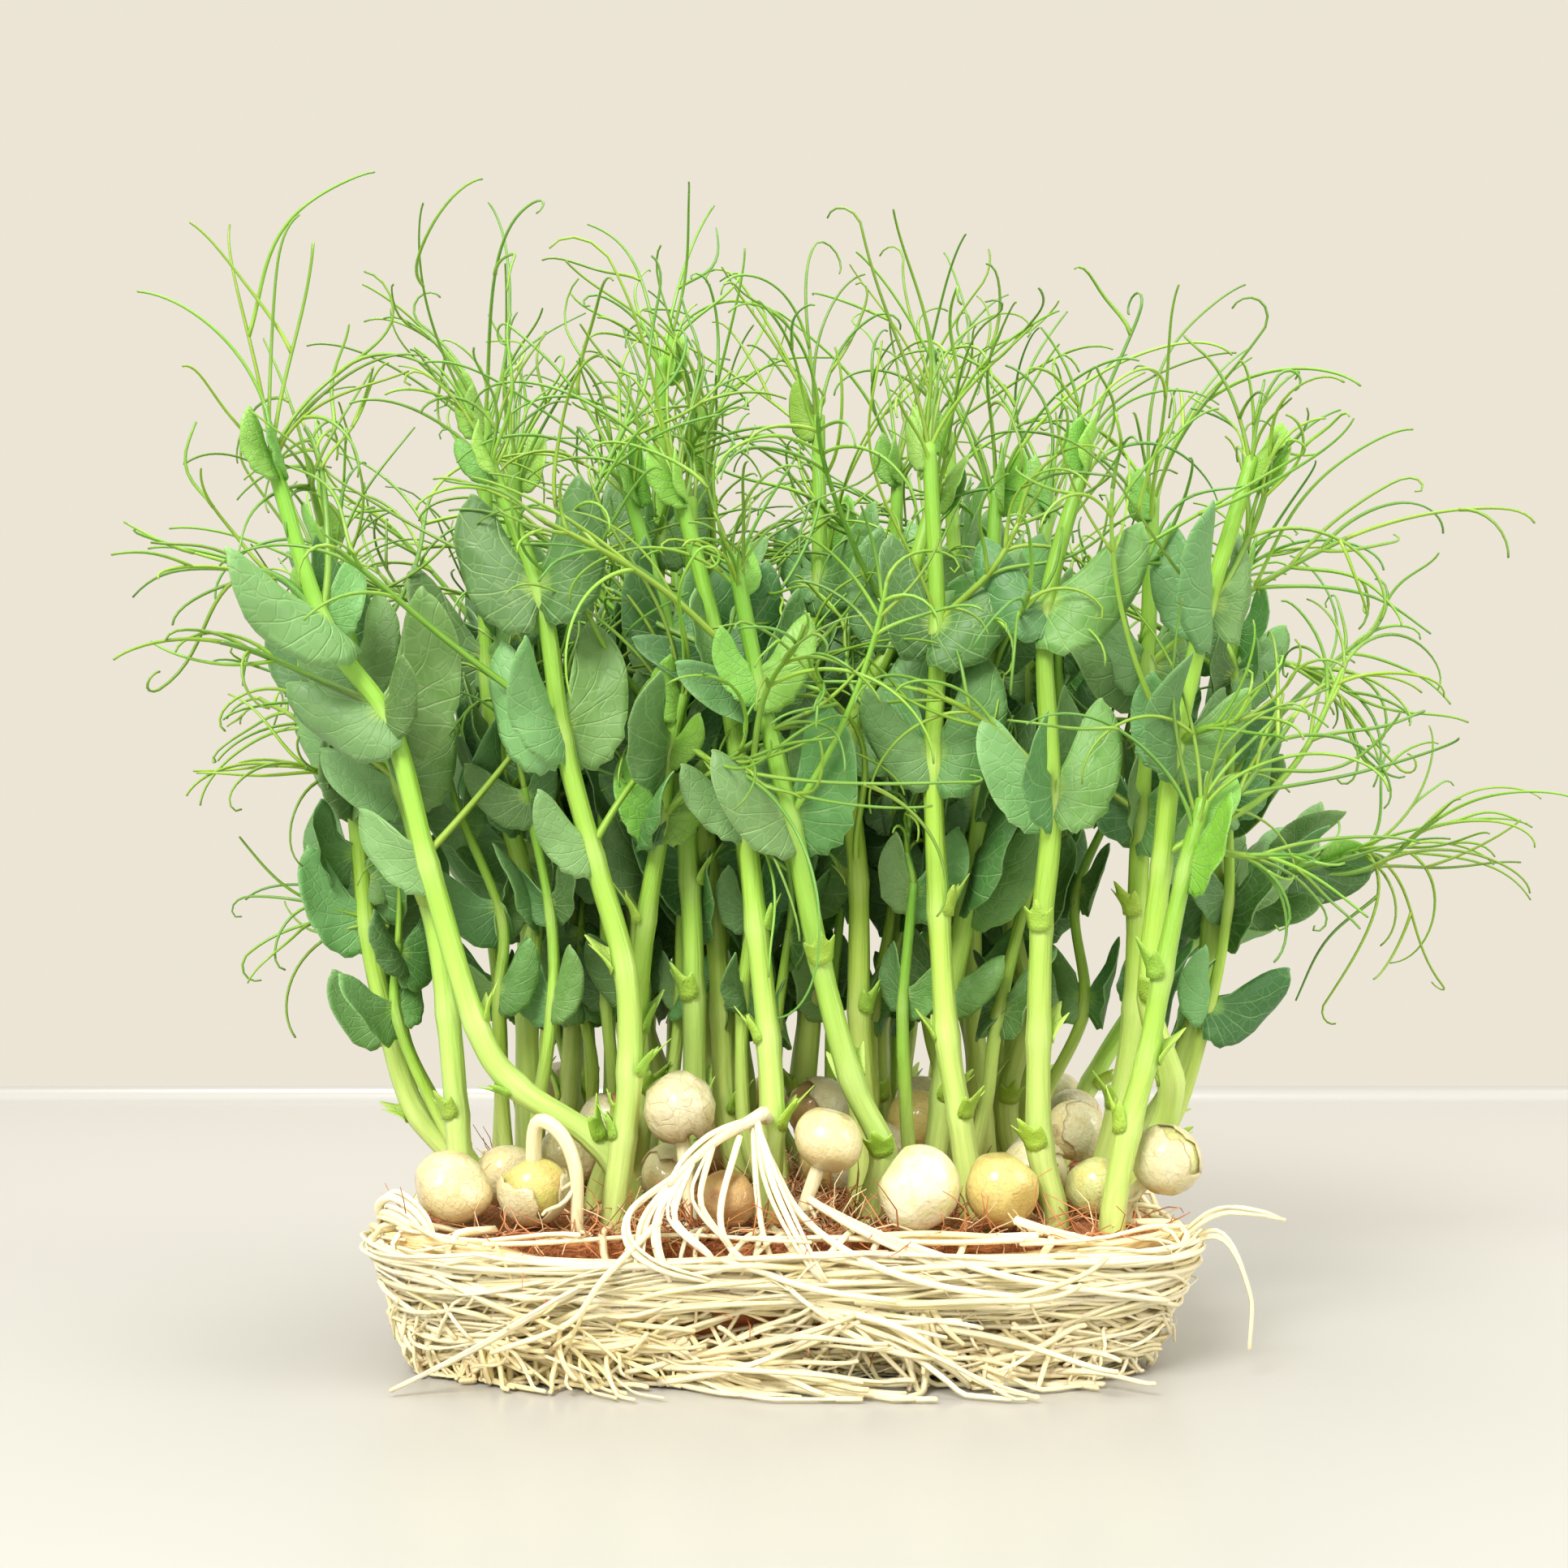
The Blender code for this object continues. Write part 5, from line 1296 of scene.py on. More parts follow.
def node(tree, kind, inputs, **settings):
    """Add a node, choose its settings, and fill its inputs."""
    made = tree.nodes.new("ShaderNode" + kind)
    for name, value in settings.items():
        setattr(made, name, value)
    return fill(tree, made, inputs)


def maths(tree, operation, a, b=0.0):
    return node(tree, "Math", {0: a, 1: b}, operation=operation).outputs[0]


def plus(tree, a, b):
    return maths(tree, "ADD", a, b)


def times(tree, a, b):
    return maths(tree, "MULTIPLY", a, b)


def mixed(tree, share, a, b):
    """A colour between a and b."""
    return node(tree, "Mix", {0: share, 6: a, 7: b}, data_type="RGBA").outputs[2]


def laid_over(tree, mask, strength, below, above):
    """A colour, with a second one over it where the mask is, at a strength."""
    return mixed(tree, times(tree, mask, strength), below, above)


def joined(tree, x, y, z):
    return node(tree, "CombineXYZ", {0: x, 1: y, 2: z}).outputs[0]


def spread(tree, value, low, high, to_low=0.0, to_high=1.0):
    """A value stretched from one range to another and held inside it."""
    return node(tree, "MapRange", {0: value, 1: low, 2: high, 3: to_low, 4: to_high}).outputs[0]


def carried(tree, label):
    """The three numbers of an attribute that the mesh carries."""
    vector = node(tree, "Attribute", {}, attribute_name=label).outputs["Vector"]
    return node(tree, "SeparateXYZ", {0: vector}).outputs


def colour(red, green, blue):
    return (red, green, blue, 1.0)


def new_group(name, inputs, outputs):
    """An empty node group with named sockets, and its input and output nodes."""
    group = bpy.data.node_groups.new(name, "ShaderNodeTree")
    for label, kind, value in inputs:
        made = group.interface.new_socket(label, in_out="INPUT", socket_type="NodeSocket" + kind)
        if value is not None:
            made.default_value = value
    for label, kind in outputs:
        group.interface.new_socket(label, in_out="OUTPUT", socket_type="NodeSocket" + kind)
    return group, group.nodes.new("NodeGroupInput").outputs, group.nodes.new("NodeGroupOutput").inputs


def use_group(tree, group, inputs):
    made = tree.nodes.new("ShaderNodeGroup")
    made.node_tree = group
    return fill(tree, made, inputs).outputs


print("node helpers ready")

# %% [markdown]
# Three effects serve several finishes: cloudy patches, a small change of tint, and streaks along a tube.

# %% Shared effects
def make_mottle():
    """Cloudy patches: a mask that is 1 in the patches."""
    group, given, out = new_group(
        "cloudy patches",
        [("Vector", "Vector", None), ("Scale", "Float", 300.0), ("Cover", "Float", 0.5),
         ("Softness", "Float", 0.1)],
        [("Mask", "Float")])
    noise = node(group, "TexNoise", {"Vector": given["Vector"], "Scale": given["Scale"], "Detail": 4.0})
    edge = maths(group, "SUBTRACT", 1.0, given["Cover"])
    low = maths(group, "SUBTRACT", edge, given["Softness"])
    high = plus(group, edge, given["Softness"])
    group.links.new(spread(group, noise.outputs[0], low, high), out["Mask"])
    return group


def make_tint():
    """Moves a colour in hue and lightness by a random number of the piece."""
    group, given, out = new_group(
        "tint from piece to piece",
        [("Color", "Color", None), ("Random", "Float", 0.5), ("Hue", "Float", 0.02), ("Light", "Float", 0.2)],
        [("Color", "Color")])
    swing = spread(group, given["Random"], 0.0, 1.0, -1.0, 1.0)
    second = maths(group, "FRACT", times(group, given["Random"], 7.31))
    hue = plus(group, 0.5, times(group, swing, given["Hue"]))
    swing_back = maths(group, "SUBTRACT", second, 0.5)
    light = plus(group, 1.0, times(group, swing_back, given["Light"]))
    moved = node(group, "HueSaturation", {"Hue": hue, "Value": light, "Color": given["Color"]})
    group.links.new(moved.outputs[0], out["Color"])
    return group


def make_streaks():
    """Fine streaks along a tube, from its share along and its turn round."""
    group, given, out = new_group(
        "streaks along a tube",
        [("Along", "Float", 0.0), ("Round", "Float", 0.0), ("Stretch", "Float", 6.0),
         ("Count", "Float", 9.0)],
        [("Mask", "Float")])
    angle = times(group, given["Round"], math.tau)
    x = times(group, maths(group, "COSINE", angle), given["Count"])
    y = times(group, maths(group, "SINE", angle), given["Count"])
    z = times(group, given["Along"], given["Stretch"])
    place = joined(group, x, y, z)
    noise = node(group, "TexNoise", {"Vector": place, "Scale": 1.0, "Detail": 3.0})
    group.links.new(spread(group, noise.outputs[0], 0.35, 0.65), out["Mask"])
    return group


MOTTLE, TINT, STREAKS = make_mottle(), make_tint(), make_streaks()


def patches(tree, vector, scale, cover, softness):
    """The mask of cloudy patches at a place."""
    given = {"Vector": vector, "Scale": scale, "Cover": cover, "Softness": softness}
    return use_group(tree, MOTTLE, given)["Mask"]


def fibres(tree, place, stretch, detail, twist):
    """Short lines that all run one way: noise in a place that is stretched more one way than another."""
    drawn = node(tree, "Mapping", {0: place, 3: stretch}).outputs[0]
    noise = {"Vector": drawn, "Scale": 1.0, "Detail": detail, "Distortion": twist}
    return node(tree, "TexNoise", noise).outputs[0]


def tinted(tree, body, random_tone, hue, light):
    """A colour moved a little by the random number of its piece."""
    given = {"Color": body, "Random": random_tone, "Hue": hue, "Light": light}
    return use_group(tree, TINT, given)["Color"]


def streaks(tree, stretch, count):
    """The share along a tube, and the mask of the streaks on it."""
    share, turn, _ = carried(tree, "place")
    given = {"Along": share, "Round": turn, "Stretch": stretch, "Count": count}
    return share, use_group(tree, STREAKS, given)["Mask"]


print("node groups:", [group.name for group in bpy.data.node_groups])

# %% [markdown]
# The veins of a clasping leaf fan out from where it meets the stem, and a fine net joins them. Both are drawn
# in the leaf's own coordinates, so they grow with the leaf. A vein is where the angle round the root comes
# near one of a few set angles. The net is the edges of a Voronoi pattern.

# %% The vein pattern
VEIN_FAN = 2.9
VEIN_WIDE = 0.0042
VEIN_BEND = -0.55


def make_veins():
    """Masks of the main veins and of the fine net, in leaf coordinates."""
    group, given, out = new_group(
        "leaf veins",
        [("Out", "Float", 0.0), ("Up", "Float", 0.0), ("Random", "Float", 0.0)],
        [("Main", "Float"), ("Net", "Float")])
    u = plus(group, given["Out"], 0.03)
    v = plus(group, given["Up"], 0.02)
    far = maths(group, "SQRT", plus(group, times(group, u, u), times(group, v, v)))
    bent = plus(group, maths(group, "ARCTAN2", v, u), times(group, far, VEIN_BEND))
    place = joined(group, u, v, given["Random"])
    wobble = node(group, "TexNoise", {"Vector": place, "Scale": 3.0, "Detail": 1.0})
    bent = plus(group, bent, times(group, wobble.outputs[0], 0.3))
    turns = times(group, bent, VEIN_FAN)
    off = maths(group, "ABSOLUTE", maths(group, "SUBTRACT", maths(group, "FRACT", turns), 0.5))
    wide = times(group, off, times(group, far, 1.0 / VEIN_FAN))
    group.links.new(spread(group, wide, VEIN_WIDE * 0.3, VEIN_WIDE * 1.9, 1.0, 0.0), out["Main"])
    leaf = joined(group, given["Out"], given["Up"], given["Random"])
    cells = node(group, "TexVoronoi", {"Vector": leaf, "Scale": 11.0}, feature="DISTANCE_TO_EDGE")
    group.links.new(spread(group, cells.outputs["Distance"], 0.0, 0.09, 1.0, 0.0), out["Net"])
    return group


VEINS = make_veins()
print("vein pattern:", VEINS.name)

# %% [markdown]
# Plant tissue lets light in a little way and gives it back, warmer from roots and greener from leaves. The
# Principled shader does this with its Subsurface values: how much, how deep in metres, and how far each
# colour travels. They stay plain numbers on the shader itself, as the other uniform values do.

# %% One material
WARM_SCATTER = (1.0, 0.8, 0.5)
GREEN_SCATTER = (0.6, 1.0, 0.3)


def new_finish(name, roughness, scatter=None, **others):
    """A material with one Principled shader. scatter is how much, how deep, and how far each colour goes."""
    made = bpy.data.materials.new(name)
    made.use_nodes = True
    values = {"Roughness": roughness, **others}
    if scatter:
        values.update(zip(("Subsurface Weight", "Subsurface Scale", "Subsurface Radius"), scatter))
    fill(made.node_tree, made.node_tree.nodes["Principled BSDF"], values)
    return made, made.node_tree


def relief(tree, height, distance, strength):
    """Bump from a height value. distance is its real depth in metres."""
    bump = {"Height": height, "Distance": distance, "Strength": strength}
    return node(tree, "Bump", bump).outputs[0]


def wired(made, body, normal=None, roughness=None):
    """The material, once its colour and what else is given are linked to its shader."""
    given = {"Base Color": body, "Normal": normal, "Roughness": roughness}
    links = {label: value for label, value in given.items() if value is not None}
    fill(made.node_tree, made.node_tree.nodes["Principled BSDF"], links)
    return made


print("material helpers ready")

# %% [markdown]
# A stem is whitish where it stood in the dark, then lime, then green. Its tube carries the height up the
# stem, and that number picks between three colours.

# %% The stem finish
STEM_PALE = colour(0.65, 0.73, 0.25)
STEM_LIME = colour(0.42, 0.63, 0.085)
STEM_MID = colour(0.22, 0.45, 0.04)
STEM_JOINT = colour(0.62, 0.75, 0.28)


def stem_finish():
    """Whitish lime where the light never came, then lime, then green, with paler joints and fine ribs."""
    made, tree = new_finish("shoot stem", 0.42, (0.2, 0.0015, GREEN_SCATTER))
    rise, random_tone, joint = carried(tree, "tone")
    _, streak = streaks(tree, 14.0, 2.2)
    low = mixed(tree, spread(tree, rise, 0.0, 0.42), STEM_PALE, STEM_LIME)
    body = mixed(tree, spread(tree, rise, 0.35, 0.95), low, STEM_MID)
    body = laid_over(tree, joint, 0.3, body, STEM_JOINT)
    body = laid_over(tree, streak, 0.22, body, STEM_MID)
    body = tinted(tree, body, random_tone, 0.012, 0.22)
    rough = spread(tree, streak, 0.0, 1.0, 0.36, 0.5)
    return wired(made, body, relief(tree, streak, 0.0002, 0.4), rough)


print("stem finish ready")

# %% [markdown]
# A pea leaf is matt and a little blue from a thin bloom of wax, with a paler back and root. The age that each
# leaf carries makes it bright when young. Past GROWN the same number paints it darker, partly as the green of
# an old leaf and partly as painted shade deep in the bed.

# %% The leaf finish
LEAF_GREEN = colour(0.085, 0.25, 0.038)
LEAF_BLOOM = colour(0.175, 0.36, 0.115)
# Painted shade: a dark green for the leaves deep in the bed, partly the darker colour of old leaves.
LEAF_PAINTED_SHADE = colour(0.025, 0.105, 0.02)
LEAF_YOUNG = colour(0.25, 0.53, 0.04)
LEAF_VEIN = colour(0.30, 0.50, 0.18)
LEAF_ROOT = colour(0.34, 0.54, 0.12)
LEAF_UNDER = colour(0.21, 0.39, 0.15)


def leaf_finish():
    """Green under a grey waxy bloom, with pale veins, a yellow-green root and a paler back."""
    made, tree = new_finish("leaf", 0.5, (0.15, 0.0008, GREEN_SCATTER))
    u, v, s = carried(tree, "place")
    age_and_shade, random_tone, under = carried(tree, "tone")
    shift = joined(tree, u, v, random_tone)
    bloom = patches(tree, shift, 6.0, 0.55, 0.22)
    body = laid_over(tree, bloom, 0.75, LEAF_GREEN, LEAF_BLOOM)
    body = laid_over(tree, under, 0.6, body, LEAF_UNDER)
    body = mixed(tree, spread(tree, age_and_shade, 0.0, GROWN, 0.85, 0.0), body, LEAF_YOUNG)
    # Past GROWN the leaf goes towards painted shade, for the inside of the bed.
    body = mixed(tree, spread(tree, age_and_shade, GROWN, 1.0, 0.0, 0.75), body, LEAF_PAINTED_SHADE)
    veins = use_group(tree, VEINS, {"Out": u, "Up": v, "Random": random_tone})
    body = laid_over(tree, veins["Net"], 0.16, body, LEAF_VEIN)
    body = laid_over(tree, veins["Main"], 0.45, body, LEAF_VEIN)
    reach = plus(tree, times(tree, u, u), times(tree, v, v))
    body = mixed(tree, spread(tree, reach, 0.0, 0.012, 0.75, 0.0), body, LEAF_ROOT)
    body = mixed(tree, spread(tree, s, 0.95, 1.0, 0.0, 0.35), body, LEAF_VEIN)
    body = tinted(tree, body, random_tone, 0.018, 0.3)
    rough = spread(tree, bloom, 0.0, 1.0, 0.4, 0.62)
    height = maths(tree, "SUBTRACT", times(tree, veins["Net"], -0.35), veins["Main"])
    return wired(made, body, relief(tree, height, 0.00025, 0.5), rough)


print("leaf finish ready")

# %% [markdown]
# Tendrils are smooth green wires, lime at the foot, with a darker tip. The share along the tube drives this.

# %% The tendril finish
TENDRIL_GREEN = colour(0.23, 0.43, 0.035)
TENDRIL_BLUE = colour(0.09, 0.25, 0.04)
TENDRIL_TIP = colour(0.12, 0.17, 0.04)


def tendril_finish():
    """Smooth yellow-green wire whose last few millimetres go dark."""
    made, tree = new_finish("tendril", 0.4, (0.1, 0.0008, GREEN_SCATTER))
    share, streak = streaks(tree, 9.0, 1.2)
    first, second, _ = carried(tree, "tone")
    body = mixed(tree, second, TENDRIL_GREEN, TENDRIL_BLUE)
    body = mixed(tree, spread(tree, share, 0.0, 0.35, 0.5, 0.0), body, STEM_LIME)
    body = mixed(tree, spread(tree, share, 0.93, 1.0, 0.0, 0.6), body, TENDRIL_TIP)
    body = laid_over(tree, streak, 0.25, body, STEM_LIME)
    body = tinted(tree, body, first, 0.015, 0.3)
    return wired(made, body, relief(tree, streak, 0.0001, 0.3))


SHOOT_LOOKS = [stem_finish(), leaf_finish(), tendril_finish()]
print("shoot finishes:", [look.name for look in SHOOT_LOOKS])

# %% [markdown]
# ## The shoots
# Each plant becomes one piece: stem, bracts low down, leaf pairs, a folded young pair near the tip, and its
# tendrils. It stands for the CAD node of the same plant.

# %% Build the shoots
BRACT_POINTS = (2, 3, 4)
YOUNG_CUP, YOUNG_CURL = -1.3, 0.6


def draw_young_pair(surface, rng, shoot, point):
    """Two small bright leaves that still lie folded against the stem."""
    azimuth = any_turn(rng)
    for side in (-1, 1):
        axes = blade_frame(shoot.up(point), azimuth, side, rng.uniform(0.05, 0.3), rng.uniform(0.9, 1.3))
        length, bend, age_and_shade = rng.uniform(7.0, 10.5), rng.uniform(-0.3, 0.5), rng.uniform(0.0, 0.3)
        root = shoot.joint(point, 1.0)
        draw_leaf(surface, rng, root, axes, length, YOUNG_CUP, bend, age_and_shade, False, YOUNG_CURL)


def make_shoot(shoot):
    """Everything of one plant in one piece."""
    name = f"shoot_{shoot.index + 1:02d}"
    rng = draws(f"fine {shoot.index}")
    surface = Surface()
    for plant in (shoot, *shoot.side_stems):
        draw_stem(surface, rng, plant)
        for leaf in plant.leaves:
            draw_leaf(surface, rng, *leaf)
    azimuth = any_turn(rng)
    for point in BRACT_POINTS:
        azimuth += math.pi + rng.uniform(-0.5, 0.5)
        if point not in shoot.leafy and point < len(shoot.path) - 2:
            draw_bract(surface, rng, shoot.path[point], shoot.up(point), azimuth, STEM_FOOT * 1.05,
                       rng.uniform(3.0, 4.6))
    draw_young_pair(surface, rng, shoot, len(shoot.path) - 1)
    for plant in (shoot, *shoot.side_stems):
        draw_tendrils(surface, rng, plant)
    make_piece(name + "_fine", surface, SHOOT_LOOKS, [name])
    return surface.triangles()


print("shoot triangles:", sum(make_shoot(shoot) for shoot in shoots))

# %% [markdown]
# ## Peas
# A soaked pea is nearly round, a little flattened where it pressed on another, with a soft dimple and a scar
# where it hung in its pod. Some have torn skins, and one has split into its two halves. The skin is a second
# sheet that starts at one pole and ends in a ragged, curling edge.

# %% Pea shapes
BEAK_LONG, BEAK_WIDE = 0.16, 0.1
# Peas pressed on each other in the pod, so each has a few flat sides. They start this far from its middle.
FLAT_SIDES = 4
FLAT_FROM = (0.80, 0.93)
GLOBE_SIZES = {True: (36, 22), False: (22, 14)}


def own_axes(rng):
    """A random rotation as a 3 x 3 array."""
    turn = Euler((any_turn(rng), any_turn(rng), any_turn(rng)))
    return np.array(turn.to_matrix())


def globe(across, tall):
    """Points of a ball of radius one as rows from pole to pole, without the poles."""
    phi = np.arange(across) * math.tau / across
    theta = np.linspace(0.0, math.pi, tall + 1)[1:-1]
    ring = np.stack([np.cos(phi), np.sin(phi), np.zeros(across)], axis=1)
    rows = np.sin(theta)[:, None, None] * ring[None] + np.cos(theta)[:, None, None] * UPWARD
    return rows.reshape(-1, 3)


def any_pole(rng):
    """A direction that is as likely to point any way as another."""
    return unit(np.array([rng.gauss(0, 1), rng.gauss(0, 1), rng.gauss(0, 1)]))


GLOBES = {}
for fine, (across_count, tall) in GLOBE_SIZES.items():
    GLOBES[fine] = (np.vstack([globe(across_count, tall), [[0, 0, 1]], [[0, 0, -1]]]),
                    *tube_faces(tall - 1, across_count))


def draw_pea(surface, rng, centre, radius, look, fine, dimple, beak):
    """A pea with soft dents, and a beak if a direction is given. place is the direction from its middle."""
    axes = own_axes(rng)
    way, quads, tris = GLOBES[fine]
    lumps = np.zeros(len(way))
    for _ in range(5):
        pole = any_pole(rng)
        lumps += rng.uniform(-0.6, 0.3) * np.exp(-((1 - way @ pole) / rng.uniform(0.05, 0.3)))
    if beak is not None:
        lumps += BEAK_LONG / dimple * np.exp(-(1 - way @ (unit(np.array(beak)) @ axes)) / BEAK_WIDE)
    shape = way * (1.0 + dimple * lumps)[:, None]
    for _ in range(FLAT_SIDES):
        pole = any_pole(rng)
        shape -= pole * (np.maximum(shape @ pole - rng.uniform(*FLAT_FROM), 0.0) * 0.75)[:, None]
    shape[:, 2] *= rng.uniform(0.84, 0.95)
    points = centre + radius * shape @ axes.T
    points[:, 2] = np.maximum(points[:, 2], centre[2] - radius * 0.98)
    surface.add(points, quads[:, ::-1], tris[:, ::-1], look, way, (rng.random(), rng.random(), 0.0))


SKIN_ROUND = 36
SKIN_RINGS = (0.0, 0.25, 0.5, 0.72, 0.88, 1.0)


def draw_skin(surface, rng, centre, radius, pole, open_at, look, flare=0.07):
    """A torn seed coat, ragged and lifting at its edge. pole is the middle of what it covers."""
    pole = unit(np.array(pole, dtype=float))
    side = unit(np.cross(pole, (0.31, 0.2, 0.93)))
    over = np.cross(pole, side)
    phases = [any_turn(rng) for _ in range(3)]
    turn = np.arange(SKIN_ROUND) * math.tau / SKIN_ROUND
    ragged = 1.0 + 0.14 * np.sin(2 * turn + phases[0]) + 0.09 * np.sin(5 * turn + phases[1])
    ragged += 0.05 * np.sin(11 * turn + phases[2])
    rim = np.stack([np.cos(turn) * ragged, np.sin(turn) * ragged], axis=1)

    def shape(u, v, s):
        far = np.sqrt(u * u + v * v)
        theta = far * open_at
        turned_to = np.arctan2(v, u)
        facing = (np.cos(theta)[:, None] * pole + np.sin(theta)[:, None]
                  * (np.cos(turned_to)[:, None] * side + np.sin(turned_to)[:, None] * over))
        lifted = radius * (1.015 + flare * np.maximum(s - 0.6, 0.0) ** 2 * 3.0)
        return centre + facing * lifted[:, None], facing

    sheet(surface, rim, (0.0, 0.0), shape, 0.22, look, (rng.random(), rng.random(), 0.0), SKIN_RINGS)


print("points of a ball, fine and plain:", [len(ball[0]) for ball in GLOBES.values()])

# %% [markdown]
# Soaked pea skin is waxy and wet, so its shader has a clear coat. Patches, cracks and the scar are placed by
# the direction from the pea's middle. One function makes all kinds of pea from different colours.

# %% Pea finishes
CREAM = colour(0.70, 0.59, 0.30)
CREAM_PALE = colour(0.77, 0.71, 0.44)
PEA_WET = colour(0.80, 0.78, 0.56)
PEA_TAN = colour(0.58, 0.40, 0.16)
PEA_GREEN = colour(0.56, 0.58, 0.15)
PEA_LIGHT_GREEN = colour(0.66, 0.68, 0.28)
PEA_YELLOW = colour(0.70, 0.57, 0.19)
PEA_BROWN = colour(0.42, 0.22, 0.09)
SCAR = colour(0.36, 0.22, 0.10)


def pea_finish(name, base, patch, cover, cracks, coat=0.6, roughness=0.28):
    """Waxy wet skin: a pale colour with cloudy patches, fine cracks and the small dark scar."""
    coated = {"Coat Weight": coat, "Coat Roughness": 0.12}
    made, tree = new_finish(name, roughness, (0.25, 0.003, WARM_SCATTER), **coated)
    way = node(tree, "Attribute", {}, attribute_name="place").outputs["Vector"]
    random_tone, _, _ = carried(tree, "tone")
    shift = joined(tree, random_tone, random_tone, random_tone)
    shifted = node(tree, "VectorMath", {0: way, 1: shift}).outputs[0]
    body = mixed(tree, patches(tree, shifted, 1.6, cover, 0.14), base, patch)
    speck = patches(tree, shifted, 9.0, 0.42, 0.12)
    body = laid_over(tree, speck, 0.18, body, PEA_TAN)
    cells = node(tree, "TexVoronoi", {"Vector": shifted, "Scale": 2.6}, feature="DISTANCE_TO_EDGE")
    crack = spread(tree, cells.outputs["Distance"], 0.0, 0.022, cracks, 0.0)
    body = mixed(tree, crack, body, PEA_TAN)
    _, _, up = carried(tree, "place")
    body = mixed(tree, spread(tree, up, 0.965, 0.985, 0.0, 0.6), body, SCAR)
    body = tinted(tree, body, random_tone, 0.008, 0.12)
    rough = spread(tree, speck, 0.0, 1.0, roughness, roughness + 0.16)
    wrinkle = maths(tree, "SUBTRACT", times(tree, speck, 0.3), crack)
    return wired(made, body, relief(tree, wrinkle, 0.0005, 0.5), rough)


PALE_PEA, CRACKED_PEA, SPLIT_PEA, WHITE_PEA, TAN_PEA, DENTED_PEA, BROWN_PEA, PEA_SKIN, PEA_SHOOT = range(9)
ROOT_IVORY = colour(0.90, 0.82, 0.54)


def radicle_finish():
    """Smooth white root skin with a faint yellow grain."""
    made, tree = new_finish("young root", 0.4, (0.2, 0.002, WARM_SCATTER))
    share, streak = streaks(tree, 9.0, 1.5)
    body = laid_over(tree, streak, 0.5, CREAM_PALE, ROOT_IVORY)
    body = mixed(tree, spread(tree, share, 0.8, 1.0, 0.0, 0.3), body, PEA_TAN)
    return wired(made, body, relief(tree, streak, 0.0002, 0.4))


PEA_FINISHES = [
    pea_finish("pale pea", CREAM_PALE, CREAM, 0.55, 0.15),
    pea_finish("cracked pea", CREAM, CREAM_PALE, 0.5, 0.55),
    pea_finish("split pea", PEA_GREEN, PEA_YELLOW, 0.55, 0.2),
    pea_finish("white pea", PEA_WET, PEA_LIGHT_GREEN, 0.42, 0.08, coat=0.5),
    pea_finish("tan pea", PEA_YELLOW, PEA_TAN, 0.3, 0.3),
    pea_finish("dented pea", PEA_LIGHT_GREEN, PEA_YELLOW, 0.4, 0.35),
    pea_finish("brown pea", PEA_TAN, PEA_BROWN, 0.5, 0.3),
    pea_finish("torn pea skin", CREAM_PALE, CREAM, 0.5, 0.25, coat=0.25),
    radicle_finish(),
]
print("pea finishes:", len(PEA_FINISHES))

# %% [markdown]
# The front peas are given one by one, as they lie: which finish, and which part of the skin is torn. The
# pairs behind them take a finish by a seeded draw.

# %% Build the peas
SHOWN_PEA_LOOKS = (CRACKED_PEA, SPLIT_PEA, PALE_PEA, WHITE_PEA, PALE_PEA, WHITE_PEA, TAN_PEA, DENTED_PEA,
                   DENTED_PEA, PALE_PEA, BROWN_PEA, PALE_PEA)
BACK_PEA_LOOKS = (PALE_PEA, CRACKED_PEA, CRACKED_PEA, TAN_PEA, BROWN_PEA)
BACK_TORN_SHARE = 0.6
DIMPLE, DEEP_DIMPLE = 0.07, 0.16
INSIDE_SKIN = 0.965
# Torn skins by pea: the middle of what each skin covers, and how far over the pea it reaches.
TORN_SKINS = {
    1: (((-0.7, -0.3, -0.6), 1.15), ((0.75, 0.1, -0.45), 1.0)),
    3: (((-0.35, -0.25, 0.9), 2.5),),
    8: (((-0.55, -0.45, -0.6), 1.7), ((0.7, 0.2, 0.5), 1.0)),
    2: (((0.3, 0.2, 0.9), 1.3),),
    9: (((-0.5, -0.2, 0.8), 1.2),),
}
# Peas drawn out to a blunt point where the root left them.
BEAKED = {5: (-0.35, -0.35, -0.87), 0: (0.9, -0.2, -0.2)}
PEA_SIDES = 10
SIDE_ROOTS, SIDE_ROOT_SIDES = 4, 5
SIDE_ROOT_THICK = (0.35, 0.2)


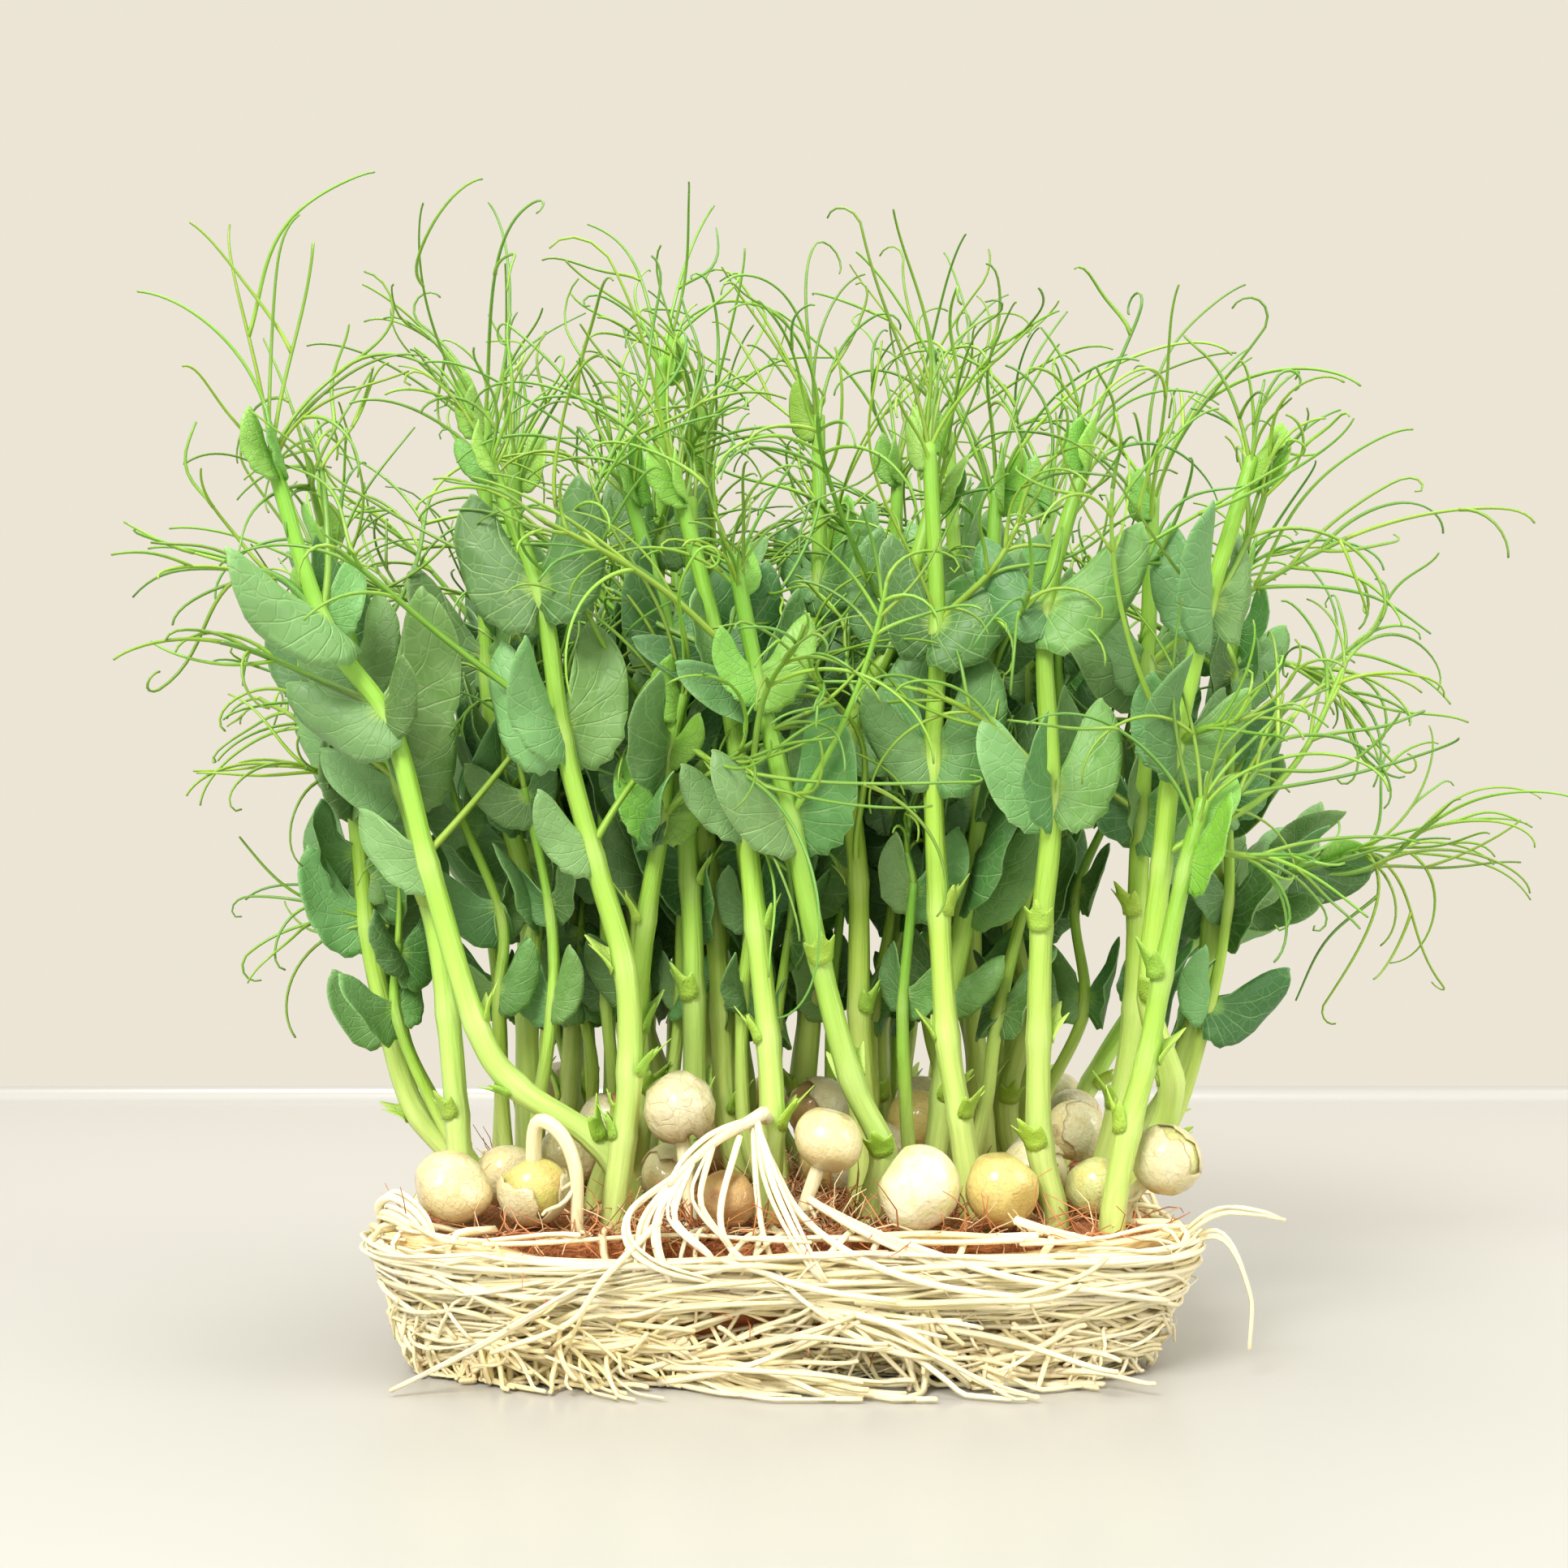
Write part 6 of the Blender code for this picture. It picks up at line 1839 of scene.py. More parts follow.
def make_pea(index, pea):
    """A pea or a pair of them, with its torn skin and its root."""
    name = f"pea_{index + 1:02d}"
    rng = draws(f"fine {name}")
    surface = Surface()
    shown = index < len(SHOWN_PEAS)
    torn = TORN_SKINS.get(index, ())
    for centre, radius in pea.balls:
        look = SHOWN_PEA_LOOKS[index] if shown else rng.choice(BACK_PEA_LOOKS)
        dimple = DEEP_DIMPLE if look in (DENTED_PEA, SPLIT_PEA) else DIMPLE
        draw_pea(surface, rng, centre, radius * (INSIDE_SKIN if torn else 1.0), look, shown, dimple,
                 BEAKED.get(index))
        for pole, open_at in torn:
            draw_skin(surface, rng, centre, radius * 0.97, pole, open_at, PEA_SKIN)
        if not shown and rng.random() < BACK_TORN_SHARE:
            pole = scattered(rng, (-1, 1), (-1, 0.2), (-0.2, 1))
            draw_skin(surface, rng, centre, radius * 0.98, pole, rng.uniform(0.8, 1.4), PEA_SKIN)
    if pea.foot is not None:
        line = smooth_line(pea.foot, 0.7)
        tube(surface, line, taper(len(line), RADICLE_THICK * 1.15, RADICLE_THICK * 0.8), PEA_SIDES, PEA_SHOOT,
             (rng.random(), rng.random(), 0.0))
        for _ in range(SIDE_ROOTS):
            k = rng.randrange(len(line) // 3, len(line) - 2)
            out = scattered(rng, (-1, 1), (-1, 0.3), (-0.9, -0.2))
            fine_root = walk(line[k], out, rng.uniform(3.0, 7.0), rng.uniform(-1, 1), 0.0, UPWARD + 0.1, rng)
            fine_root[:, 2] = np.maximum(fine_root[:, 2], COIR_TOP + 0.2)
            tube(surface, fine_root, taper(len(fine_root), *SIDE_ROOT_THICK), SIDE_ROOT_SIDES, PEA_SHOOT,
                 (rng.random(), 0.5, 0.0))
    make_piece(name + "_fine", surface, PEA_FINISHES, [name])
    return surface.triangles()


print("pea triangles:", sum(make_pea(index, pea) for index, pea in enumerate(peas)))

# %% [markdown]
# ## The root block
# The roots hit the wall of the tray, turned, and ran round and round inside it, so the block has the shape of
# the tray without a tray. Its outside is a rounded rectangle that widens towards the rim. Every strand is
# placed in the wall's own coordinates, a turn round it and a height up it, and then laid on that shape.

# %% The tray-shaped wall
def quadrant(half, corner, t):
    """A quarter of a rounded rectangle, from the middle of its front side to the middle of its right side."""
    flat, arc, side = half[0] - corner, math.pi / 2 * corner, half[1] - corner
    run = t * (flat + arc + side)
    if run < flat:
        return run, -half[1]
    if run < flat + arc:
        turn = (run - flat) / corner
        return flat + corner * math.sin(turn), -side - corner * math.cos(turn)
    return half[0], -side + run - flat - arc


def rounded(half, corner, turn):
    """A point of a rounded rectangle. turn runs from 0 to 1, anticlockwise from the middle of the front."""
    quarter, t = divmod(turn % 1.0 * 4.0, 1.0)
    x, y = quadrant(half, corner, t if quarter in (0, 2) else 1.0 - t)
    return {0: (x, y), 1: (x, -y), 2: (-x, -y), 3: (-x, y)}[int(quarter)]


# The lowest part curls in under the block, and the front is worn back low in its middle.
TUCK, TUCK_TOP = 3.0, 5.0
HOLLOW_DEPTH = 2.4


def wall_point(turn, z, out=0.0):
    """A point on the tray-shaped outside of the roots, moved out by a distance."""
    rise = z / RIM_HEIGHT
    out -= TUCK * max(0.0, 1.0 - z / TUCK_TOP) ** 2
    half = [BASE_HALF[i] + (RIM_HALF[i] - BASE_HALF[i]) * rise + out for i in range(2)]
    x, y = rounded(half, max(CORNER + out, 1.0), turn)
    return np.array([x, y, z])


def rim_height(turn):
    """The rim stands higher at the front corners and sags between them."""
    angle = turn * math.tau
    lift = 2.6 * math.exp(-((turn - 0.875) / 0.03) ** 2) + 1.8 * math.exp(-((turn - 0.13) / 0.035) ** 2)
    return RIM_HEIGHT - 0.6 + 0.5 * math.sin(3 * angle) + 0.35 * math.sin(7 * angle + 1.0) + lift


def hollow_at(turn, z):
    """How deep the block is worn back low in the middle of the front, where the coir shows."""
    centre = (turn + 0.5) % 1.0 - 0.5
    return HOLLOW_DEPTH * math.exp(-((centre - 0.012) / 0.055) ** 2 - ((z - 6.2) / 2.8) ** 2)


print("rim height at the middle of the front:", round(rim_height(0.0), 1))

# %% [markdown]
# Under the strands that can be told apart, the roots are a felt. One rough, closed cup stands for it, so that
# no gap between strands shows through the block.

# %% The felt under the strands
FELT_ROUND, FELT_ROWS = 200, 16
FELT_SINK = 0.9
FELT_LOOK, STRAND_LOOK = 0, 1


def draw_felt(surface, rng):
    """The cup of matted roots that the loose strands lie on, closed over its rim and inside."""
    turns = np.arange(FELT_ROUND) / FELT_ROUND
    waves = [(rng.randint(9, 60), any_turn(rng), rng.uniform(0.06, 0.22)) for _ in range(9)]

    def rough(turn, row):
        return sum(size * math.sin(math.tau * count * turn + phase + row * count * 0.13)
                   for count, phase, size in waves)

    rows = [[wall_point(t, 0.0, -1.6) for t in turns]]
    for row in range(1, FELT_ROWS + 1):
        heights = [rim_height(t) * (row / FELT_ROWS) for t in turns]
        rows.append([wall_point(t, z, rough(t, row) - FELT_SINK - hollow_at(t, z))
                     for t, z in zip(turns, heights)])
    rows.append([wall_point(t, rim_height(t) - 0.5, GAP - WALL) for t in turns])
    rows.append([wall_point(t, FLOOR, GAP - WALL) for t in turns])
    points = np.vstack([np.array(row) for row in rows] + [[[0, 0, 0.0]], [[0, 0, FLOOR]]])
    place = np.zeros((len(points), 3))
    for i in range(len(rows)):
        place[i * FELT_ROUND:(i + 1) * FELT_ROUND, 0] = turns
        place[i * FELT_ROUND:(i + 1) * FELT_ROUND, 1] = i / FELT_ROWS
    tone = np.zeros((len(points), 3))
    for i, point in enumerate(points):
        turn = i % FELT_ROUND / FELT_ROUND
        tone[i, 0] = hollow_at(turn, point[2]) / HOLLOW_DEPTH
    quads, tris = tube_faces(len(rows), FELT_ROUND)
    surface.add(points, quads, tris, FELT_LOOK, place, tone)


print("felt rows:", FELT_ROWS)

# %% [markdown]
# Strands come in a few habits: long ones that circle under the rim, slanting ones that dive, short stiff ones
# that brush out at the lower left, ones that hang over the rim from the coir, and fine hairs. Each habit is
# one call with its own ranges, so the balance of the whole can be changed a line at a time.

# %% Strands that follow the wall
STRAND_SIDES = 4
STRAND_SPACING = 2.0
WALL_LENGTH = 320.0


def wall_line(rng, start, length, z_from, z_to, out, wave, lift):
    """A strand laid on the wall, a little in and out of the felt, and how deep a hollow it crosses."""
    count = max(4, int(abs(length) * WALL_LENGTH / STRAND_SPACING))
    phases = [any_turn(rng) for _ in range(3)]
    beats = rng.uniform(0.7, 1.9) * max(1.0, abs(length) * 8)
    points, bared = [], 0.0
    for t in np.linspace(0.0, 1.0, count + 1):
        turn = (start + length * t) % 1.0
        z = z_from + (z_to - z_from) * t + wave * math.sin(beats * t * 2 + phases[0])
        z += 0.4 * wave * math.sin(beats * t * 5 + phases[1])
        z = min(max(z, 0.6), rim_height(turn) + 0.3)
        bared = max(bared, hollow_at(turn, z))
        away = out + 0.45 * math.sin(beats * t * 3 + phases[2]) - hollow_at(turn, z)
        away += lift * math.sin(math.pi * t)
        points.append(wall_point(turn, z, away))
    return np.array(points), bared


def draw_root(surface, rng, points, thick, yellow=0.0, end=0.55, sides=STRAND_SIDES):
    """One strand. tone holds a random number, how yellow it is, and another random number."""
    tube(surface, points, taper(len(points), thick, thick * end), sides, STRAND_LOOK,
         (rng.random(), yellow, rng.random()))


# Most strands that would cross the worn place, where it is deeper than this, are left out.
HOLLOW_BARE, BARE_SHARE = 1.3, 0.85


def draw_habit(surface, rng, count, turn_range, length_range, z_range, climb, out_range, thick_range,
               wave, lift, yellow):
    """Many strands of one habit, each drawn from the same ranges."""
    for _ in range(count):
        length = rng.uniform(*length_range) * rng.choice((-1, 1))
        z, start = rng.uniform(*z_range), rng.uniform(*turn_range)
        z_to, out = z + rng.uniform(-climb, climb), rng.uniform(*out_range)
        points, bared = wall_line(rng, start, length, z, z_to, out, wave, lift)
        if bared > HOLLOW_BARE and rng.random() < BARE_SHARE:
            continue
        draw_root(surface, rng, points, rng.uniform(*thick_range), min(1.0, yellow * rng.uniform(0.3, 2.0)))


print("strand sides:", STRAND_SIDES)

# %% [markdown]
# Some strands brush out in tufts, fan out low on the front, cross the rim or circle under the block.

# %% Strands that leave the wall
# The least height of a strand, how far a tuft stands off the wall, how far forward a fan may reach, and what
# share of its way beyond the block a stray strand keeps, in x and in y.
FLOOR_ROOM = 0.56
BRUSH_LIMIT = 1.0
FAN_LIMIT = -48.8
STRAY_SHARE = np.array([0.3, 0.75])
UNDER_HEIGHT = 0.42


def clear_of_floor(points):
    points[:, 2] = np.maximum(points[:, 2], FLOOR_ROOM)
    return points


def pressed_in(points):
    """Points beyond the tapered block drawn back to it, but for a small share of how far they stray."""
    rise = (points[:, 2] / RIM_HEIGHT)[:, None]
    half = np.array(BASE_HALF) + (np.array(RIM_HALF) - np.array(BASE_HALF)) * rise
    half = half - TUCK * np.maximum(0.0, 1.0 - points[:, 2] / TUCK_TOP)[:, None] ** 2
    beyond = np.maximum(np.abs(points[:, :2]) - half, 0.0)
    points[:, :2] -= np.sign(points[:, :2]) * beyond * (1.0 - STRAY_SHARE)
    return points


def draw_brush(surface, rng, count, turn, z, spread_turn, reach, yellow):
    """A tuft of roots that fan out from one place on the wall and bend down over it."""
    for _ in range(count):
        start = wall_point(turn + rng.gauss(0, spread_turn), z + rng.gauss(0, 1.8), -1.2)
        outward = unit(wall_point(turn, z, 1.0) - wall_point(turn, z, 0.0))
        sideways = np.cross((0.0, 0.0, 1.0), outward)
        heading = unit(outward * rng.uniform(0.2, 0.6) + sideways * rng.gauss(0, 0.8)
                       + np.array([0, 0, rng.uniform(-0.8, 0.3)]))
        length, bow, curl = rng.uniform(0.5, 1.0) * reach, rng.uniform(0.0, 2.2), rng.uniform(-0.6, 0.6)
        axis = np.cross(outward, heading) + outward * rng.gauss(0, 1.1)
        line = walk(start, heading, length, bow, curl, axis, rng)
        out_by = np.maximum((line - wall_point(turn, z, BRUSH_LIMIT)) @ outward, 0.0)
        line -= out_by[:, None] * outward * 0.7
        line = pressed_in(clear_of_floor(line))
        draw_root(surface, rng, line, rng.uniform(0.2, 0.42), yellow * rng.uniform(0.5, 1.2), 0.8)


def draw_low_fan(surface, rng, count, start, heading, length, yellow):
    """Strands that leave one place low on the front and run beside each other, slowly parting."""
    for _ in range(count):
        origin = np.array(start) + [rng.gauss(0, 2.2), rng.uniform(-0.8, 0.5), rng.gauss(0, 1.1)]
        way = unit(np.array(heading)) + [rng.gauss(0, 0.12), rng.gauss(0, 0.1), rng.gauss(0, 0.2)]
        reach, bow, curl = length * rng.uniform(0.45, 1.0), rng.uniform(-0.6, 0.9), rng.uniform(-0.8, 0.8)
        axis = np.array([rng.gauss(0, 0.3), 1.0, rng.gauss(0, 0.4)])
        line = clear_of_floor(walk(origin, way, reach, bow, curl, axis, rng))
        line[:, 1] = np.maximum(line[:, 1], FAN_LIMIT)
        draw_root(surface, rng, line, rng.uniform(0.3, 0.55), yellow * rng.uniform(0.4, 1.4), 0.6)


def draw_on_coir(surface, rng, count):
    """Strands that wander along the rim on top of the coir."""
    for _ in range(count):
        start, length = rng.uniform(*FRONT), rng.uniform(0.04, 0.12) * rng.choice((-1, 1))
        steps = max(5, int(abs(length) * WALL_LENGTH / STRAND_SPACING))
        inset, phase = rng.uniform(1.5, 4.5), any_turn(rng)
        line = []
        for i in range(steps + 1):
            t = i / steps
            turn = (start + length * t) % 1.0
            inward = inset * math.sin(math.pi * min(1.0, t + 0.12)) + 0.8 * math.sin(7 * t + phase)
            z = max(rim_height(turn), COIR_TOP) + 0.5 + 0.4 * math.sin(5 * t + phase)
            line.append(wall_point(turn, z, -inward))
        draw_root(surface, rng, np.array(line), rng.uniform(0.28, 0.5), 0.12, 0.7)


def draw_over_rim(surface, rng, count, turn_range):
    """Roots that come out of the coir, cross the rim and run down the wall."""
    for _ in range(count):
        turn = rng.uniform(*turn_range)
        drift = rng.uniform(-0.035, 0.035)
        rim = rim_height(turn)
        over = max(rim, COIR_TOP)
        points = [wall_point(turn, COIR_TOP + rng.uniform(-0.5, 0.6), -rng.uniform(5, 12)),
                  wall_point(turn + drift * 0.3, over + rng.uniform(0.2, 1.2), -rng.uniform(1.8, 3.2)),
                  wall_point(turn + drift * 0.6, rim - 1.2, 0.4),
                  wall_point(turn + drift, rim - rng.uniform(3.5, 6.0), rng.uniform(0.2, 0.7)),
                  wall_point(turn + drift * 2.4, rng.uniform(2.5, 8.0), rng.uniform(-0.6, 0.6))]
        draw_root(surface, rng, smooth_line(points, STRAND_SPACING), rng.uniform(0.3, 0.6), 0.1)


def draw_underside(surface, rng, count):
    """Strands that circle flat under the block, seen only when it is turned over."""
    for _ in range(count):
        inset = rng.uniform(1.5, 34.0)
        start, length = rng.random(), rng.uniform(0.05, 0.2)
        steps = max(4, int(length * (WALL_LENGTH - inset * 6) / 2.4))
        points = np.array([wall_point(start + length * i / steps, 0.45, -inset - 1.2 * math.sin(i * 0.7))
                           for i in range(steps + 1)])
        points[:, 2] = UNDER_HEIGHT
        draw_root(surface, rng, points, rng.uniform(0.3, UNDER_HEIGHT), 0.3)


print("strand tools ready")

# %% [markdown]
# Roots are ivory rather than white, some of them yellow or tan. The felt in the gaps is painted darker, as
# roots in shadow, and turns to the brown of coir where the front is worn back.

# %% The root finishes
FELT_SHADE = colour(0.78, 0.55, 0.25)
FELT_LIGHT = colour(0.91, 0.77, 0.44)
COIR_RUST = colour(0.44, 0.14, 0.045)
ROOT_WHITE = colour(0.94, 0.88, 0.67)
ROOT_YELLOW = colour(0.93, 0.77, 0.38)
ROOT_TAN = colour(0.80, 0.58, 0.30)


def felt_finish():
    """The matted layer in the gaps: yellowish strands in shadow, and coir brown where it is worn back."""
    made, tree = new_finish("matted roots", 0.75, (0.1, 0.002, WARM_SCATTER))
    place = node(tree, "TexCoord", {}).outputs["Object"]
    lines = fibres(tree, place, (260.0, 260.0, 1500.0), 4.0, 1.2)
    body = mixed(tree, spread(tree, lines, 0.35, 0.65), FELT_SHADE, FELT_LIGHT)
    worn, _, _ = carried(tree, "tone")
    patch = patches(tree, place, 260.0, 0.55, 0.15)
    bare = spread(tree, times(tree, worn, plus(tree, patch, 0.5)), 0.2, 0.6)
    body = mixed(tree, bare, body, COIR_RUST)
    return wired(made, body, relief(tree, lines, 0.0006, 0.8))


def strand_finish():
    """Ivory root, from white to yellow, with faint rings and a browner tip."""
    made, tree = new_finish("root strand", 0.5, (0.2, 0.0012, WARM_SCATTER))
    share, streak = streaks(tree, 18.0, 1.3)
    random_tone, yellow, second = carried(tree, "tone")
    body = mixed(tree, random_tone, ROOT_WHITE, ROOT_IVORY)
    body = mixed(tree, yellow, body, ROOT_YELLOW)
    dull = spread(tree, second, 0.92, 1.0, 0.0, 0.7)
    body = mixed(tree, dull, body, ROOT_TAN)
    body = laid_over(tree, streak, 0.2, body, ROOT_YELLOW)
    body = mixed(tree, spread(tree, share, 0.9, 1.0, 0.0, 0.4), body, ROOT_TAN)
    body = tinted(tree, body, random_tone, 0.006, 0.2)
    rough = spread(tree, streak, 0.0, 1.0, 0.42, 0.62)
    return wired(made, body, relief(tree, streak, 0.0002, 0.4), rough)


ROOT_LOOKS = [felt_finish(), strand_finish()]
print("root finishes:", [look.name for look in ROOT_LOOKS])

# %% [markdown]
# The tables below hold the balance of the whole: one row for each habit, tuft or fan.

# %% Build the roots
FRONT = (-0.17, 0.17)
ROUND = (0.0, 1.0)

# Habits by rows: count, turn, length, height, climb, out, thickness, wave, lift, yellow.
HABITS = (
    (100, ROUND, (0.05, 0.20), (0.8, 15.0), 4.0, (-0.9, -0.1), (0.30, 0.50), 1.4, 0.0, 0.15),
    (80, ROUND, (0.06, 0.22), (9.0, 15.6), 2.5, (-0.3, 0.5), (0.30, 0.52), 1.0, 0.3, 0.12),
    (75, FRONT, (0.06, 0.20), (9.5, 15.6), 2.2, (0.0, 1.0), (0.25, 0.52), 0.9, 0.9, 0.10),
    (200, FRONT, (0.025, 0.10), (3.5, 14.0), 7.0, (-0.2, 0.8), (0.22, 0.48), 1.6, 1.1, 0.2),
    (130, ROUND, (0.02, 0.10), (0.6, 13.0), 7.0, (-0.5, 0.5), (0.25, 0.50), 1.5, 0.6, 0.22),
    (80, ROUND, (0.03, 0.12), (0.5, 4.0), 2.0, (-0.6, 0.4), (0.28, 0.50), 0.8, 0.2, 0.3),
    (90, ROUND, (0.02, 0.09), (1.0, 15.0), 6.0, (0.3, 1.4), (0.10, 0.20), 2.2, 1.2, 0.1),
)
# Tufts by rows: count, turn, height, spread, reach, yellow.
TUFTS = (
    (230, -0.105, 4.8, 0.024, 19.0, 0.75), (110, -0.060, 4.2, 0.016, 17.0, 0.6),
    (60, 0.02, 3.4, 0.022, 18.0, 0.25), (80, 0.105, 5.0, 0.025, 17.0, 0.35),
    (50, -0.135, 8.5, 0.012, 13.0, 0.3),
)
# Low fans by rows: count, start, heading, length, yellow.
LOW_FANS = (
    (26, (-11.0, -42.0, 2.0), (1.0, -0.20, -0.03), 31.0, 0.25),
    (12, (-12.0, -41.0, 4.5), (-1.0, -0.1, -0.25), 12.0, 0.3),
    (12, (16.0, -43.0, 9.5), (0.35, -0.12, -1.0), 13.0, 0.35),
    (20, (6.0, -43.6, 9.5), (1.0, -0.06, -0.22), 34.0, 0.15),
    (16, (24.0, -41.0, 3.0), (1.0, -0.12, -0.05), 17.0, 0.3),
)
# Strands beside the bent fingers. The first joins the arm to the foot of its stem.
FRONT_STRANDS = (
    (((-2.2, -29.9, 30.2), (-2.6, -31.3, 31.0), (-3.6, -32.7, 30.5), (-6.0, -35.3, 29.5)), 0.95),
    (((-3.8, -33.2, 29.5), (-3.2, -39.0, 22.0), (-2.0, -42.5, 16.5), (0.5, -45.3, 12.5),
      (5.0, -46.0, 9.0)), 0.42),
    (((-5.5, -35.3, 28.6), (-7.6, -41.2, 20.0), (-5.0, -44.2, 15.5), (2.5, -46.0, 12.6),
      (13.0, -46.2, 11.0)), 0.48),
    (((-2.4, -34.0, 27.0), (2.0, -40.5, 20.0), (9.0, -44.9, 15.6), (18.0, -46.4, 12.8),
      (31.0, -46.0, 11.0)), 0.5),
    (((8.0, -40.5, 18.8), (16.0, -44.2, 16.6), (26.0, -46.2, 13.8), (37.0, -44.8, 11.8),
      (45.5, -41.0, 10.0)), 0.48),
    (((-14.5, -44.6, 20.0), (-21.0, -46.4, 13.5), (-25.0, -46.4, 8.5), (-34.0, -45.6, 5.0)), 0.45),
)


ON_COIR, UNDER_BLOCK = 7, 90
OVER_RIM = ((5, FRONT), (36, ROUND))


def make_roots():
    """The felt, every habit of strand on it, and the loose roots with two thinner ones beside each."""
    rng = draws("fine roots")
    surface = Surface()
    draw_felt(surface, rng)
    for row in HABITS:
        draw_habit(surface, rng, *row)
    for row in TUFTS:
        draw_brush(surface, rng, *row)
    for row in LOW_FANS:
        draw_low_fan(surface, rng, *row)
    draw_on_coir(surface, rng, ON_COIR)
    for count, turn_range in OVER_RIM:
        draw_over_rim(surface, rng, count, turn_range)
    draw_underside(surface, rng, UNDER_BLOCK)
    for points, thick in FRONT_STRANDS:
        draw_root(surface, rng, smooth_line(points, 1.2), thick, 0.1, 0.7, sides=6)
    for points, thick in LOOSE_ROOTS:
        line = smooth_line(points, 1.0)
        draw_root(surface, rng, line, thick * 0.8, 0.05, 0.6, sides=7)
        for _ in range(2):
            offset = scattered(rng, (-1.3, 1.3), (-0.5, 0.2), (-0.6, 0.9))
            fade = np.sin(np.linspace(0.0, math.pi, len(line)))[:, None]
            draw_root(surface, rng, clear_of_floor(line + offset * fade), thick * 0.55, 0.1, 0.6)
    make_piece("root_mat_fine", surface, ROOT_LOOKS, ["root_mat"])
    return surface.triangles()


print("root triangles:", make_roots())

# %% [markdown]
# ## The coir mat
# Coir is the short tough hair of a coconut husk, pressed into a mat. The mat itself is a lumpy slab. What
# gives it its look is the hair on top: dark rust, some of it straw-coloured, lying every way and poking up.

# %% Build the coir mat
COIR_ROUND, COIR_RINGS = 96, 22
COIR_HAIRS, COIR_LOW_HAIRS = 1900, 150
HAIR_SIDES = 3
SLAB_LOOK, HAIR_LOOK = 0, 1
STRAW_SHARE, LOW_STRAW_SHARE = 0.3, 0.2


def coir_bump(x, y):
    return (0.35 * math.sin(x * 0.42 + 1.0) * math.cos(y * 0.37) + 0.25 * math.sin(x * 1.1 + y * 0.9)
            + 0.18 * math.sin(x * 2.3 - y * 1.7))


def draw_slab(surface):
    """The mat: a lumpy top in rings, a side, and a flat underside."""
    turns = [i / COIR_ROUND for i in range(COIR_ROUND)]
    rows = [[wall_point(t, FLOOR + GAP, -WALL) for t in turns]]
    rows.append([wall_point(t, COIR_TOP - 0.9, -WALL) for t in turns])
    edge = np.array([wall_point(t, COIR_TOP, -WALL - 0.5) for t in turns])
    for ring in range(COIR_RINGS):
        share = 1.0 - ring / COIR_RINGS
        row = edge * (share, share, 1.0)
        row[:, 2] = [COIR_TOP - 0.35 + coir_bump(x, y) for x, y, _ in row]
        rows.append(row)
    points = np.vstack([np.array(row) for row in rows] + [[[0, 0, FLOOR + GAP]], [[0, 0, COIR_TOP - 0.35]]])
    quads, tris = tube_faces(len(rows), COIR_ROUND)
    surface.add(points, quads, tris, SLAB_LOOK, (0.0, 0.0, 0.0), (0.3, 0.0, 0.0))


def draw_hair(surface, rng, start, heading, length, straw_share):
    """One husk hair. It uses every second point of its walk."""
    straw = float(rng.random() < straw_share)
    axis = scattered(rng, (-1, 1), (-1, 1), (-1, 1))
    line = walk(start, heading, length, rng.uniform(-2.2, 2.2), rng.uniform(-1.5, 1.5), axis, rng)
    line = clear_of_floor(line)[::2]
    tube(surface, line, taper(len(line), rng.uniform(0.09, 0.18), 0.06), HAIR_SIDES, HAIR_LOOK,
         (rng.random(), straw, rng.random()))


def make_coir():
    """The slab, hairs on top of it that are thickest at the front, and hairs in the worn place below."""
    rng = draws("fine coir")
    surface = Surface()
    draw_slab(surface)
    for k in range(COIR_HAIRS):
        inset = rng.random() ** 1.6
        turn = rng.gauss(0.0, 0.075) if k % 5 < 3 else rng.random()
        x, y, _ = wall_point(turn, COIR_TOP, -WALL - 0.5)
        x, y = x * (1.0 - inset * 0.98), y * (1.0 - inset * 0.98)
        start = np.array([x, y, COIR_TOP - 0.4 + coir_bump(x, y)])
        bearing = any_turn(rng)
        heading = np.array([math.cos(bearing), math.sin(bearing), rng.uniform(-0.1, 0.6)])
        draw_hair(surface, rng, start, heading, rng.uniform(4.0, 12.0), STRAW_SHARE)
    for _ in range(COIR_LOW_HAIRS):
        turn, z = 0.012 + rng.gauss(0, 0.035), rng.uniform(2.0, 9.0)
        start = wall_point(turn, z, -3.4)
        heading = scattered(rng, (-1.0, 1.0), (-0.6, -0.1), (-0.5, 0.4))
        draw_hair(surface, rng, start, heading, rng.uniform(3.0, 8.0), LOW_STRAW_SHARE)
    make_piece("coir_mat_fine", surface, COIR_FINISHES, ["coir_mat"])
    return surface.triangles()


COIR_DARK = colour(0.24, 0.065, 0.022)
COIR_LIGHT = colour(0.66, 0.28, 0.11)
STRAW = colour(0.84, 0.64, 0.38)


def coir_slab_finish():
    """Pressed husk: rust and dark brown in short crossing lines."""
    made, tree = new_finish("pressed coir", 0.9)
    place = node(tree, "TexCoord", {}).outputs["Object"]
    lines = maths(tree, "MAXIMUM", *(fibres(tree, place, stretch, 3.0, 1.5) for stretch in
                                     ((2600.0, 500.0, 900.0), (450.0, 2400.0, 900.0))))
    body = mixed(tree, spread(tree, lines, 0.45, 0.7), COIR_DARK, COIR_LIGHT)
    patch = patches(tree, place, 180.0, 0.4, 0.2)
    body = laid_over(tree, patch, 0.35, body, COIR_RUST)
    return wired(made, body, relief(tree, lines, 0.0008, 1.0))


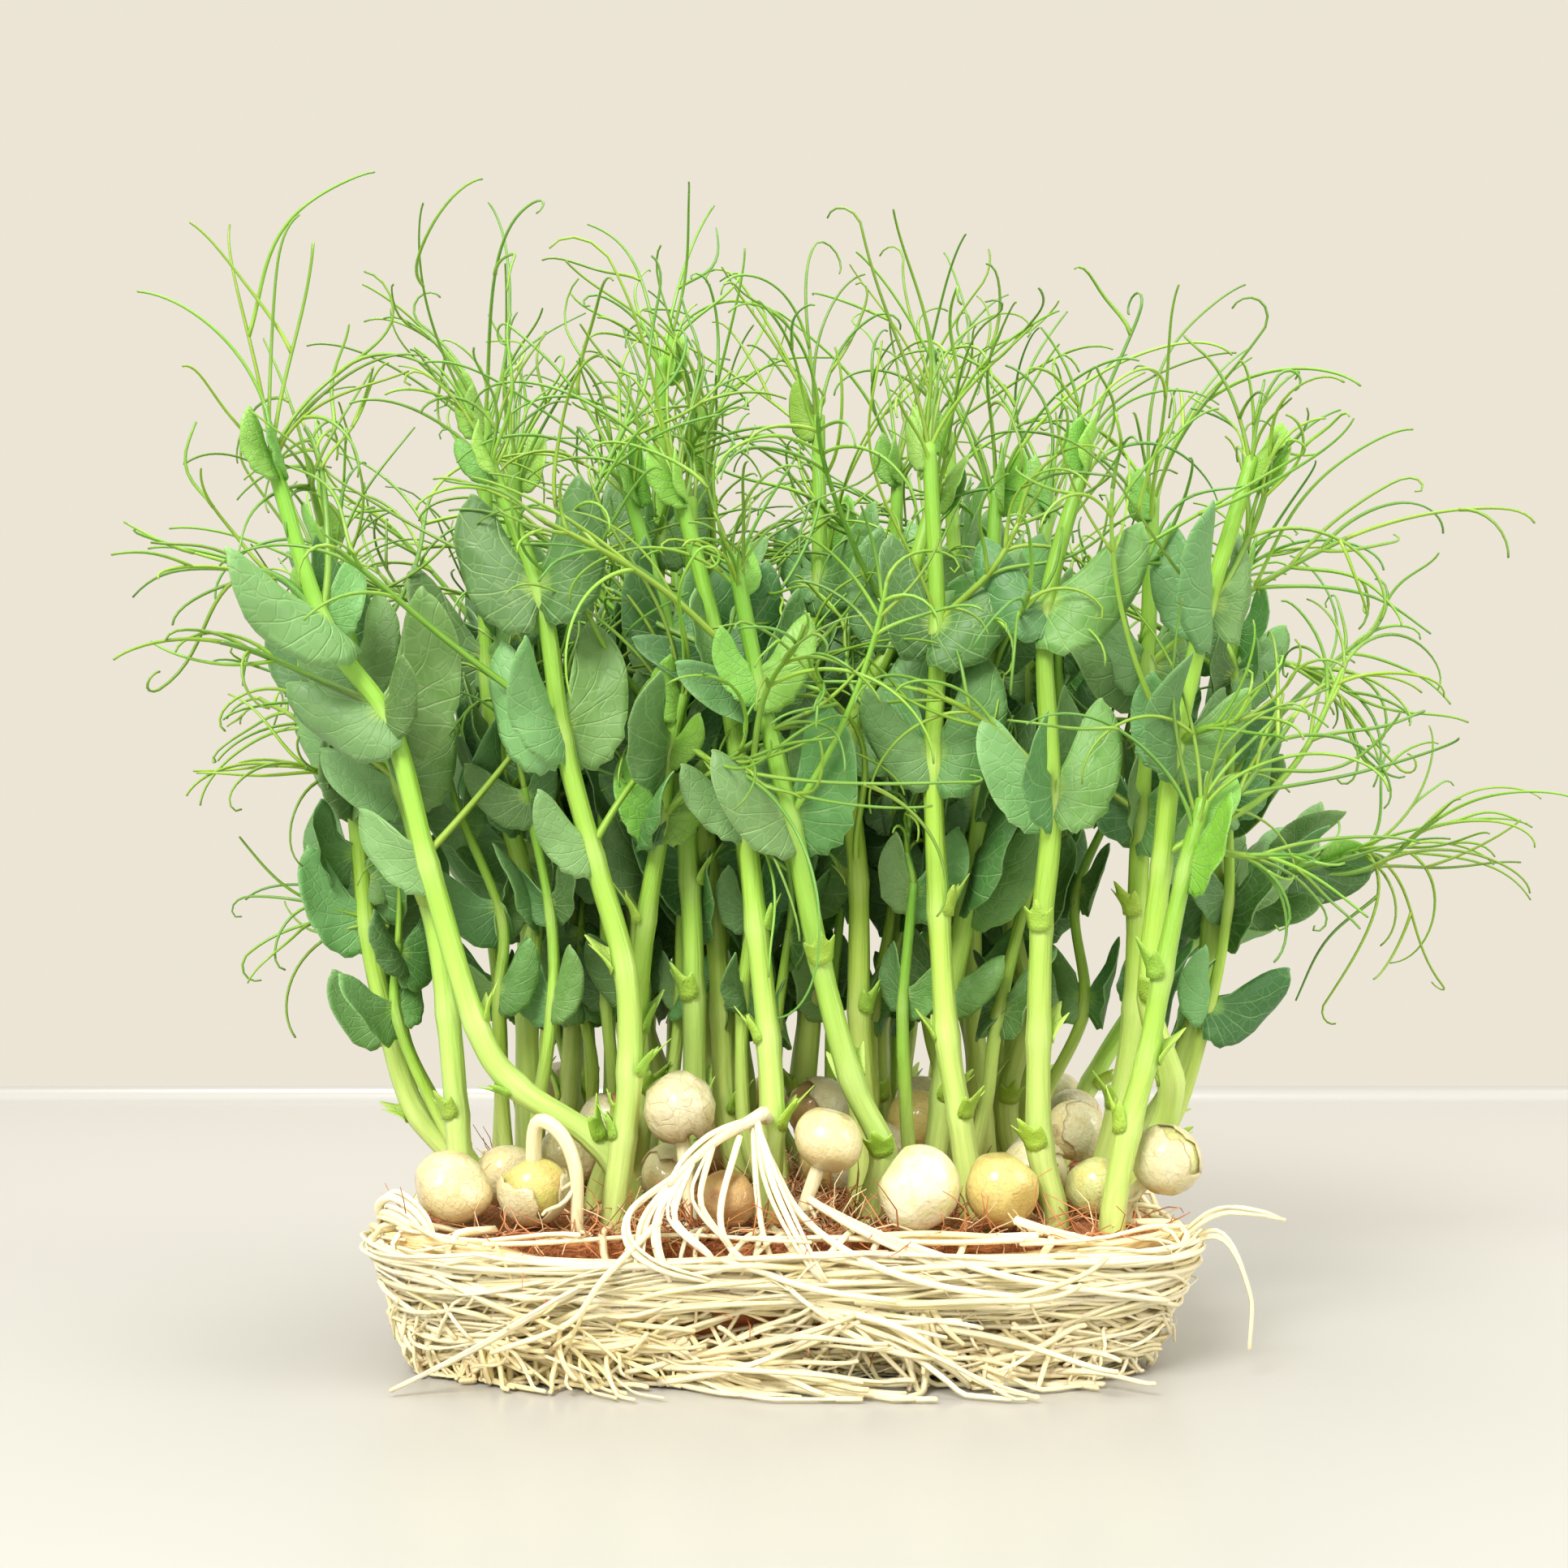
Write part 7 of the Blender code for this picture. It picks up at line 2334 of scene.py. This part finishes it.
def coir_hair_finish():
    """Husk hair: rust to dark brown, and straw for the few pale ones."""
    made, tree = new_finish("coir hair", 0.7)
    _, streak = streaks(tree, 8.0, 1.0)
    random_tone, straw, second = carried(tree, "tone")
    body = mixed(tree, random_tone, COIR_RUST, COIR_LIGHT)
    body = mixed(tree, spread(tree, second, 0.7, 1.0), body, COIR_DARK)
    body = mixed(tree, straw, body, STRAW)
    body = laid_over(tree, streak, 0.3, body, COIR_LIGHT)
    return wired(made, body, relief(tree, streak, 0.0001, 0.3))


COIR_FINISHES = [coir_slab_finish(), coir_hair_finish()]
print("coir triangles:", make_coir())

# %% [markdown]
# ## Floor, light and camera
# The block stands on a pale glossy table top in a bright room. The table ends a short way behind it, with a
# small raised edge that catches the light, and the room beyond is one plain warm white. One large soft light
# stands above and in front, and a second fills from the right.

# %% The table top
STAGE_HALF = 3.0
STAGE_BACK = 0.29
STAGE_LIP = 0.004
LIP_STEPS = 8
FLOOR_CREAM = colour(0.43, 0.427, 0.41)
FLOOR_SHADE = colour(0.40, 0.393, 0.368)


def stage_finish():
    """A pale top with a very faint cloudiness."""
    made, tree = new_finish("pale stage", 0.3)
    place = node(tree, "TexCoord", {}).outputs["Object"]
    cloud = patches(tree, place, 3.0, 0.5, 0.3)
    body = laid_over(tree, cloud, 0.3, FLOOR_CREAM, FLOOR_SHADE)
    return wired(made, body)


def make_stage():
    """A floor whose back edge bends up a few millimetres."""
    profile = [(-STAGE_HALF, 0.0), (STAGE_BACK, 0.0)]
    for i in range(1, LIP_STEPS + 1):
        angle = math.pi / 2 * i / LIP_STEPS
        profile.append((STAGE_BACK + STAGE_LIP * math.sin(angle), STAGE_LIP * (1 - math.cos(angle))))
    points = [(x, y, z) for y, z in profile for x in (-STAGE_HALF, STAGE_HALF)]
    faces = [(2 * i, 2 * i + 1, 2 * i + 3, 2 * i + 2) for i in range(len(profile) - 1)]
    mesh = bpy.data.meshes.new("stage")
    mesh.from_pydata(points, [], faces)
    mesh.shade_smooth()
    mesh.materials.append(stage_finish())
    stage = bpy.data.objects.new("stage", mesh)
    bpy.context.scene.collection.objects.link(stage)


make_stage()
print("table top reaches back to:", STAGE_BACK)

# %% [markdown]
# Large lights close by give soft shadows, like a bright room. The world's plain colour is the room itself.

# %% Light
MIDDLE = (0.0, 0.0, 0.07)
# Each light: name, place, size, power and tint.
LIGHTS = (
    ("front light", (-0.35, -0.75, 0.75), 0.5, 14.8, (1.0, 0.985, 0.96)),
    ("side light", (0.8, -0.25, 0.45), 0.6, 4.6, (1.0, 0.97, 0.92)),
    ("top light", (0.0, 0.15, 1.0), 0.8, 5.4, (1.0, 0.99, 0.96)),
)


def area_light(name, place, size, power, tint):
    """A soft round light that faces the middle of the bed."""
    data = bpy.data.lights.new(name, "AREA")
    data.shape, data.size, data.energy, data.color = "DISK", size, power, tint
    lamp = bpy.data.objects.new(name, data)
    bpy.context.scene.collection.objects.link(lamp)
    way = np.array(MIDDLE) - np.array(place)
    lamp.location = place
    lamp.rotation_euler = (math.acos(-way[2] / np.linalg.norm(way)), 0.0, math.atan2(-way[0], way[1]))


for light in LIGHTS:
    area_light(*light)
ROOM_CREAM = colour(0.84, 0.785, 0.67)
world = bpy.data.worlds.new("warm room")
world.use_nodes = True
fill(world.node_tree, world.node_tree.nodes["Background"], {"Color": ROOM_CREAM, "Strength": 1.0})
bpy.context.scene.world = world
bpy.context.scene.view_settings.view_transform = "Standard"
print("lights:", [light[0] for light in LIGHTS])

# %% [markdown]
# The camera stands where the photographer stood, a little above the peas, and looks very slightly up.

# %% Camera
# The photograph is square. Its horizon, the objects' sizes in it and the tilt of the upright lines give the
# lens.
PHOTO_SIDE = 1932
FOCAL_PIXELS = 2266.0
HORIZON_DOWN = 158.0
SENSOR = 36.0
CAMERA_PLACE = (0.0, -0.263, 0.056)
camera_data = bpy.data.cameras.new("camera")
camera_data.sensor_width = SENSOR
camera_data.lens = SENSOR * FOCAL_PIXELS / PHOTO_SIDE
camera_data.clip_start = 0.01
camera = bpy.data.objects.new("camera", camera_data)
camera.location = CAMERA_PLACE
camera.rotation_euler = (math.pi / 2 + math.atan(HORIZON_DOWN / FOCAL_PIXELS), 0.0, 0.0)
bpy.context.scene.collection.objects.link(camera)
bpy.context.scene.camera = camera
print("lens in mm:", round(camera_data.lens, 1))
